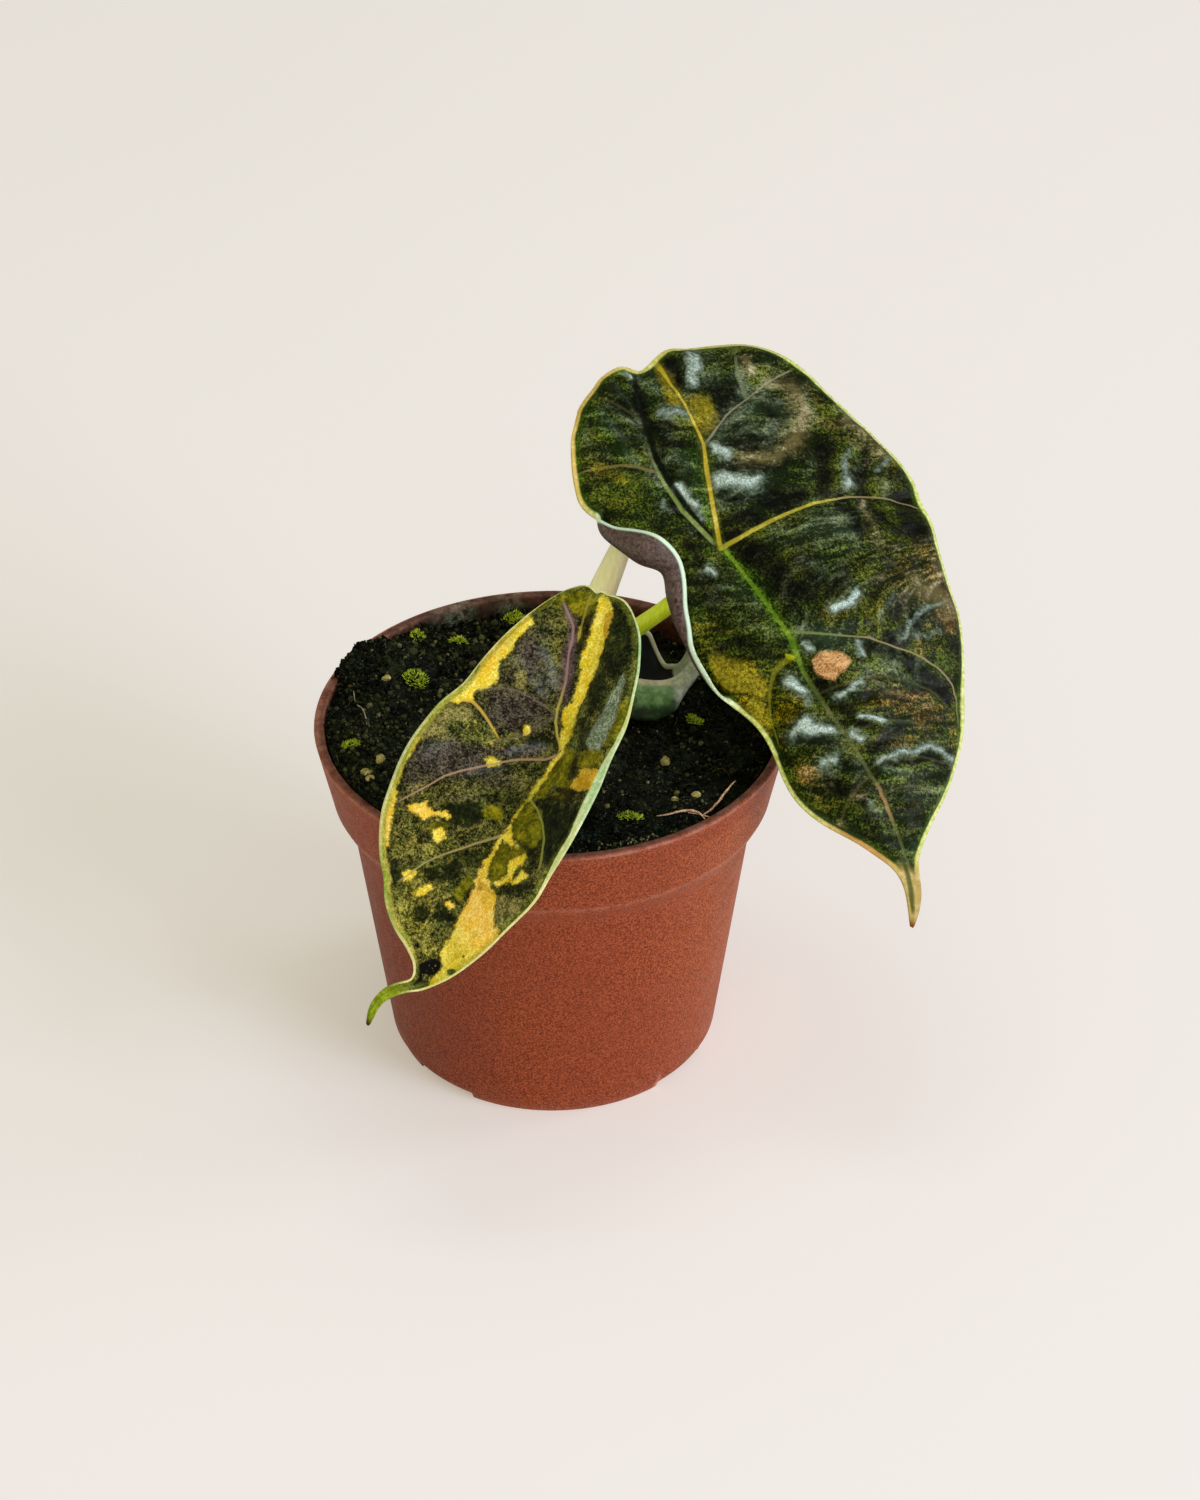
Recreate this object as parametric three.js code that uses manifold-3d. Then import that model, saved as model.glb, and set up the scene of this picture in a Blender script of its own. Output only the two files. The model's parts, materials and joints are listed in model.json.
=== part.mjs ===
import * as THREE from 'three';
import Module from 'manifold-3d';

// Potted plant: moulded plastic nursery pot, peat, two grown leaves on stalks,
// a new shoot, a small cupped leaf and loose bits on the soil.
// Millimetres, +Z up, origin at the centre of the pot's base, front towards -Y.

// ---- driving dimensions
const RIM_R = 42.5;          // outer radius at the rim
const POT_H = 67.0;          // pot height
const COLLAR_Z = 53.4;       // lower edge of the collar
const COLLAR_R = 39.6;       // collar radius at its lower edge
const NECK_Z = 48.5;         // where the shoulder meets the taper
const NECK_R = 36.5;
const FOOT_R = 30.2;         // outer radius just above the foot
const WALL = 1.3;            // wall thickness
const LIP = 2.0;             // thickness of the lip at the top
const FLOOR_T = 2.0;         // floor thickness
const GAP = 0.3;             // clearance between separate pieces
const BLADE_T = 0.7;         // leaf blade thickness
const POT_SEG = 56;          // facets round the pot
const PAD_R = 21.0;          // flat central pad under the floor
const GROOVE_R = 26.6;       // outer radius of the ring groove under the floor
const GROOVE_H = 1.0;        // depth of the ring groove
const NOTCH_H = 1.4;         // height of the drainage notches in the foot
const NOTCH_A = [-132.6, -36.5, 59.5, 155.5]; // notch directions, degrees
const NOTCH_W = 13.2;        // notch width
const HOLE_R = 2.6;          // drain holes through the floor
const HOLE_RING = 23.8;
const SOIL_MEAN = 62.6;      // level of the peat at the crown

// ---- materials
function mat(hex, roughness, metalness = 0) {
  return new THREE.MeshStandardMaterial({ color: new THREE.Color(hex), roughness, metalness });
}
const M = {
  pot: () => mat('#8f4433', 0.62),
  soil: () => mat('#191612', 0.95),
  bladeBig: () => mat('#26301a', 0.35),
  bladeSmall: () => mat('#3c3a22', 0.4),
  lime: () => mat('#9ab82e', 0.5),
  pale: () => mat('#c9cfa6', 0.55),
  juvenile: () => mat('#7d9a70', 0.6),
  root: () => mat('#a98460', 0.8),
  fibre: () => mat('#b3a58a', 0.8),
  moss: () => mat('#6f9a2c', 0.9),
  chip: () => mat('#b09a5c', 0.85),
};

// ---- helpers
function solid(name, material, verts, tris) {
  let vol = 0;
  for (const [a, b, c] of tris) {
    const p = verts[a], q = verts[b], r = verts[c];
    vol += p[0] * (q[1] * r[2] - q[2] * r[1]) - p[1] * (q[0] * r[2] - q[2] * r[0]) + p[2] * (q[0] * r[1] - q[1] * r[0]);
  }
  const g = new THREE.BufferGeometry();
  g.setAttribute('position', new THREE.BufferAttribute(new Float32Array(verts.flat()), 3));
  g.setIndex((vol < 0 ? tris.map(([a, b, c]) => [a, c, b]) : tris).flat());
  g.computeVertexNormals();
  const m = new THREE.Mesh(g, material);
  m.name = name;
  return m;
}

// closed sheet of even thickness over a grid of points: rows x columns
function sheet(name, material, pts, rows, cols, thick) {
  const P = (i, j) => pts[i * cols + j];
  const n = [];
  for (let i = 0; i < rows; i++) for (let j = 0; j < cols; j++) {
    const a = P(Math.max(i - 1, 0), j), b = P(Math.min(i + 1, rows - 1), j);
    const c = P(i, Math.max(j - 1, 0)), d = P(i, Math.min(j + 1, cols - 1));
    const u = new THREE.Vector3(b[0] - a[0], b[1] - a[1], b[2] - a[2]);
    const v = new THREE.Vector3(d[0] - c[0], d[1] - c[1], d[2] - c[2]);
    n.push(v.cross(u).normalize());
  }
  const verts = [];
  for (const s of [0.5, -0.5]) for (let k = 0; k < pts.length; k++)
    verts.push([pts[k][0] + n[k].x * thick * s, pts[k][1] + n[k].y * thick * s, pts[k][2] + n[k].z * thick * s]);
  const N = pts.length, T = [];
  const id = (i, j) => i * cols + j;
  for (let i = 0; i < rows - 1; i++) for (let j = 0; j < cols - 1; j++) {
    const a = id(i, j), b = id(i, j + 1), c = id(i + 1, j + 1), d = id(i + 1, j);
    T.push([a, c, b], [a, d, c], [a + N, b + N, c + N], [a + N, c + N, d + N]);
  }
  const loop = [];
  for (let j = 0; j < cols - 1; j++) loop.push(id(0, j));
  for (let i = 0; i < rows - 1; i++) loop.push(id(i, cols - 1));
  for (let j = cols - 1; j > 0; j--) loop.push(id(rows - 1, j));
  for (let i = rows - 1; i > 0; i--) loop.push(id(i, 0));
  for (let k = 0; k < loop.length; k++) {
    const a = loop[k], b = loop[(k + 1) % loop.length];
    T.push([a, b, b + N], [a, b + N, a + N]);
  }
  return solid(name, material, verts, T);
}

// closed round stalk along a smooth curve; first ring lies level
function stalk(name, material, ctrl, radii, rings, seg) {
  const curve = new THREE.CatmullRomCurve3(ctrl.map(p => new THREE.Vector3(...p)), false, 'centripetal');
  const verts = [], T = [];
  let nrm = new THREE.Vector3(1, 0, 0), prev = null;
  for (let i = 0; i < rings; i++) {
    const t = i / (rings - 1);
    const c = curve.getPoint(t);
    let tan = curve.getTangent(t);
    if (i === 0) tan = new THREE.Vector3(0, 0, 1);
    nrm = nrm.clone().sub(tan.clone().multiplyScalar(nrm.dot(tan))).normalize();
    const bin = tan.clone().cross(nrm);
    const f = t * (radii.length - 1), k = Math.min(Math.floor(f), radii.length - 2);
    const r = radii[k] + (radii[k + 1] - radii[k]) * (f - k);
    for (let j = 0; j < seg; j++) {
      const a = 2 * Math.PI * j / seg;
      verts.push([0, 1, 2].map(q => c.getComponent(q) + r * (Math.cos(a) * nrm.getComponent(q) + Math.sin(a) * bin.getComponent(q))));
    }
    prev = c;
  }
  for (let i = 0; i < rings - 1; i++) for (let j = 0; j < seg; j++) {
    const a = i * seg + j, b = i * seg + (j + 1) % seg;
    T.push([a, b, b + seg], [a, b + seg, a + seg]);
  }
  const c0 = verts.length; verts.push(curve.getPoint(0).toArray());
  const c1 = verts.length; verts.push(curve.getPoint(1).toArray());
  const l = (rings - 1) * seg;
  for (let j = 0; j < seg; j++) { const k = (j + 1) % seg; T.push([c0, k, j], [c1, l + j, l + k]); }
  return solid(name, material, verts, T);
}

// small irregular lump
function lump(name, material, x, y, z, sx, sy, sz, turn, detail) {
  const g = new THREE.IcosahedronGeometry(1, detail);
  const p = g.getAttribute('position');
  const key = new Map(), verts = [], idx = [];
  for (let i = 0; i < p.count; i++) {
    const k = [p.getX(i), p.getY(i), p.getZ(i)].map(v => v.toFixed(4)).join();
    if (!key.has(k)) {
      const X = p.getX(i), Y = p.getY(i), Z = p.getZ(i);
      const f = 1 + 0.16 * Math.sin(5 * X + 3 * turn) * Math.cos(4 * Y + turn) + 0.08 * Math.sin(7 * Z + 2 * turn);
      const a = X * f * sx, b = Y * f * sy, c = Z * f * sz;
      key.set(k, verts.length);
      verts.push([x + a * Math.cos(turn) - b * Math.sin(turn), y + a * Math.sin(turn) + b * Math.cos(turn), z + c]);
    }
    idx.push(key.get(k));
  }
  const T = [];
  for (let i = 0; i < idx.length; i += 3) T.push([idx[i], idx[i + 1], idx[i + 2]]);
  return solid(name, material, verts, T);
}

// ---- soil level
const smooth = (a) => { const t = Math.min(1, Math.max(0, a)); return t * t * (3 - 2 * t); };
function soilTop(x, y) {
  const calm = 1 - Math.exp(-((x - 6) ** 2 + (y - 14) ** 2) / 90);
  return SOIL_MEAN
    + 3.2 * smooth((-x - 8) / 27)
    + 2.4 * smooth((-y - 10) / 27)
    - 1.6 * Math.exp(-((x - 26) ** 2 + (y - 24) ** 2) / 220)
    + 3.7 * Math.exp(-((x + 36) ** 2 + (y - 18.5) ** 2) / 46)
    + calm * (0.45 * Math.sin(0.45 * x + 1) * Math.cos(0.38 * y) + 0.25 * Math.sin(1.1 * x) * Math.sin(0.9 * y + 2));
}

// ---- pot
const wasm = await Module();
wasm.setup();
function toManifold(geometry) {
  const p = geometry.getAttribute('position'), ix = geometry.getIndex();
  const key = new Map(), verts = [], remap = [];
  for (let i = 0; i < p.count; i++) {
    const k = [p.getX(i), p.getY(i), p.getZ(i)].map(v => v.toFixed(5)).join();
    if (!key.has(k)) { key.set(k, verts.length / 3); verts.push(p.getX(i), p.getY(i), p.getZ(i)); }
    remap.push(key.get(k));
  }
  const tri = [];
  const n = ix ? ix.count : p.count;
  for (let i = 0; i < n; i += 3) {
    const [a, b, c] = [0, 1, 2].map(q => remap[ix ? ix.getX(i + q) : i + q]);
    if (a !== b && b !== c && a !== c) tri.push(a, b, c);
  }
  return new wasm.Manifold(new wasm.Mesh({ numProp: 3, vertProperties: new Float32Array(verts), triVerts: new Uint32Array(tri) }));
}
function fromManifold(name, material, m) {
  const g = m.getMesh();
  const verts = [], tris = [];
  for (let i = 0; i < g.vertProperties.length; i += g.numProp) verts.push([g.vertProperties[i], g.vertProperties[i + 1], g.vertProperties[i + 2]]);
  for (let i = 0; i < g.triVerts.length; i += 3) tris.push([g.triVerts[i], g.triVerts[i + 1], g.triVerts[i + 2]]);
  return solid(name, material, verts, tris);
}
// ring profile turned round the axis; r = 0 points close on the axis
function turned(profile, seg) {
  const verts = [], T = [], start = [];
  for (const [r, z] of profile) {
    start.push(verts.length);
    if (r === 0) verts.push([0, 0, z]);
    else for (let j = 0; j < seg; j++) { const a = 2 * Math.PI * j / seg; verts.push([r * Math.cos(a), r * Math.sin(a), z]); }
  }
  for (let i = 0; i < profile.length - 1; i++) {
    const A = profile[i][0] === 0, B = profile[i + 1][0] === 0;
    for (let j = 0; j < seg; j++) {
      const k = (j + 1) % seg;
      const a = start[i] + (A ? 0 : j), b = start[i] + (A ? 0 : k), c = start[i + 1] + (B ? 0 : k), d = start[i + 1] + (B ? 0 : j);
      if (!A) T.push([a, b, c]);
      if (!B) T.push([a, c, d]);
    }
  }
  return [verts, T];
}
const outer = [
  [0, 0], [PAD_R, 0], [PAD_R + 0.6, GROOVE_H], [GROOVE_R - 0.6, GROOVE_H], [GROOVE_R, 0],
  [FOOT_R - 1.3, 0], [FOOT_R - 0.4, 0.6], [FOOT_R, 1.8],
  [NECK_R, NECK_Z], [NECK_R + 0.9, NECK_Z + 1.5], [COLLAR_R - 0.9, COLLAR_Z - 1.6], [COLLAR_R, COLLAR_Z],
  [RIM_R - 0.1, POT_H - 0.4], [RIM_R - 0.4, POT_H],
];
const innerR = (z) => {
  const pr = [[FLOOR_T, 0], [NECK_Z, 1], [COLLAR_Z, 2], [POT_H, 3]];
  const rr = [FOOT_R - WALL, NECK_R - WALL, COLLAR_R - WALL, RIM_R - LIP];
  for (let i = 0; i < 3; i++) if (z <= pr[i + 1][0]) return rr[i] + (rr[i + 1] - rr[i]) * (z - pr[i][0]) / (pr[i + 1][0] - pr[i][0]);
  return rr[3];
};
const inner = [
  [RIM_R - LIP + 0.3, POT_H], [RIM_R - LIP, POT_H - 0.4],
  [COLLAR_R - WALL, COLLAR_Z], [NECK_R - WALL, NECK_Z], [FOOT_R - WALL, FLOOR_T + 0.8], [FOOT_R - WALL - 1.0, FLOOR_T], [0, FLOOR_T],
];
const [pv, pt] = turned([...outer, ...inner], POT_SEG);
let pot = toManifold(solid('p', M.pot(), pv, pt).geometry);
for (const deg of NOTCH_A) {
  const a = deg * Math.PI / 180;
  const w = NOTCH_W, r0 = GROOVE_R - 0.8, r1 = FOOT_R + 2;
  const s = new THREE.BoxGeometry(r1 - r0, w, NOTCH_H * 2);
  s.translate((r0 + r1) / 2, 0, 0);
  s.rotateZ(a);
  pot = pot.subtract(toManifold(s));
  const h = new THREE.CylinderGeometry(HOLE_R, HOLE_R, FLOOR_T * 4, 14);
  h.rotateX(Math.PI / 2);
  h.translate(HOLE_RING * Math.cos(a + 0.785), HOLE_RING * Math.sin(a + 0.785), 0);
  pot = pot.subtract(toManifold(h));
}

// ---- soil body
const SOIL_SEG = 44, SOIL_RINGS = [4, 8.5, 13, 17.5, 22, 26, 30, 33.5, 36.5, 38.6, 40.2];
const sv = [], st = [];
{
  sv.push([0, 0, soilTop(0, 0)]);
  const edge = SOIL_RINGS[SOIL_RINGS.length - 1];
  for (const ring of SOIL_RINGS) for (let j = 0; j < SOIL_SEG; j++) {
    const a = 2 * Math.PI * j / SOIL_SEG;
    let r = ring;
    if (ring === edge) r = innerR(Math.min(soilTop(ring * Math.cos(a), ring * Math.sin(a)), POT_H)) * Math.cos(Math.PI / POT_SEG) - GAP - 0.05;
    const x = r * Math.cos(a), y = r * Math.sin(a);
    sv.push([x, y, soilTop(x, y)]);
  }
  const last = 1 + (SOIL_RINGS.length - 1) * SOIL_SEG;
  // sides follow the inside of the pot with a small gap
  const levels = [[59.5, 0], [COLLAR_Z, 0], [NECK_Z, 0], [FLOOR_T + 2.2, 0]];
  const cut = 1 / Math.cos(Math.PI / SOIL_SEG);
  for (const [z] of levels) for (let j = 0; j < SOIL_SEG; j++) {
    const a = 2 * Math.PI * j / SOIL_SEG;
    const r = (innerR(z) * Math.cos(Math.PI / POT_SEG) - GAP);
    sv.push([r * Math.cos(a), r * Math.sin(a), z]);
  }
  const fl = sv.length;
  for (let j = 0; j < SOIL_SEG; j++) {
    const a = 2 * Math.PI * j / SOIL_SEG, r = FOOT_R - WALL - 1.6;
    sv.push([r * Math.cos(a), r * Math.sin(a), FLOOR_T + GAP]);
  }
  const cb = sv.length;
  sv.push([0, 0, FLOOR_T + GAP]);
  for (let j = 0; j < SOIL_SEG; j++) st.push([0, 1 + j, 1 + (j + 1) % SOIL_SEG]);
  const bands = SOIL_RINGS.length - 1 + levels.length + 1;
  for (let i = 0; i < bands; i++) for (let j = 0; j < SOIL_SEG; j++) {
    const a = 1 + i * SOIL_SEG + j, b = 1 + i * SOIL_SEG + (j + 1) % SOIL_SEG;
    st.push([a, a + SOIL_SEG, b + SOIL_SEG], [a, b + SOIL_SEG, b]);
  }
  for (let j = 0; j < SOIL_SEG; j++) st.push([cb, fl + (j + 1) % SOIL_SEG, fl + j]);
}

// ---- leaf surfaces, mid-surface points in mm, rows from the notch to the drip tip,
// columns from the left margin to the right margin
const BIG_ROWS = 30, BIG_COLS = 28;
const BIG = [
  3.58,21.12,112.13, 3.74,21.71,112.52, 3.9,22.31,112.9, 4.06,22.9,113.29, 4.22,23.51,113.67, 4.38,24.12,114.05, 4.54,24.74,114.42, 4.7,25.36,114.79, 4.86,25.99,115.16, 5.7,27.43,116.02, 6.7,28.79,116.8, 7.74,30.16,117.55, 8.71,31.63,118.3, 10.73,33.31,119.12, 13.17,34.08,119.46, 15.49,33.16,119.07, 17.64,34.78,119.68, 20.53,37.81,120.73, 23.85,38.42,120.68, 27.18,39.24,120.61, 30.52,40.08,120.5, 33.87,40.82,120.28, 37.65,40.83,119.65, 41.23,39.87,118.68, 44.4,38.04,117.45, 47.18,35.54,115.96, 49.78,32.91,114.38, 52.49,30.54,112.78,
  3.8,18.14,110.22, 4.35,18.25,110.37, 4.9,18.36,110.53, 5.45,18.47,110.68, 5.99,18.58,110.84, 6.54,18.68,110.99, 7.09,18.79,111.15, 7.64,18.89,111.31, 8.19,18.99,111.46, 9.29,20.88,112.81, 10.55,22.44,113.88, 11.95,23.83,114.79, 13.53,25.11,115.57, 15.37,26.27,116.24, 17.41,27.28,116.76, 19.61,28.23,117.19, 22.06,29.45,117.61, 24.79,30.61,117.86, 27.7,31.46,117.88, 30.72,32.17,117.76, 33.81,32.64,117.48, 36.98,32.75,117.01, 40.16,32.39,116.32, 43.2,31.58,115.45, 46.09,30.49,114.43, 48.86,29.37,113.35, 51.64,28.59,112.31, 54.5,28.67,111.53,
  4.06,15.29,108.25, 4.72,15.29,108.36, 5.37,15.29,108.46, 6.02,15.29,108.57, 6.68,15.29,108.67, 7.33,15.29,108.78, 7.98,15.28,108.89, 8.64,15.28,108.99, 9.29,15.27,109.1, 10.96,16.82,110.51, 12.62,18.09,111.68, 14.35,19.22,112.67, 16.2,20.26,113.5, 18.2,21.27,114.18, 20.36,22.23,114.72, 22.68,23.16,115.13, 25.18,24.08,115.41, 27.83,24.91,115.53, 30.6,25.58,115.5, 33.46,26.08,115.32, 36.37,26.38,114.99, 39.31,26.44,114.5, 42.24,26.28,113.88, 45.1,26,113.13, 47.93,25.73,112.32, 50.75,25.66,111.51, 53.64,26.03,110.81, 56.65,27.09,110.3,
  4.66,12.57,106.28, 5.29,12.64,106.44, 5.92,12.71,106.61, 6.55,12.79,106.77, 7.17,12.86,106.93, 7.8,12.94,107.1, 8.43,13.01,107.26, 9.06,13.08,107.42, 9.69,13.15,107.59, 11.96,14.1,108.74, 14.06,14.96,109.8, 16.14,15.74,110.75, 18.25,16.51,111.56, 20.45,17.31,112.19, 22.76,18.1,112.68, 25.17,18.86,113.03, 27.69,19.56,113.25, 30.31,20.17,113.34, 33.01,20.68,113.29, 35.76,21.07,113.12, 38.56,21.34,112.82, 41.37,21.52,112.39, 44.18,21.67,111.85, 46.99,21.88,111.22, 49.81,22.23,110.56, 52.66,22.83,109.92, 55.59,23.81,109.37, 58.57,25.25,108.95,
  6.19,9.97,104.38, 6.72,10.2,104.67, 7.26,10.43,104.95, 7.79,10.66,105.24, 8.32,10.89,105.53, 8.86,11.12,105.81, 9.39,11.35,106.09, 9.93,11.59,106.38, 10.46,11.82,106.66, 12.98,11.87,107.16, 15.45,12.36,108.02, 17.82,12.91,108.86, 20.15,13.47,109.58, 22.51,14.05,110.17, 24.91,14.62,110.62, 27.38,15.16,110.95, 29.91,15.66,111.16, 32.5,16.11,111.25, 35.15,16.5,111.22, 37.83,16.83,111.09, 40.55,17.15,110.84, 43.29,17.5,110.47, 46.05,17.96,109.99, 48.84,18.53,109.45, 51.68,19.3,108.89, 54.58,20.33,108.35, 57.6,21.72,107.86, 60.84,23.59,107.47,
  10.25,5.26,104.25, 9.66,5.2,104.24, 9.1,5.36,104.1, 8.67,5.71,103.86, 8.46,6.19,103.55, 8.51,6.7,103.24, 8.8,7.16,102.97, 9.28,7.49,102.8, 9.87,7.62,102.77, 14.2,9.23,105.03, 17.07,9.88,106.12, 19.64,10.34,106.95, 22.09,10.76,107.62, 24.53,11.14,108.16, 26.97,11.51,108.58, 29.45,11.86,108.9, 31.97,12.18,109.12, 34.53,12.49,109.24, 37.13,12.8,109.25, 39.77,13.14,109.15, 42.43,13.54,108.94, 45.13,14.06,108.62, 47.87,14.72,108.21, 50.65,15.56,107.73, 53.5,16.6,107.22, 56.45,17.9,106.7, 59.57,19.51,106.2, 62.96,21.5,105.73,
  13.2,2.67,105.09, 12.36,2.06,104.63, 11.52,1.88,103.91, 10.85,2.16,103.07, 10.48,2.86,102.27, 10.49,3.83,101.67, 10.87,4.88,101.39, 11.55,5.81,101.48, 12.4,6.43,101.93, 16.34,7.35,103.54, 19.15,7.75,104.43, 21.69,8.02,105.11, 24.13,8.24,105.68, 26.55,8.43,106.16, 28.98,8.61,106.56, 31.44,8.78,106.89, 33.92,8.96,107.14, 36.45,9.17,107.29, 39,9.43,107.34, 41.6,9.79,107.28, 44.22,10.28,107.1, 46.89,10.93,106.81, 49.61,11.75,106.43, 52.38,12.77,105.98, 55.23,13.99,105.48, 58.19,15.43,104.95, 61.29,17.11,104.41, 64.6,19.04,103.87,
  17.27,-0.39,106.22, 16.03,-1.36,105.48, 14.8,-1.67,104.34, 13.83,-1.26,103.01, 13.29,-0.21,101.76, 13.31,1.27,100.83, 13.88,2.9,100.42, 14.89,4.35,100.6, 16.15,5.34,101.34, 19,5.62,102.17, 21.47,5.72,102.75, 23.83,5.77,103.25, 26.17,5.79,103.71, 28.52,5.81,104.15, 30.91,5.82,104.55, 33.32,5.84,104.9, 35.77,5.91,105.18, 38.26,6.04,105.38, 40.78,6.27,105.47, 43.34,6.66,105.44, 45.93,7.23,105.27, 48.57,7.99,104.99, 51.26,8.94,104.61, 54,10.07,104.16, 56.82,11.39,103.65, 59.72,12.88,103.1, 62.68,14.51,102.52, 65.64,16.17,101.94,
  20.27,-1.99,105.23, 19.01,-2.99,104.45, 17.76,-3.32,103.26, 16.78,-2.9,101.89, 16.25,-1.83,100.6, 16.27,-0.32,99.65, 16.86,1.35,99.23, 17.89,2.84,99.42, 19.16,3.86,100.19, 21.48,3.72,100.51, 23.66,3.58,100.85, 25.85,3.44,101.23, 28.08,3.32,101.65, 30.38,3.19,102.1, 32.72,3.07,102.53, 35.11,2.98,102.92, 37.53,2.97,103.25, 39.99,3.05,103.49, 42.48,3.27,103.61, 45,3.72,103.57, 47.56,4.38,103.39, 50.17,5.23,103.1, 52.82,6.26,102.71, 55.52,7.46,102.25, 58.28,8.82,101.73, 61.12,10.34,101.15, 64.06,12.01,100.54, 67.19,13.87,99.89,
  22.74,-2.29,101.46, 21.71,-2.82,101.14, 20.7,-2.9,100.53, 19.89,-2.52,99.76, 19.46,-1.74,98.97, 19.49,-0.72,98.33, 19.96,0.34,97.96, 20.8,1.23,97.93, 21.84,1.78,98.24, 23.57,1.47,98.33, 25.5,1.23,98.62, 27.6,1,99.04, 29.8,0.77,99.52, 32.09,0.55,100.02, 34.43,0.36,100.5, 36.81,0.22,100.94, 39.22,0.17,101.29, 41.65,0.25,101.54, 44.11,0.52,101.66, 46.6,1.03,101.6, 49.13,1.74,101.41, 51.68,2.63,101.12, 54.28,3.68,100.74, 56.92,4.9,100.27, 59.61,6.28,99.73, 62.36,7.8,99.12, 65.18,9.43,98.48, 68.05,11.13,97.83,
  23.59,-4.74,97.56, 22.56,-5.03,97.54, 21.54,-4.91,97.27, 20.74,-4.42,96.8, 20.31,-3.64,96.21, 20.33,-2.74,95.64, 20.81,-1.89,95.18, 21.65,-1.25,94.93, 22.68,-0.95,94.94, 24.7,-1,95.54, 26.83,-1.2,96.13, 29.06,-1.48,96.74, 31.36,-1.77,97.35, 33.7,-2.04,97.93, 36.07,-2.25,98.46, 38.46,-2.4,98.91, 40.86,-2.43,99.27, 43.28,-2.31,99.5, 45.71,-1.99,99.59, 48.15,-1.46,99.53, 50.62,-0.75,99.35, 53.12,0.14,99.06, 55.65,1.19,98.68, 58.21,2.41,98.2, 60.82,3.79,97.64, 63.47,5.28,97.03, 66.14,6.84,96.38, 68.81,8.41,95.72,
  23.75,-6.06,94.56, 22.92,-6.33,94.49, 22.11,-6.28,94.2, 21.47,-5.92,93.77, 21.12,-5.31,93.26, 21.14,-4.58,92.79, 21.52,-3.86,92.44, 22.2,-3.31,92.28, 23.02,-3.03,92.35, 25.57,-3.24,93.01, 28.03,-3.56,93.77, 30.47,-3.92,94.52, 32.89,-4.24,95.22, 35.31,-4.53,95.85, 37.72,-4.76,96.41, 40.11,-4.89,96.86, 42.5,-4.9,97.2, 44.88,-4.74,97.41, 47.26,-4.4,97.48, 49.65,-3.88,97.42, 52.05,-3.17,97.24, 54.48,-2.29,96.94, 56.93,-1.23,96.55, 59.42,-0.02,96.06, 61.94,1.34,95.49, 64.5,2.8,94.87, 67.08,4.32,94.23, 69.65,5.85,93.57,
  24.42,-7.97,91.15, 23.75,-8.1,91.22, 23.08,-7.97,91.12, 22.56,-7.62,90.87, 22.28,-7.1,90.53, 22.3,-6.52,90.15, 22.61,-6,89.82, 23.16,-5.64,89.59, 23.83,-5.51,89.52, 26.71,-5.6,90.57, 29.41,-5.91,91.51, 32.01,-6.28,92.38, 34.53,-6.64,93.16, 37,-6.95,93.82, 39.41,-7.19,94.38, 41.78,-7.32,94.83, 44.13,-7.31,95.14, 46.45,-7.14,95.32, 48.77,-6.8,95.37, 51.09,-6.27,95.29, 53.42,-5.57,95.09, 55.76,-4.68,94.78, 58.14,-3.63,94.36, 60.55,-2.42,93.86, 62.99,-1.07,93.29, 65.49,0.38,92.66, 68.02,1.91,92, 70.6,3.48,91.34,
  24.83,-9.78,88.68, 24.4,-9.66,88.55, 24.06,-9.42,88.34, 23.86,-9.08,88.09, 23.83,-8.69,87.83, 23.96,-8.3,87.59, 24.26,-7.97,87.41, 24.66,-7.74,87.3, 25.12,-7.64,87.29, 28.17,-7.83,88.42, 31.04,-8.19,89.47, 33.75,-8.6,90.4, 36.33,-9,91.2, 38.8,-9.34,91.87, 41.18,-9.59,92.41, 43.49,-9.72,92.82, 45.77,-9.72,93.09, 48.01,-9.55,93.24, 50.24,-9.21,93.26, 52.47,-8.68,93.15, 54.71,-7.97,92.92, 56.97,-7.08,92.58, 59.26,-6.02,92.14, 61.58,-4.81,91.62, 63.96,-3.45,91.03, 66.41,-1.99,90.38, 68.94,-0.41,89.71, 71.62,1.27,89.01,
  26.11,-11.81,86.58, 25.75,-11.74,86.33, 25.47,-11.54,86.04, 25.33,-11.24,85.75, 25.32,-10.87,85.49, 25.46,-10.48,85.3, 25.73,-10.11,85.2, 26.08,-9.83,85.2, 26.49,-9.66,85.31, 29.94,-10.03,86.51, 33,-10.46,87.64, 35.77,-10.91,88.6, 38.32,-11.34,89.37, 40.72,-11.72,90, 43.01,-12,90.48, 45.23,-12.16,90.84, 47.39,-12.16,91.07, 49.53,-12,91.17, 51.66,-11.65,91.14, 53.78,-11.12,90.99, 55.92,-10.4,90.73, 58.08,-9.5,90.35, 60.27,-8.43,89.88, 62.51,-7.2,89.33, 64.8,-5.84,88.71, 67.16,-4.37,88.05, 69.62,-2.79,87.37, 72.22,-1.13,86.67,
  27.87,-14.05,84.4, 27.58,-13.88,84.19, 27.38,-13.62,83.95, 27.31,-13.3,83.7, 27.36,-12.96,83.49, 27.54,-12.62,83.31, 27.82,-12.33,83.21, 28.17,-12.12,83.18, 28.56,-12,83.23, 32.3,-12.27,84.85, 35.4,-12.71,86.07, 38.07,-13.21,86.96, 40.49,-13.71,87.64, 42.74,-14.14,88.17, 44.88,-14.47,88.58, 46.95,-14.65,88.87, 48.98,-14.67,89.04, 50.99,-14.51,89.08, 53,-14.15,89.01, 55.01,-13.59,88.8, 57.04,-12.85,88.49, 59.09,-11.94,88.07, 61.17,-10.85,87.56, 63.3,-9.62,86.97, 65.48,-8.26,86.34, 67.73,-6.79,85.67, 70.05,-5.24,85, 72.48,-3.62,84.35,
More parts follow.
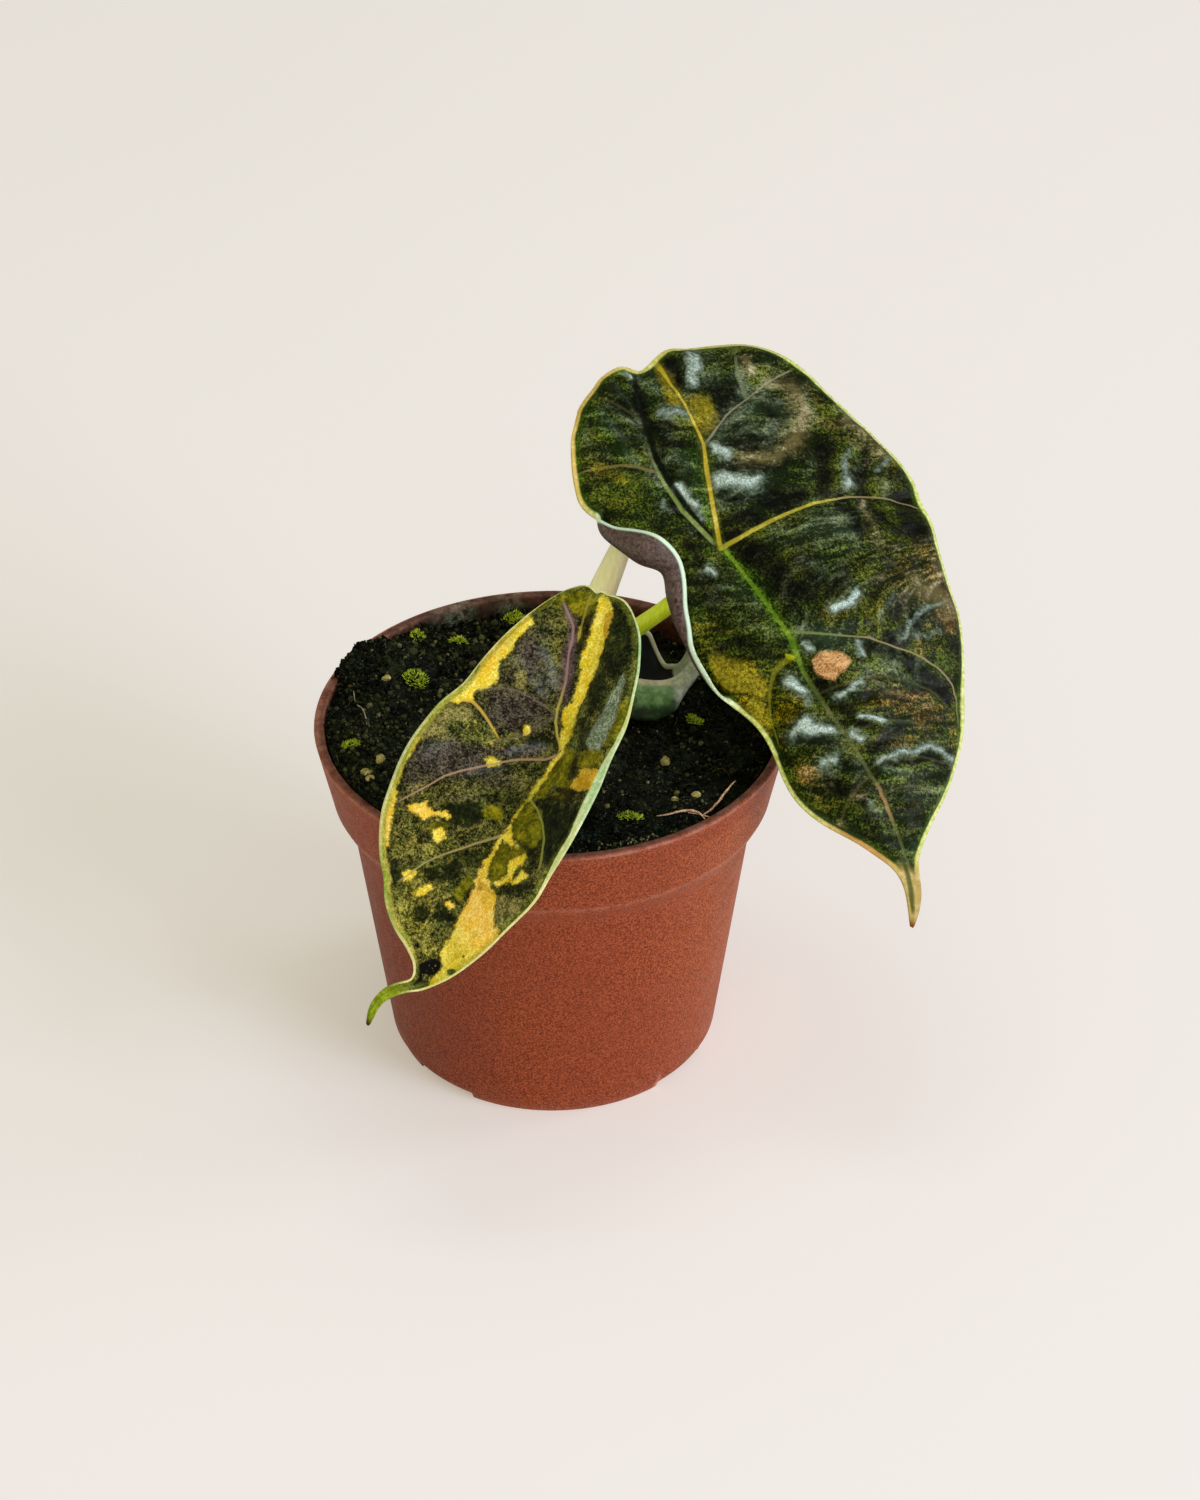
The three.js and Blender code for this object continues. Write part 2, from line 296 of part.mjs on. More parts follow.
  29.73,-16.06,82.5, 29.73,-15.75,82.29, 29.81,-15.44,82.1, 29.96,-15.13,81.94, 30.18,-14.85,81.82, 30.45,-14.6,81.74, 30.76,-14.39,81.7, 31.1,-14.24,81.72, 31.46,-14.14,81.78, 35.35,-14.35,83.79, 38.18,-14.93,84.78, 40.57,-15.57,85.42, 42.73,-16.17,85.92, 44.75,-16.67,86.32, 46.71,-17.03,86.64, 48.61,-17.24,86.86, 50.5,-17.25,86.97, 52.37,-17.06,86.95, 54.25,-16.66,86.8, 56.14,-16.07,86.54, 58.05,-15.31,86.17, 59.98,-14.38,85.71, 61.95,-13.3,85.16, 63.96,-12.07,84.54, 66.02,-10.73,83.88, 68.12,-9.29,83.2, 70.29,-7.77,82.56, 72.54,-6.17,82.01,
  33.23,-16.63,79.61, 33.6,-16.45,79.98, 33.98,-16.29,80.35, 34.35,-16.14,80.73, 34.73,-15.99,81.12, 35.1,-15.85,81.51, 35.48,-15.71,81.91, 35.85,-15.58,82.31, 36.23,-15.46,82.71, 38.89,-16.45,83.11, 41.05,-17.36,83.4, 43.01,-18.15,83.7, 44.86,-18.82,84.02, 46.65,-19.34,84.33, 48.41,-19.7,84.57, 50.16,-19.87,84.73, 51.9,-19.83,84.78, 53.65,-19.56,84.68, 55.4,-19.1,84.46, 57.17,-18.47,84.14, 58.95,-17.69,83.73, 60.76,-16.77,83.22, 62.61,-15.72,82.64, 64.49,-14.56,82, 66.41,-13.3,81.31, 68.38,-11.97,80.61, 70.4,-10.6,79.9, 72.46,-9.22,79.24,
  36.4,-18.82,77.45, 36.82,-18.75,77.85, 37.24,-18.7,78.26, 37.66,-18.65,78.68, 38.08,-18.61,79.09, 38.5,-18.58,79.51, 38.92,-18.54,79.93, 39.34,-18.51,80.35, 39.76,-18.47,80.77, 41.68,-19.51,80.87, 43.41,-20.36,81.12, 45.08,-21.07,81.43, 46.72,-21.64,81.76, 48.35,-22.06,82.06, 49.96,-22.3,82.27, 51.58,-22.35,82.36, 53.2,-22.21,82.34, 54.82,-21.88,82.2, 56.45,-21.4,81.94, 58.08,-20.77,81.59, 59.74,-20.01,81.15, 61.42,-19.13,80.63, 63.12,-18.16,80.04, 64.87,-17.1,79.39, 66.66,-15.97,78.7, 68.51,-14.79,77.99, 70.42,-13.58,77.26, 72.39,-12.37,76.55,
  38.62,-21.77,74.95, 39.1,-21.82,75.25, 39.58,-21.87,75.56, 40.06,-21.94,75.88, 40.54,-22.01,76.19, 41.02,-22.08,76.51, 41.5,-22.16,76.83, 41.98,-22.24,77.15, 42.46,-22.32,77.48, 43.89,-22.89,77.94, 45.36,-23.43,78.41, 46.86,-23.91,78.86, 48.37,-24.29,79.25, 49.88,-24.56,79.55, 51.4,-24.67,79.74, 52.9,-24.63,79.81, 54.4,-24.43,79.76, 55.89,-24.08,79.59, 57.39,-23.59,79.31, 58.89,-22.98,78.94, 60.4,-22.28,78.49, 61.93,-21.48,77.97, 63.48,-20.61,77.4, 65.07,-19.69,76.77, 66.7,-18.71,76.1, 68.4,-17.69,75.4, 70.17,-16.65,74.67, 72.06,-15.59,73.92,
  40.24,-24.73,72.04, 40.69,-24.76,72.34, 41.15,-24.81,72.64, 41.6,-24.86,72.95, 42.05,-24.91,73.25, 42.5,-24.97,73.57, 42.95,-25.03,73.88, 43.4,-25.09,74.19, 43.85,-25.15,74.5, 45.39,-25.59,75.2, 46.92,-26.01,75.81, 48.43,-26.37,76.32, 49.91,-26.65,76.73, 51.36,-26.82,77.02, 52.78,-26.87,77.18, 54.17,-26.77,77.21, 55.55,-26.52,77.12, 56.9,-26.14,76.91, 58.25,-25.66,76.6, 59.59,-25.1,76.23, 60.93,-24.47,75.79, 62.28,-23.78,75.3, 63.65,-23.05,74.76, 65.04,-22.28,74.17, 66.47,-21.47,73.55, 67.95,-20.64,72.9, 69.48,-19.8,72.22, 71.09,-18.95,71.53,
  42.29,-27.65,69.35, 42.68,-27.63,69.68, 43.07,-27.61,70.01, 43.46,-27.6,70.34, 43.85,-27.59,70.67, 44.25,-27.58,71.01, 44.64,-27.58,71.34, 45.03,-27.57,71.68, 45.42,-27.57,72.02, 47.1,-27.91,72.84, 48.68,-28.24,73.47, 50.18,-28.5,73.94, 51.59,-28.68,74.27, 52.94,-28.75,74.47, 54.24,-28.71,74.54, 55.49,-28.55,74.49, 56.71,-28.28,74.34, 57.89,-27.94,74.11, 59.06,-27.52,73.82, 60.21,-27.06,73.46, 61.35,-26.55,73.07, 62.49,-26,72.63, 63.64,-25.42,72.15, 64.81,-24.82,71.64, 66.01,-24.2,71.1, 67.24,-23.57,70.52, 68.51,-22.94,69.92, 69.84,-22.32,69.3,
  45.38,-30.28,67.28, 45.65,-30.18,67.65, 45.93,-30.08,68.03, 46.2,-29.98,68.41, 46.47,-29.88,68.8, 46.74,-29.79,69.18, 47.02,-29.69,69.56, 47.29,-29.6,69.95, 47.56,-29.51,70.33, 49.32,-29.84,70.95, 50.86,-30.1,71.37, 52.25,-30.26,71.64, 53.52,-30.33,71.79, 54.71,-30.32,71.84, 55.82,-30.23,71.8, 56.87,-30.06,71.68, 57.88,-29.84,71.5, 58.86,-29.56,71.27, 59.81,-29.24,71, 60.74,-28.89,70.69, 61.66,-28.52,70.36, 62.57,-28.12,70, 63.49,-27.71,69.62, 64.41,-27.27,69.21, 65.35,-26.83,68.78, 66.31,-26.36,68.34, 67.32,-25.89,67.86, 68.38,-25.4,67.37,
  49.14,-32.27,65.68, 49.35,-32.15,66.06, 49.56,-32.03,66.44, 49.77,-31.91,66.83, 49.98,-31.79,67.21, 50.19,-31.68,67.59, 50.4,-31.56,67.98, 50.6,-31.45,68.36, 50.81,-31.33,68.74, 52.27,-31.54,68.99, 53.53,-31.68,69.13, 54.65,-31.75,69.18, 55.66,-31.76,69.17, 56.59,-31.71,69.11, 57.46,-31.61,68.98, 58.27,-31.45,68.81, 59.05,-31.26,68.61, 59.79,-31.06,68.4, 60.51,-30.84,68.16, 61.2,-30.62,67.92, 61.88,-30.38,67.66, 62.55,-30.14,67.4, 63.22,-29.9,67.13, 63.88,-29.64,66.85, 64.54,-29.38,66.56, 65.22,-29.11,66.27, 65.91,-28.82,65.96, 66.64,-28.53,65.65,
  53.11,-33.69,64.07, 53.28,-33.59,64.38, 53.45,-33.49,64.68, 53.62,-33.39,64.99, 53.79,-33.29,65.29, 53.97,-33.19,65.6, 54.14,-33.09,65.9, 54.31,-32.98,66.21, 54.48,-32.88,66.51, 55.48,-32.95,66.48, 56.35,-32.97,66.41, 57.13,-32.95,66.32, 57.83,-32.89,66.2, 58.48,-32.82,66.06, 59.07,-32.74,65.91, 59.64,-32.64,65.76, 60.17,-32.55,65.6, 60.67,-32.44,65.43, 61.16,-32.34,65.26, 61.62,-32.23,65.09, 62.07,-32.13,64.91, 62.51,-32.02,64.74, 62.94,-31.92,64.56, 63.36,-31.81,64.39, 63.77,-31.7,64.21, 64.19,-31.59,64.03, 64.6,-31.47,63.85, 65.01,-31.35,63.67,
  56.83,-34.92,61.91, 56.98,-34.83,62.1, 57.13,-34.74,62.29, 57.28,-34.64,62.48, 57.43,-34.55,62.67, 57.58,-34.45,62.86, 57.73,-34.35,63.04, 57.88,-34.25,63.23, 58.03,-34.15,63.41, 58.54,-34.12,63.33, 59.01,-34.09,63.23, 59.44,-34.06,63.13, 59.84,-34.02,63.02, 60.21,-33.99,62.91, 60.56,-33.96,62.8, 60.89,-33.93,62.68, 61.21,-33.9,62.56, 61.51,-33.87,62.43, 61.79,-33.84,62.31, 62.06,-33.82,62.19, 62.33,-33.8,62.06, 62.57,-33.78,61.93, 62.81,-33.76,61.81, 63.04,-33.75,61.68, 63.25,-33.73,61.56, 63.46,-33.73,61.43, 63.66,-33.72,61.31, 63.84,-33.72,61.18,
  59.57,-35.7,59.79, 59.69,-35.64,59.88, 59.8,-35.57,59.98, 59.92,-35.51,60.07, 60.03,-35.45,60.16, 60.15,-35.38,60.25, 60.26,-35.32,60.34, 60.38,-35.25,60.43, 60.49,-35.18,60.52, 60.75,-35.19,60.4, 61,-35.19,60.29, 61.23,-35.2,60.17, 61.44,-35.21,60.06, 61.65,-35.21,59.95, 61.84,-35.22,59.84, 62.03,-35.23,59.73, 62.21,-35.24,59.63, 62.38,-35.24,59.52, 62.55,-35.25,59.42, 62.71,-35.26,59.31, 62.86,-35.27,59.21, 63.01,-35.28,59.11, 63.16,-35.29,59.01, 63.3,-35.3,58.91, 63.43,-35.3,58.81, 63.56,-35.31,58.71, 63.69,-35.32,58.61, 63.82,-35.33,58.52,
  61.36,-36.75,56.88, 61.47,-36.72,56.91, 61.57,-36.69,56.93, 61.68,-36.65,56.95, 61.78,-36.62,56.98, 61.89,-36.59,57, 62,-36.56,57.03, 62.1,-36.53,57.05, 62.21,-36.49,57.07, 62.33,-36.5,56.98, 62.45,-36.51,56.9, 62.56,-36.52,56.82, 62.67,-36.53,56.73, 62.78,-36.53,56.65, 62.89,-36.54,56.57, 63,-36.55,56.49, 63.11,-36.55,56.41, 63.21,-36.56,56.33, 63.31,-36.56,56.25, 63.41,-36.56,56.18, 63.51,-36.57,56.1, 63.61,-36.57,56.02, 63.71,-36.57,55.95, 63.81,-36.57,55.87, 63.91,-36.57,55.8, 64.01,-36.57,55.73, 64.1,-36.57,55.65, 64.2,-36.57,55.58,
  62.16,-37.84,53.47, 62.23,-37.83,53.47, 62.3,-37.81,53.47, 62.37,-37.8,53.47, 62.44,-37.79,53.47, 62.5,-37.77,53.47, 62.57,-37.76,53.47, 62.64,-37.74,53.47, 62.71,-37.73,53.47, 62.78,-37.73,53.42, 62.85,-37.73,53.37, 62.92,-37.74,53.32, 62.99,-37.74,53.27, 63.05,-37.74,53.22, 63.12,-37.74,53.17, 63.18,-37.74,53.13, 63.25,-37.74,53.08, 63.31,-37.75,53.03, 63.37,-37.75,52.99, 63.44,-37.75,52.94, 63.5,-37.75,52.9, 63.56,-37.75,52.85, 63.62,-37.75,52.81, 63.68,-37.76,52.76, 63.74,-37.76,52.72, 63.8,-37.76,52.68, 63.86,-37.76,52.63, 63.92,-37.76,52.59,
  62.65,-38.98,50, 62.68,-38.97,50, 62.7,-38.97,50, 62.73,-38.96,50, 62.75,-38.96,50, 62.77,-38.95,50.01, 62.8,-38.95,50.01, 62.82,-38.94,50.01, 62.85,-38.94,50.01, 62.85,-38.94,50, 62.86,-38.94,49.98, 62.87,-38.94,49.97, 62.88,-38.95,49.96, 62.89,-38.95,49.95, 62.9,-38.95,49.94, 62.91,-38.96,49.93, 62.91,-38.96,49.92, 62.92,-38.96,49.91, 62.93,-38.96,49.89, 62.94,-38.97,49.88, 62.95,-38.97,49.87, 62.96,-38.97,49.86, 62.97,-38.97,49.85, 62.97,-38.98,49.84, 62.98,-38.98,49.83, 62.99,-38.98,49.82, 63,-38.99,49.8, 63.01,-38.99,49.79,
];
const SMALL_ROWS = 26, SMALL_COLS = 18;
const SMALL = [
  -3.71,-10.97,96.1, -2.12,-10.16,97.01, -0.48,-9.45,97.92, 1.22,-8.89,98.81, 3.01,-8.55,99.66, 4.92,-8.59,100.41, 6.17,-8.96,100.75, 7.34,-9.85,100.81, 8.2,-10.99,100.62, 9.06,-11.21,100.97, 9.9,-12.06,101.01, 10.8,-12.83,101.15, 11.71,-13.59,101.34, 12.58,-14.51,101.45, 13.28,-15.57,101.42, 13.84,-16.77,101.27, 14.3,-17.98,101.09, 14.67,-19.24,100.86,
  -6.84,-12.96,94.21, -5.02,-13.22,94.46, -3.31,-13.29,94.84, -1.65,-13.3,95.3, -0.04,-13.34,95.81, 1.54,-13.48,96.32, 3.05,-13.74,96.79, 4.44,-14.17,97.19, 5.73,-14.75,97.51, 6.92,-15.4,97.8, 8.06,-16.13,98.07, 9.15,-16.93,98.33, 10.21,-17.81,98.59, 11.24,-18.77,98.83, 12.25,-19.81,99.07, 13.25,-20.93,99.32, 14.29,-22.12,99.6, 15.45,-23.38,99.97,
  -9.69,-15.04,92.07, -7.76,-15.5,92.27, -5.91,-15.84,92.5, -4.13,-16.1,92.78, -2.43,-16.35,93.11, -0.78,-16.64,93.48, 0.81,-17.01,93.89, 2.34,-17.48,94.31, 3.8,-18.07,94.73, 5.19,-18.76,95.15, 6.54,-19.54,95.57, 7.84,-20.4,95.99, 9.1,-21.35,96.41, 10.35,-22.37,96.84, 11.59,-23.47,97.28, 12.84,-24.64,97.74, 14.12,-25.87,98.24, 15.47,-27.17,98.77,
  -12.34,-17.16,89.7, -10.35,-17.63,89.9, -8.42,-18.05,90.11, -6.55,-18.42,90.33, -4.73,-18.77,90.58, -2.97,-19.12,90.86, -1.27,-19.53,91.18, 0.38,-20.03,91.56, 1.99,-20.65,91.99, 3.54,-21.39,92.48, 5.05,-22.27,93.01, 6.53,-23.25,93.58, 7.97,-24.33,94.18, 9.4,-25.5,94.81, 10.82,-26.72,95.44, 12.24,-28,96.1, 13.7,-29.34,96.77, 15.2,-30.72,97.47,
  -14.92,-19.28,87.31, -12.89,-19.74,87.48, -10.89,-20.17,87.65, -8.94,-20.56,87.83, -7.03,-20.95,88.03, -5.16,-21.34,88.26, -3.35,-21.75,88.51, -1.58,-22.22,88.83, 0.15,-22.81,89.21, 1.84,-23.54,89.69, 3.49,-24.44,90.26, 5.12,-25.55,90.96, 6.72,-26.8,91.74, 8.29,-28.15,92.56, 9.86,-29.55,93.4, 11.43,-30.97,94.25, 12.99,-32.41,95.1, 14.56,-33.85,95.93,
  -18.14,-20.76,85.22, -15.75,-21.56,85.22, -13.53,-22.15,85.27, -11.41,-22.61,85.36, -9.37,-23.02,85.48, -7.4,-23.4,85.63, -5.47,-23.8,85.82, -3.59,-24.26,86.08, -1.75,-24.81,86.42, 0.06,-25.52,86.87, 1.83,-26.43,87.45, 3.58,-27.55,88.18, 5.31,-28.88,89.05, 7.03,-30.37,90.03, 8.73,-31.96,91.06, 10.44,-33.58,92.12, 12.16,-35.18,93.18, 13.91,-36.7,94.25,
  -21.1,-22.89,82.67, -18.54,-23.68,82.76, -16.15,-24.3,82.83, -13.89,-24.8,82.89, -11.73,-25.21,82.96, -9.65,-25.57,83.05, -7.63,-25.92,83.17, -5.65,-26.32,83.35, -3.72,-26.81,83.62, -1.81,-27.44,84, 0.06,-28.26,84.54, 1.92,-29.35,85.26, 3.76,-30.72,86.18, 5.58,-32.32,87.26, 7.39,-34.08,88.45, 9.21,-35.92,89.69, 11.05,-37.78,90.94, 12.95,-39.66,92.16,
  -23.72,-25.2,79.9, -21.07,-26.01,80.1, -18.59,-26.64,80.24, -16.24,-27.16,80.35, -14,-27.58,80.43, -11.84,-27.95,80.52, -9.75,-28.26,80.6, -7.71,-28.6,80.73, -5.71,-29.03,80.94, -3.73,-29.59,81.26, -1.78,-30.33,81.74, 0.15,-31.29,82.38, 2.07,-32.56,83.25, 3.97,-34.17,84.39, 5.86,-36,85.68, 7.74,-37.96,87.08, 9.61,-39.95,88.49, 11.46,-41.86,89.82,
  -25.78,-27.79,76.95, -23.17,-28.53,77.26, -20.69,-29.15,77.5, -18.34,-29.65,77.68, -16.08,-30.06,77.81, -13.9,-30.42,77.92, -11.78,-30.74,78.03, -9.7,-31.07,78.15, -7.67,-31.46,78.34, -5.66,-31.98,78.63, -3.66,-32.69,79.08, -1.68,-33.65,79.72, 0.29,-34.89,80.58, 2.26,-36.41,81.67, 4.23,-38.16,82.96, 6.18,-40.06,84.4, 8.12,-42.04,85.92, 10,-43.97,87.39,
  -27.35,-30.62,73.86, -24.83,-31.26,74.3, -22.42,-31.81,74.65, -20.11,-32.29,74.93, -17.89,-32.68,75.14, -15.73,-33.01,75.29, -13.63,-33.32,75.43, -11.57,-33.66,75.59, -9.55,-34.06,75.79, -7.54,-34.56,76.07, -5.54,-35.23,76.48, -3.55,-36.11,77.05, -1.56,-37.32,77.87, 0.44,-38.87,78.97, 2.46,-40.65,80.28, 4.49,-42.57,81.76, 6.57,-44.51,83.36, 8.71,-46.36,85.08,
  -28.64,-33.52,70.73, -26.12,-34.07,71.28, -23.77,-34.54,71.73, -21.54,-34.95,72.1, -19.39,-35.33,72.4, -17.31,-35.65,72.63, -15.27,-35.97,72.83, -13.27,-36.31,73.03, -11.29,-36.73,73.27, -9.33,-37.26,73.58, -7.37,-37.96,74, -5.41,-38.86,74.56, -3.45,-40.01,75.31, -1.47,-41.47,76.28, 0.52,-43.23,77.48, 2.52,-45.22,78.89, 4.55,-47.36,80.44, 6.63,-49.4,82.02,
  -29.02,-36.67,67.62, -26.77,-36.98,68.3, -24.62,-37.29,68.82, -22.55,-37.6,69.25, -20.54,-37.91,69.61, -18.59,-38.22,69.91, -16.66,-38.54,70.18, -14.76,-38.9,70.44, -12.88,-39.34,70.73, -10.99,-39.89,71.07, -9.1,-40.59,71.5, -7.21,-41.5,72.06, -5.31,-42.64,72.78, -3.39,-44.05,73.66, -1.46,-45.73,74.74, 0.48,-47.68,75.99, 2.43,-49.84,77.37, 4.39,-52.06,78.78,
  -28.8,-39.46,64.9, -26.87,-39.69,65.54, -24.99,-39.92,66.07, -23.15,-40.16,66.51, -21.34,-40.43,66.89, -19.56,-40.71,67.23, -17.8,-41.02,67.54, -16.04,-41.38,67.85, -14.28,-41.83,68.17, -12.51,-42.37,68.54, -10.73,-43.05,68.97, -8.93,-43.89,69.49, -7.11,-44.97,70.16, -5.27,-46.27,70.96, -3.41,-47.81,71.9, -1.53,-49.57,72.98, 0.34,-51.59,74.19, 2.21,-53.73,75.44,
  -28.18,-41.86,62.56, -26.61,-42.09,63.04, -25.02,-42.3,63.49, -23.43,-42.52,63.89, -21.85,-42.77,64.26, -20.27,-43.03,64.61, -18.69,-43.34,64.94, -17.11,-43.69,65.26, -15.52,-44.13,65.6, -13.9,-44.66,65.98, -12.26,-45.31,66.42, -10.59,-46.11,66.93, -8.88,-47.09,67.54, -7.12,-48.27,68.26, -5.33,-49.66,69.1, -3.5,-51.25,70.06, -1.66,-53.02,71.12, 0.19,-54.89,72.25,
  -27.99,-44.08,60.04, -26.44,-44.29,60.53, -24.97,-44.48,60.96, -23.55,-44.67,61.35, -22.16,-44.88,61.7, -20.78,-45.13,62.03, -19.4,-45.42,62.35, -18.01,-45.77,62.68, -16.61,-46.18,63.02, -15.17,-46.68,63.38, -13.71,-47.29,63.8, -12.2,-48.02,64.28, -10.63,-48.9,64.83, -9.01,-49.94,65.48, -7.32,-51.19,66.23, -5.55,-52.66,67.11, -3.69,-54.37,68.09, -1.74,-56.3,69.15,
  -27.18,-46.23,57.62, -25.86,-46.35,58.13, -24.62,-46.48,58.55, -23.42,-46.63,58.92, -22.24,-46.82,59.25, -21.08,-47.04,59.55, -19.92,-47.31,59.85, -18.75,-47.63,60.14, -17.56,-48.01,60.45, -16.34,-48.46,60.78, -15.08,-49,61.15, -13.77,-49.64,61.57, -12.41,-50.39,62.05, -10.97,-51.29,62.61, -9.45,-52.33,63.26, -7.84,-53.56,64.02, -6.11,-55.01,64.89, -4.25,-56.7,65.88,
  -25.89,-48.2,55.63, -24.92,-48.22,56.09, -23.98,-48.3,56.45, -23.05,-48.42,56.76, -22.13,-48.58,57.02, -21.21,-48.77,57.26, -20.29,-49.01,57.49, -19.35,-49.3,57.73, -18.39,-49.64,57.97, -17.41,-50.03,58.24, -16.38,-50.49,58.53, -15.3,-51.02,58.86, -14.17,-51.65,59.24, -12.96,-52.38,59.68, -11.67,-53.23,60.2, -10.29,-54.22,60.82, -8.78,-55.36,61.55, -7.15,-56.67,62.41,
  -24.71,-49.55,54.42, -23.98,-49.68,54.63, -23.28,-49.82,54.82, -22.6,-49.98,54.98, -21.92,-50.16,55.12, -21.25,-50.35,55.25, -20.56,-50.57,55.39, -19.87,-50.82,55.52, -19.15,-51.1,55.67, -18.41,-51.42,55.83, -17.63,-51.79,56, -16.81,-52.2,56.2, -15.93,-52.68,56.44, -14.98,-53.24,56.72, -13.95,-53.9,57.06, -12.82,-54.67,57.47, -11.58,-55.58,57.98, -10.21,-56.65,58.58,
  -23.68,-50.95,53.15, -23.19,-51.1,53.22, -22.72,-51.26,53.27, -22.27,-51.43,53.32, -21.82,-51.6,53.37, -21.37,-51.78,53.41, -20.91,-51.97,53.45, -20.44,-52.18,53.49, -19.96,-52.41,53.54, -19.45,-52.65,53.59, -18.92,-52.92,53.66, -18.35,-53.22,53.73, -17.73,-53.56,53.82, -17.07,-53.94,53.94, -16.34,-54.39,54.09, -15.52,-54.91,54.28, -14.61,-55.53,54.53, -13.57,-56.28,54.87,
  -22.99,-52.37,51.73, -22.75,-52.5,51.71, -22.51,-52.63,51.69, -22.27,-52.76,51.66, -22.03,-52.89,51.64, -21.78,-53.04,51.62, -21.52,-53.18,51.6, -21.26,-53.34,51.58, -20.98,-53.51,51.56, -20.69,-53.68,51.54, -20.38,-53.87,51.52, -20.05,-54.08,51.51, -19.7,-54.31,51.5, -19.31,-54.56,51.5, -18.88,-54.84,51.5, -18.4,-55.16,51.53, -17.85,-55.53,51.57, -17.22,-55.97,51.64,
  -23.33,-53.59,50.05, -23.25,-53.66,50.02, -23.16,-53.73,49.99, -23.06,-53.8,49.96, -22.96,-53.88,49.93, -22.85,-53.96,49.89, -22.74,-54.05,49.85, -22.63,-54.15,49.8, -22.51,-54.25,49.76, -22.39,-54.36,49.71, -22.26,-54.47,49.65, -22.12,-54.59,49.6, -21.99,-54.72,49.54, -21.85,-54.86,49.47, -21.7,-55.01,49.41, -21.55,-55.16,49.33, -21.4,-55.33,49.26, -21.24,-55.5,49.18,
  -25.08,-53.57,49.14, -25,-53.65,49.09, -24.92,-53.73,49.04, -24.84,-53.8,48.99, -24.76,-53.88,48.94, -24.68,-53.97,48.89, -24.59,-54.05,48.84, -24.5,-54.13,48.79, -24.41,-54.21,48.75, -24.32,-54.3,48.7, -24.22,-54.39,48.65, -24.13,-54.47,48.6, -24.02,-54.57,48.56, -23.92,-54.66,48.51, -23.81,-54.76,48.46, -23.7,-54.86,48.41, -23.58,-54.96,48.36, -23.46,-55.07,48.32,
  -27.31,-53.43,48.08, -27.24,-53.52,48.03, -27.16,-53.59,47.97, -27.09,-53.67,47.92, -27.02,-53.75,47.87, -26.95,-53.83,47.82, -26.88,-53.9,47.76, -26.81,-53.97,47.71, -26.74,-54.05,47.67, -26.67,-54.12,47.62, -26.6,-54.19,47.57, -26.53,-54.26,47.52, -26.46,-54.33,47.48, -26.38,-54.4,47.43, -26.31,-54.47,47.39, -26.24,-54.54,47.35, -26.17,-54.61,47.31, -26.09,-54.68,47.26,
  -29.23,-53.73,46.47, -29.18,-53.8,46.41, -29.13,-53.87,46.35, -29.08,-53.94,46.29, -29.04,-54.01,46.24, -28.99,-54.07,46.18, -28.94,-54.14,46.13, -28.9,-54.2,46.07, -28.86,-54.27,46.02, -28.82,-54.33,45.97, -28.78,-54.39,45.92, -28.74,-54.45,45.87, -28.7,-54.51,45.82, -28.66,-54.57,45.76, -28.63,-54.62,45.72, -28.59,-54.68,45.67, -28.56,-54.74,45.62, -28.53,-54.79,45.57,
  -30.7,-54.62,44.26, -30.64,-54.67,44.22, -30.58,-54.73,44.19, -30.52,-54.79,44.16, -30.46,-54.84,44.13, -30.41,-54.9,44.11, -30.35,-54.95,44.08, -30.3,-55,44.05, -30.24,-55.05,44.02, -30.19,-55.1,44, -30.14,-55.15,43.97, -30.08,-55.2,43.95, -30.03,-55.25,43.92, -29.98,-55.3,43.9, -29.93,-55.34,43.87, -29.88,-55.39,43.85, -29.83,-55.44,43.83, -29.78,-55.48,43.8,
  -31.15,-56.13,42.05, -31.13,-56.14,42.05, -31.11,-56.16,42.05, -31.09,-56.17,42.04, -31.07,-56.18,42.04, -31.05,-56.2,42.04, -31.03,-56.21,42.04, -31.02,-56.22,42.03, -31,-56.23,42.03, -30.98,-56.25,42.03, -30.96,-56.26,42.03, -30.94,-56.27,42.02, -30.92,-56.29,42.02, -30.9,-56.3,42.02, -30.89,-56.31,42.02, -30.87,-56.33,42.01, -30.85,-56.34,42.01, -30.83,-56.35,42.01,
];
const CUP_ROWS = 12, CUP_COLS = 10;
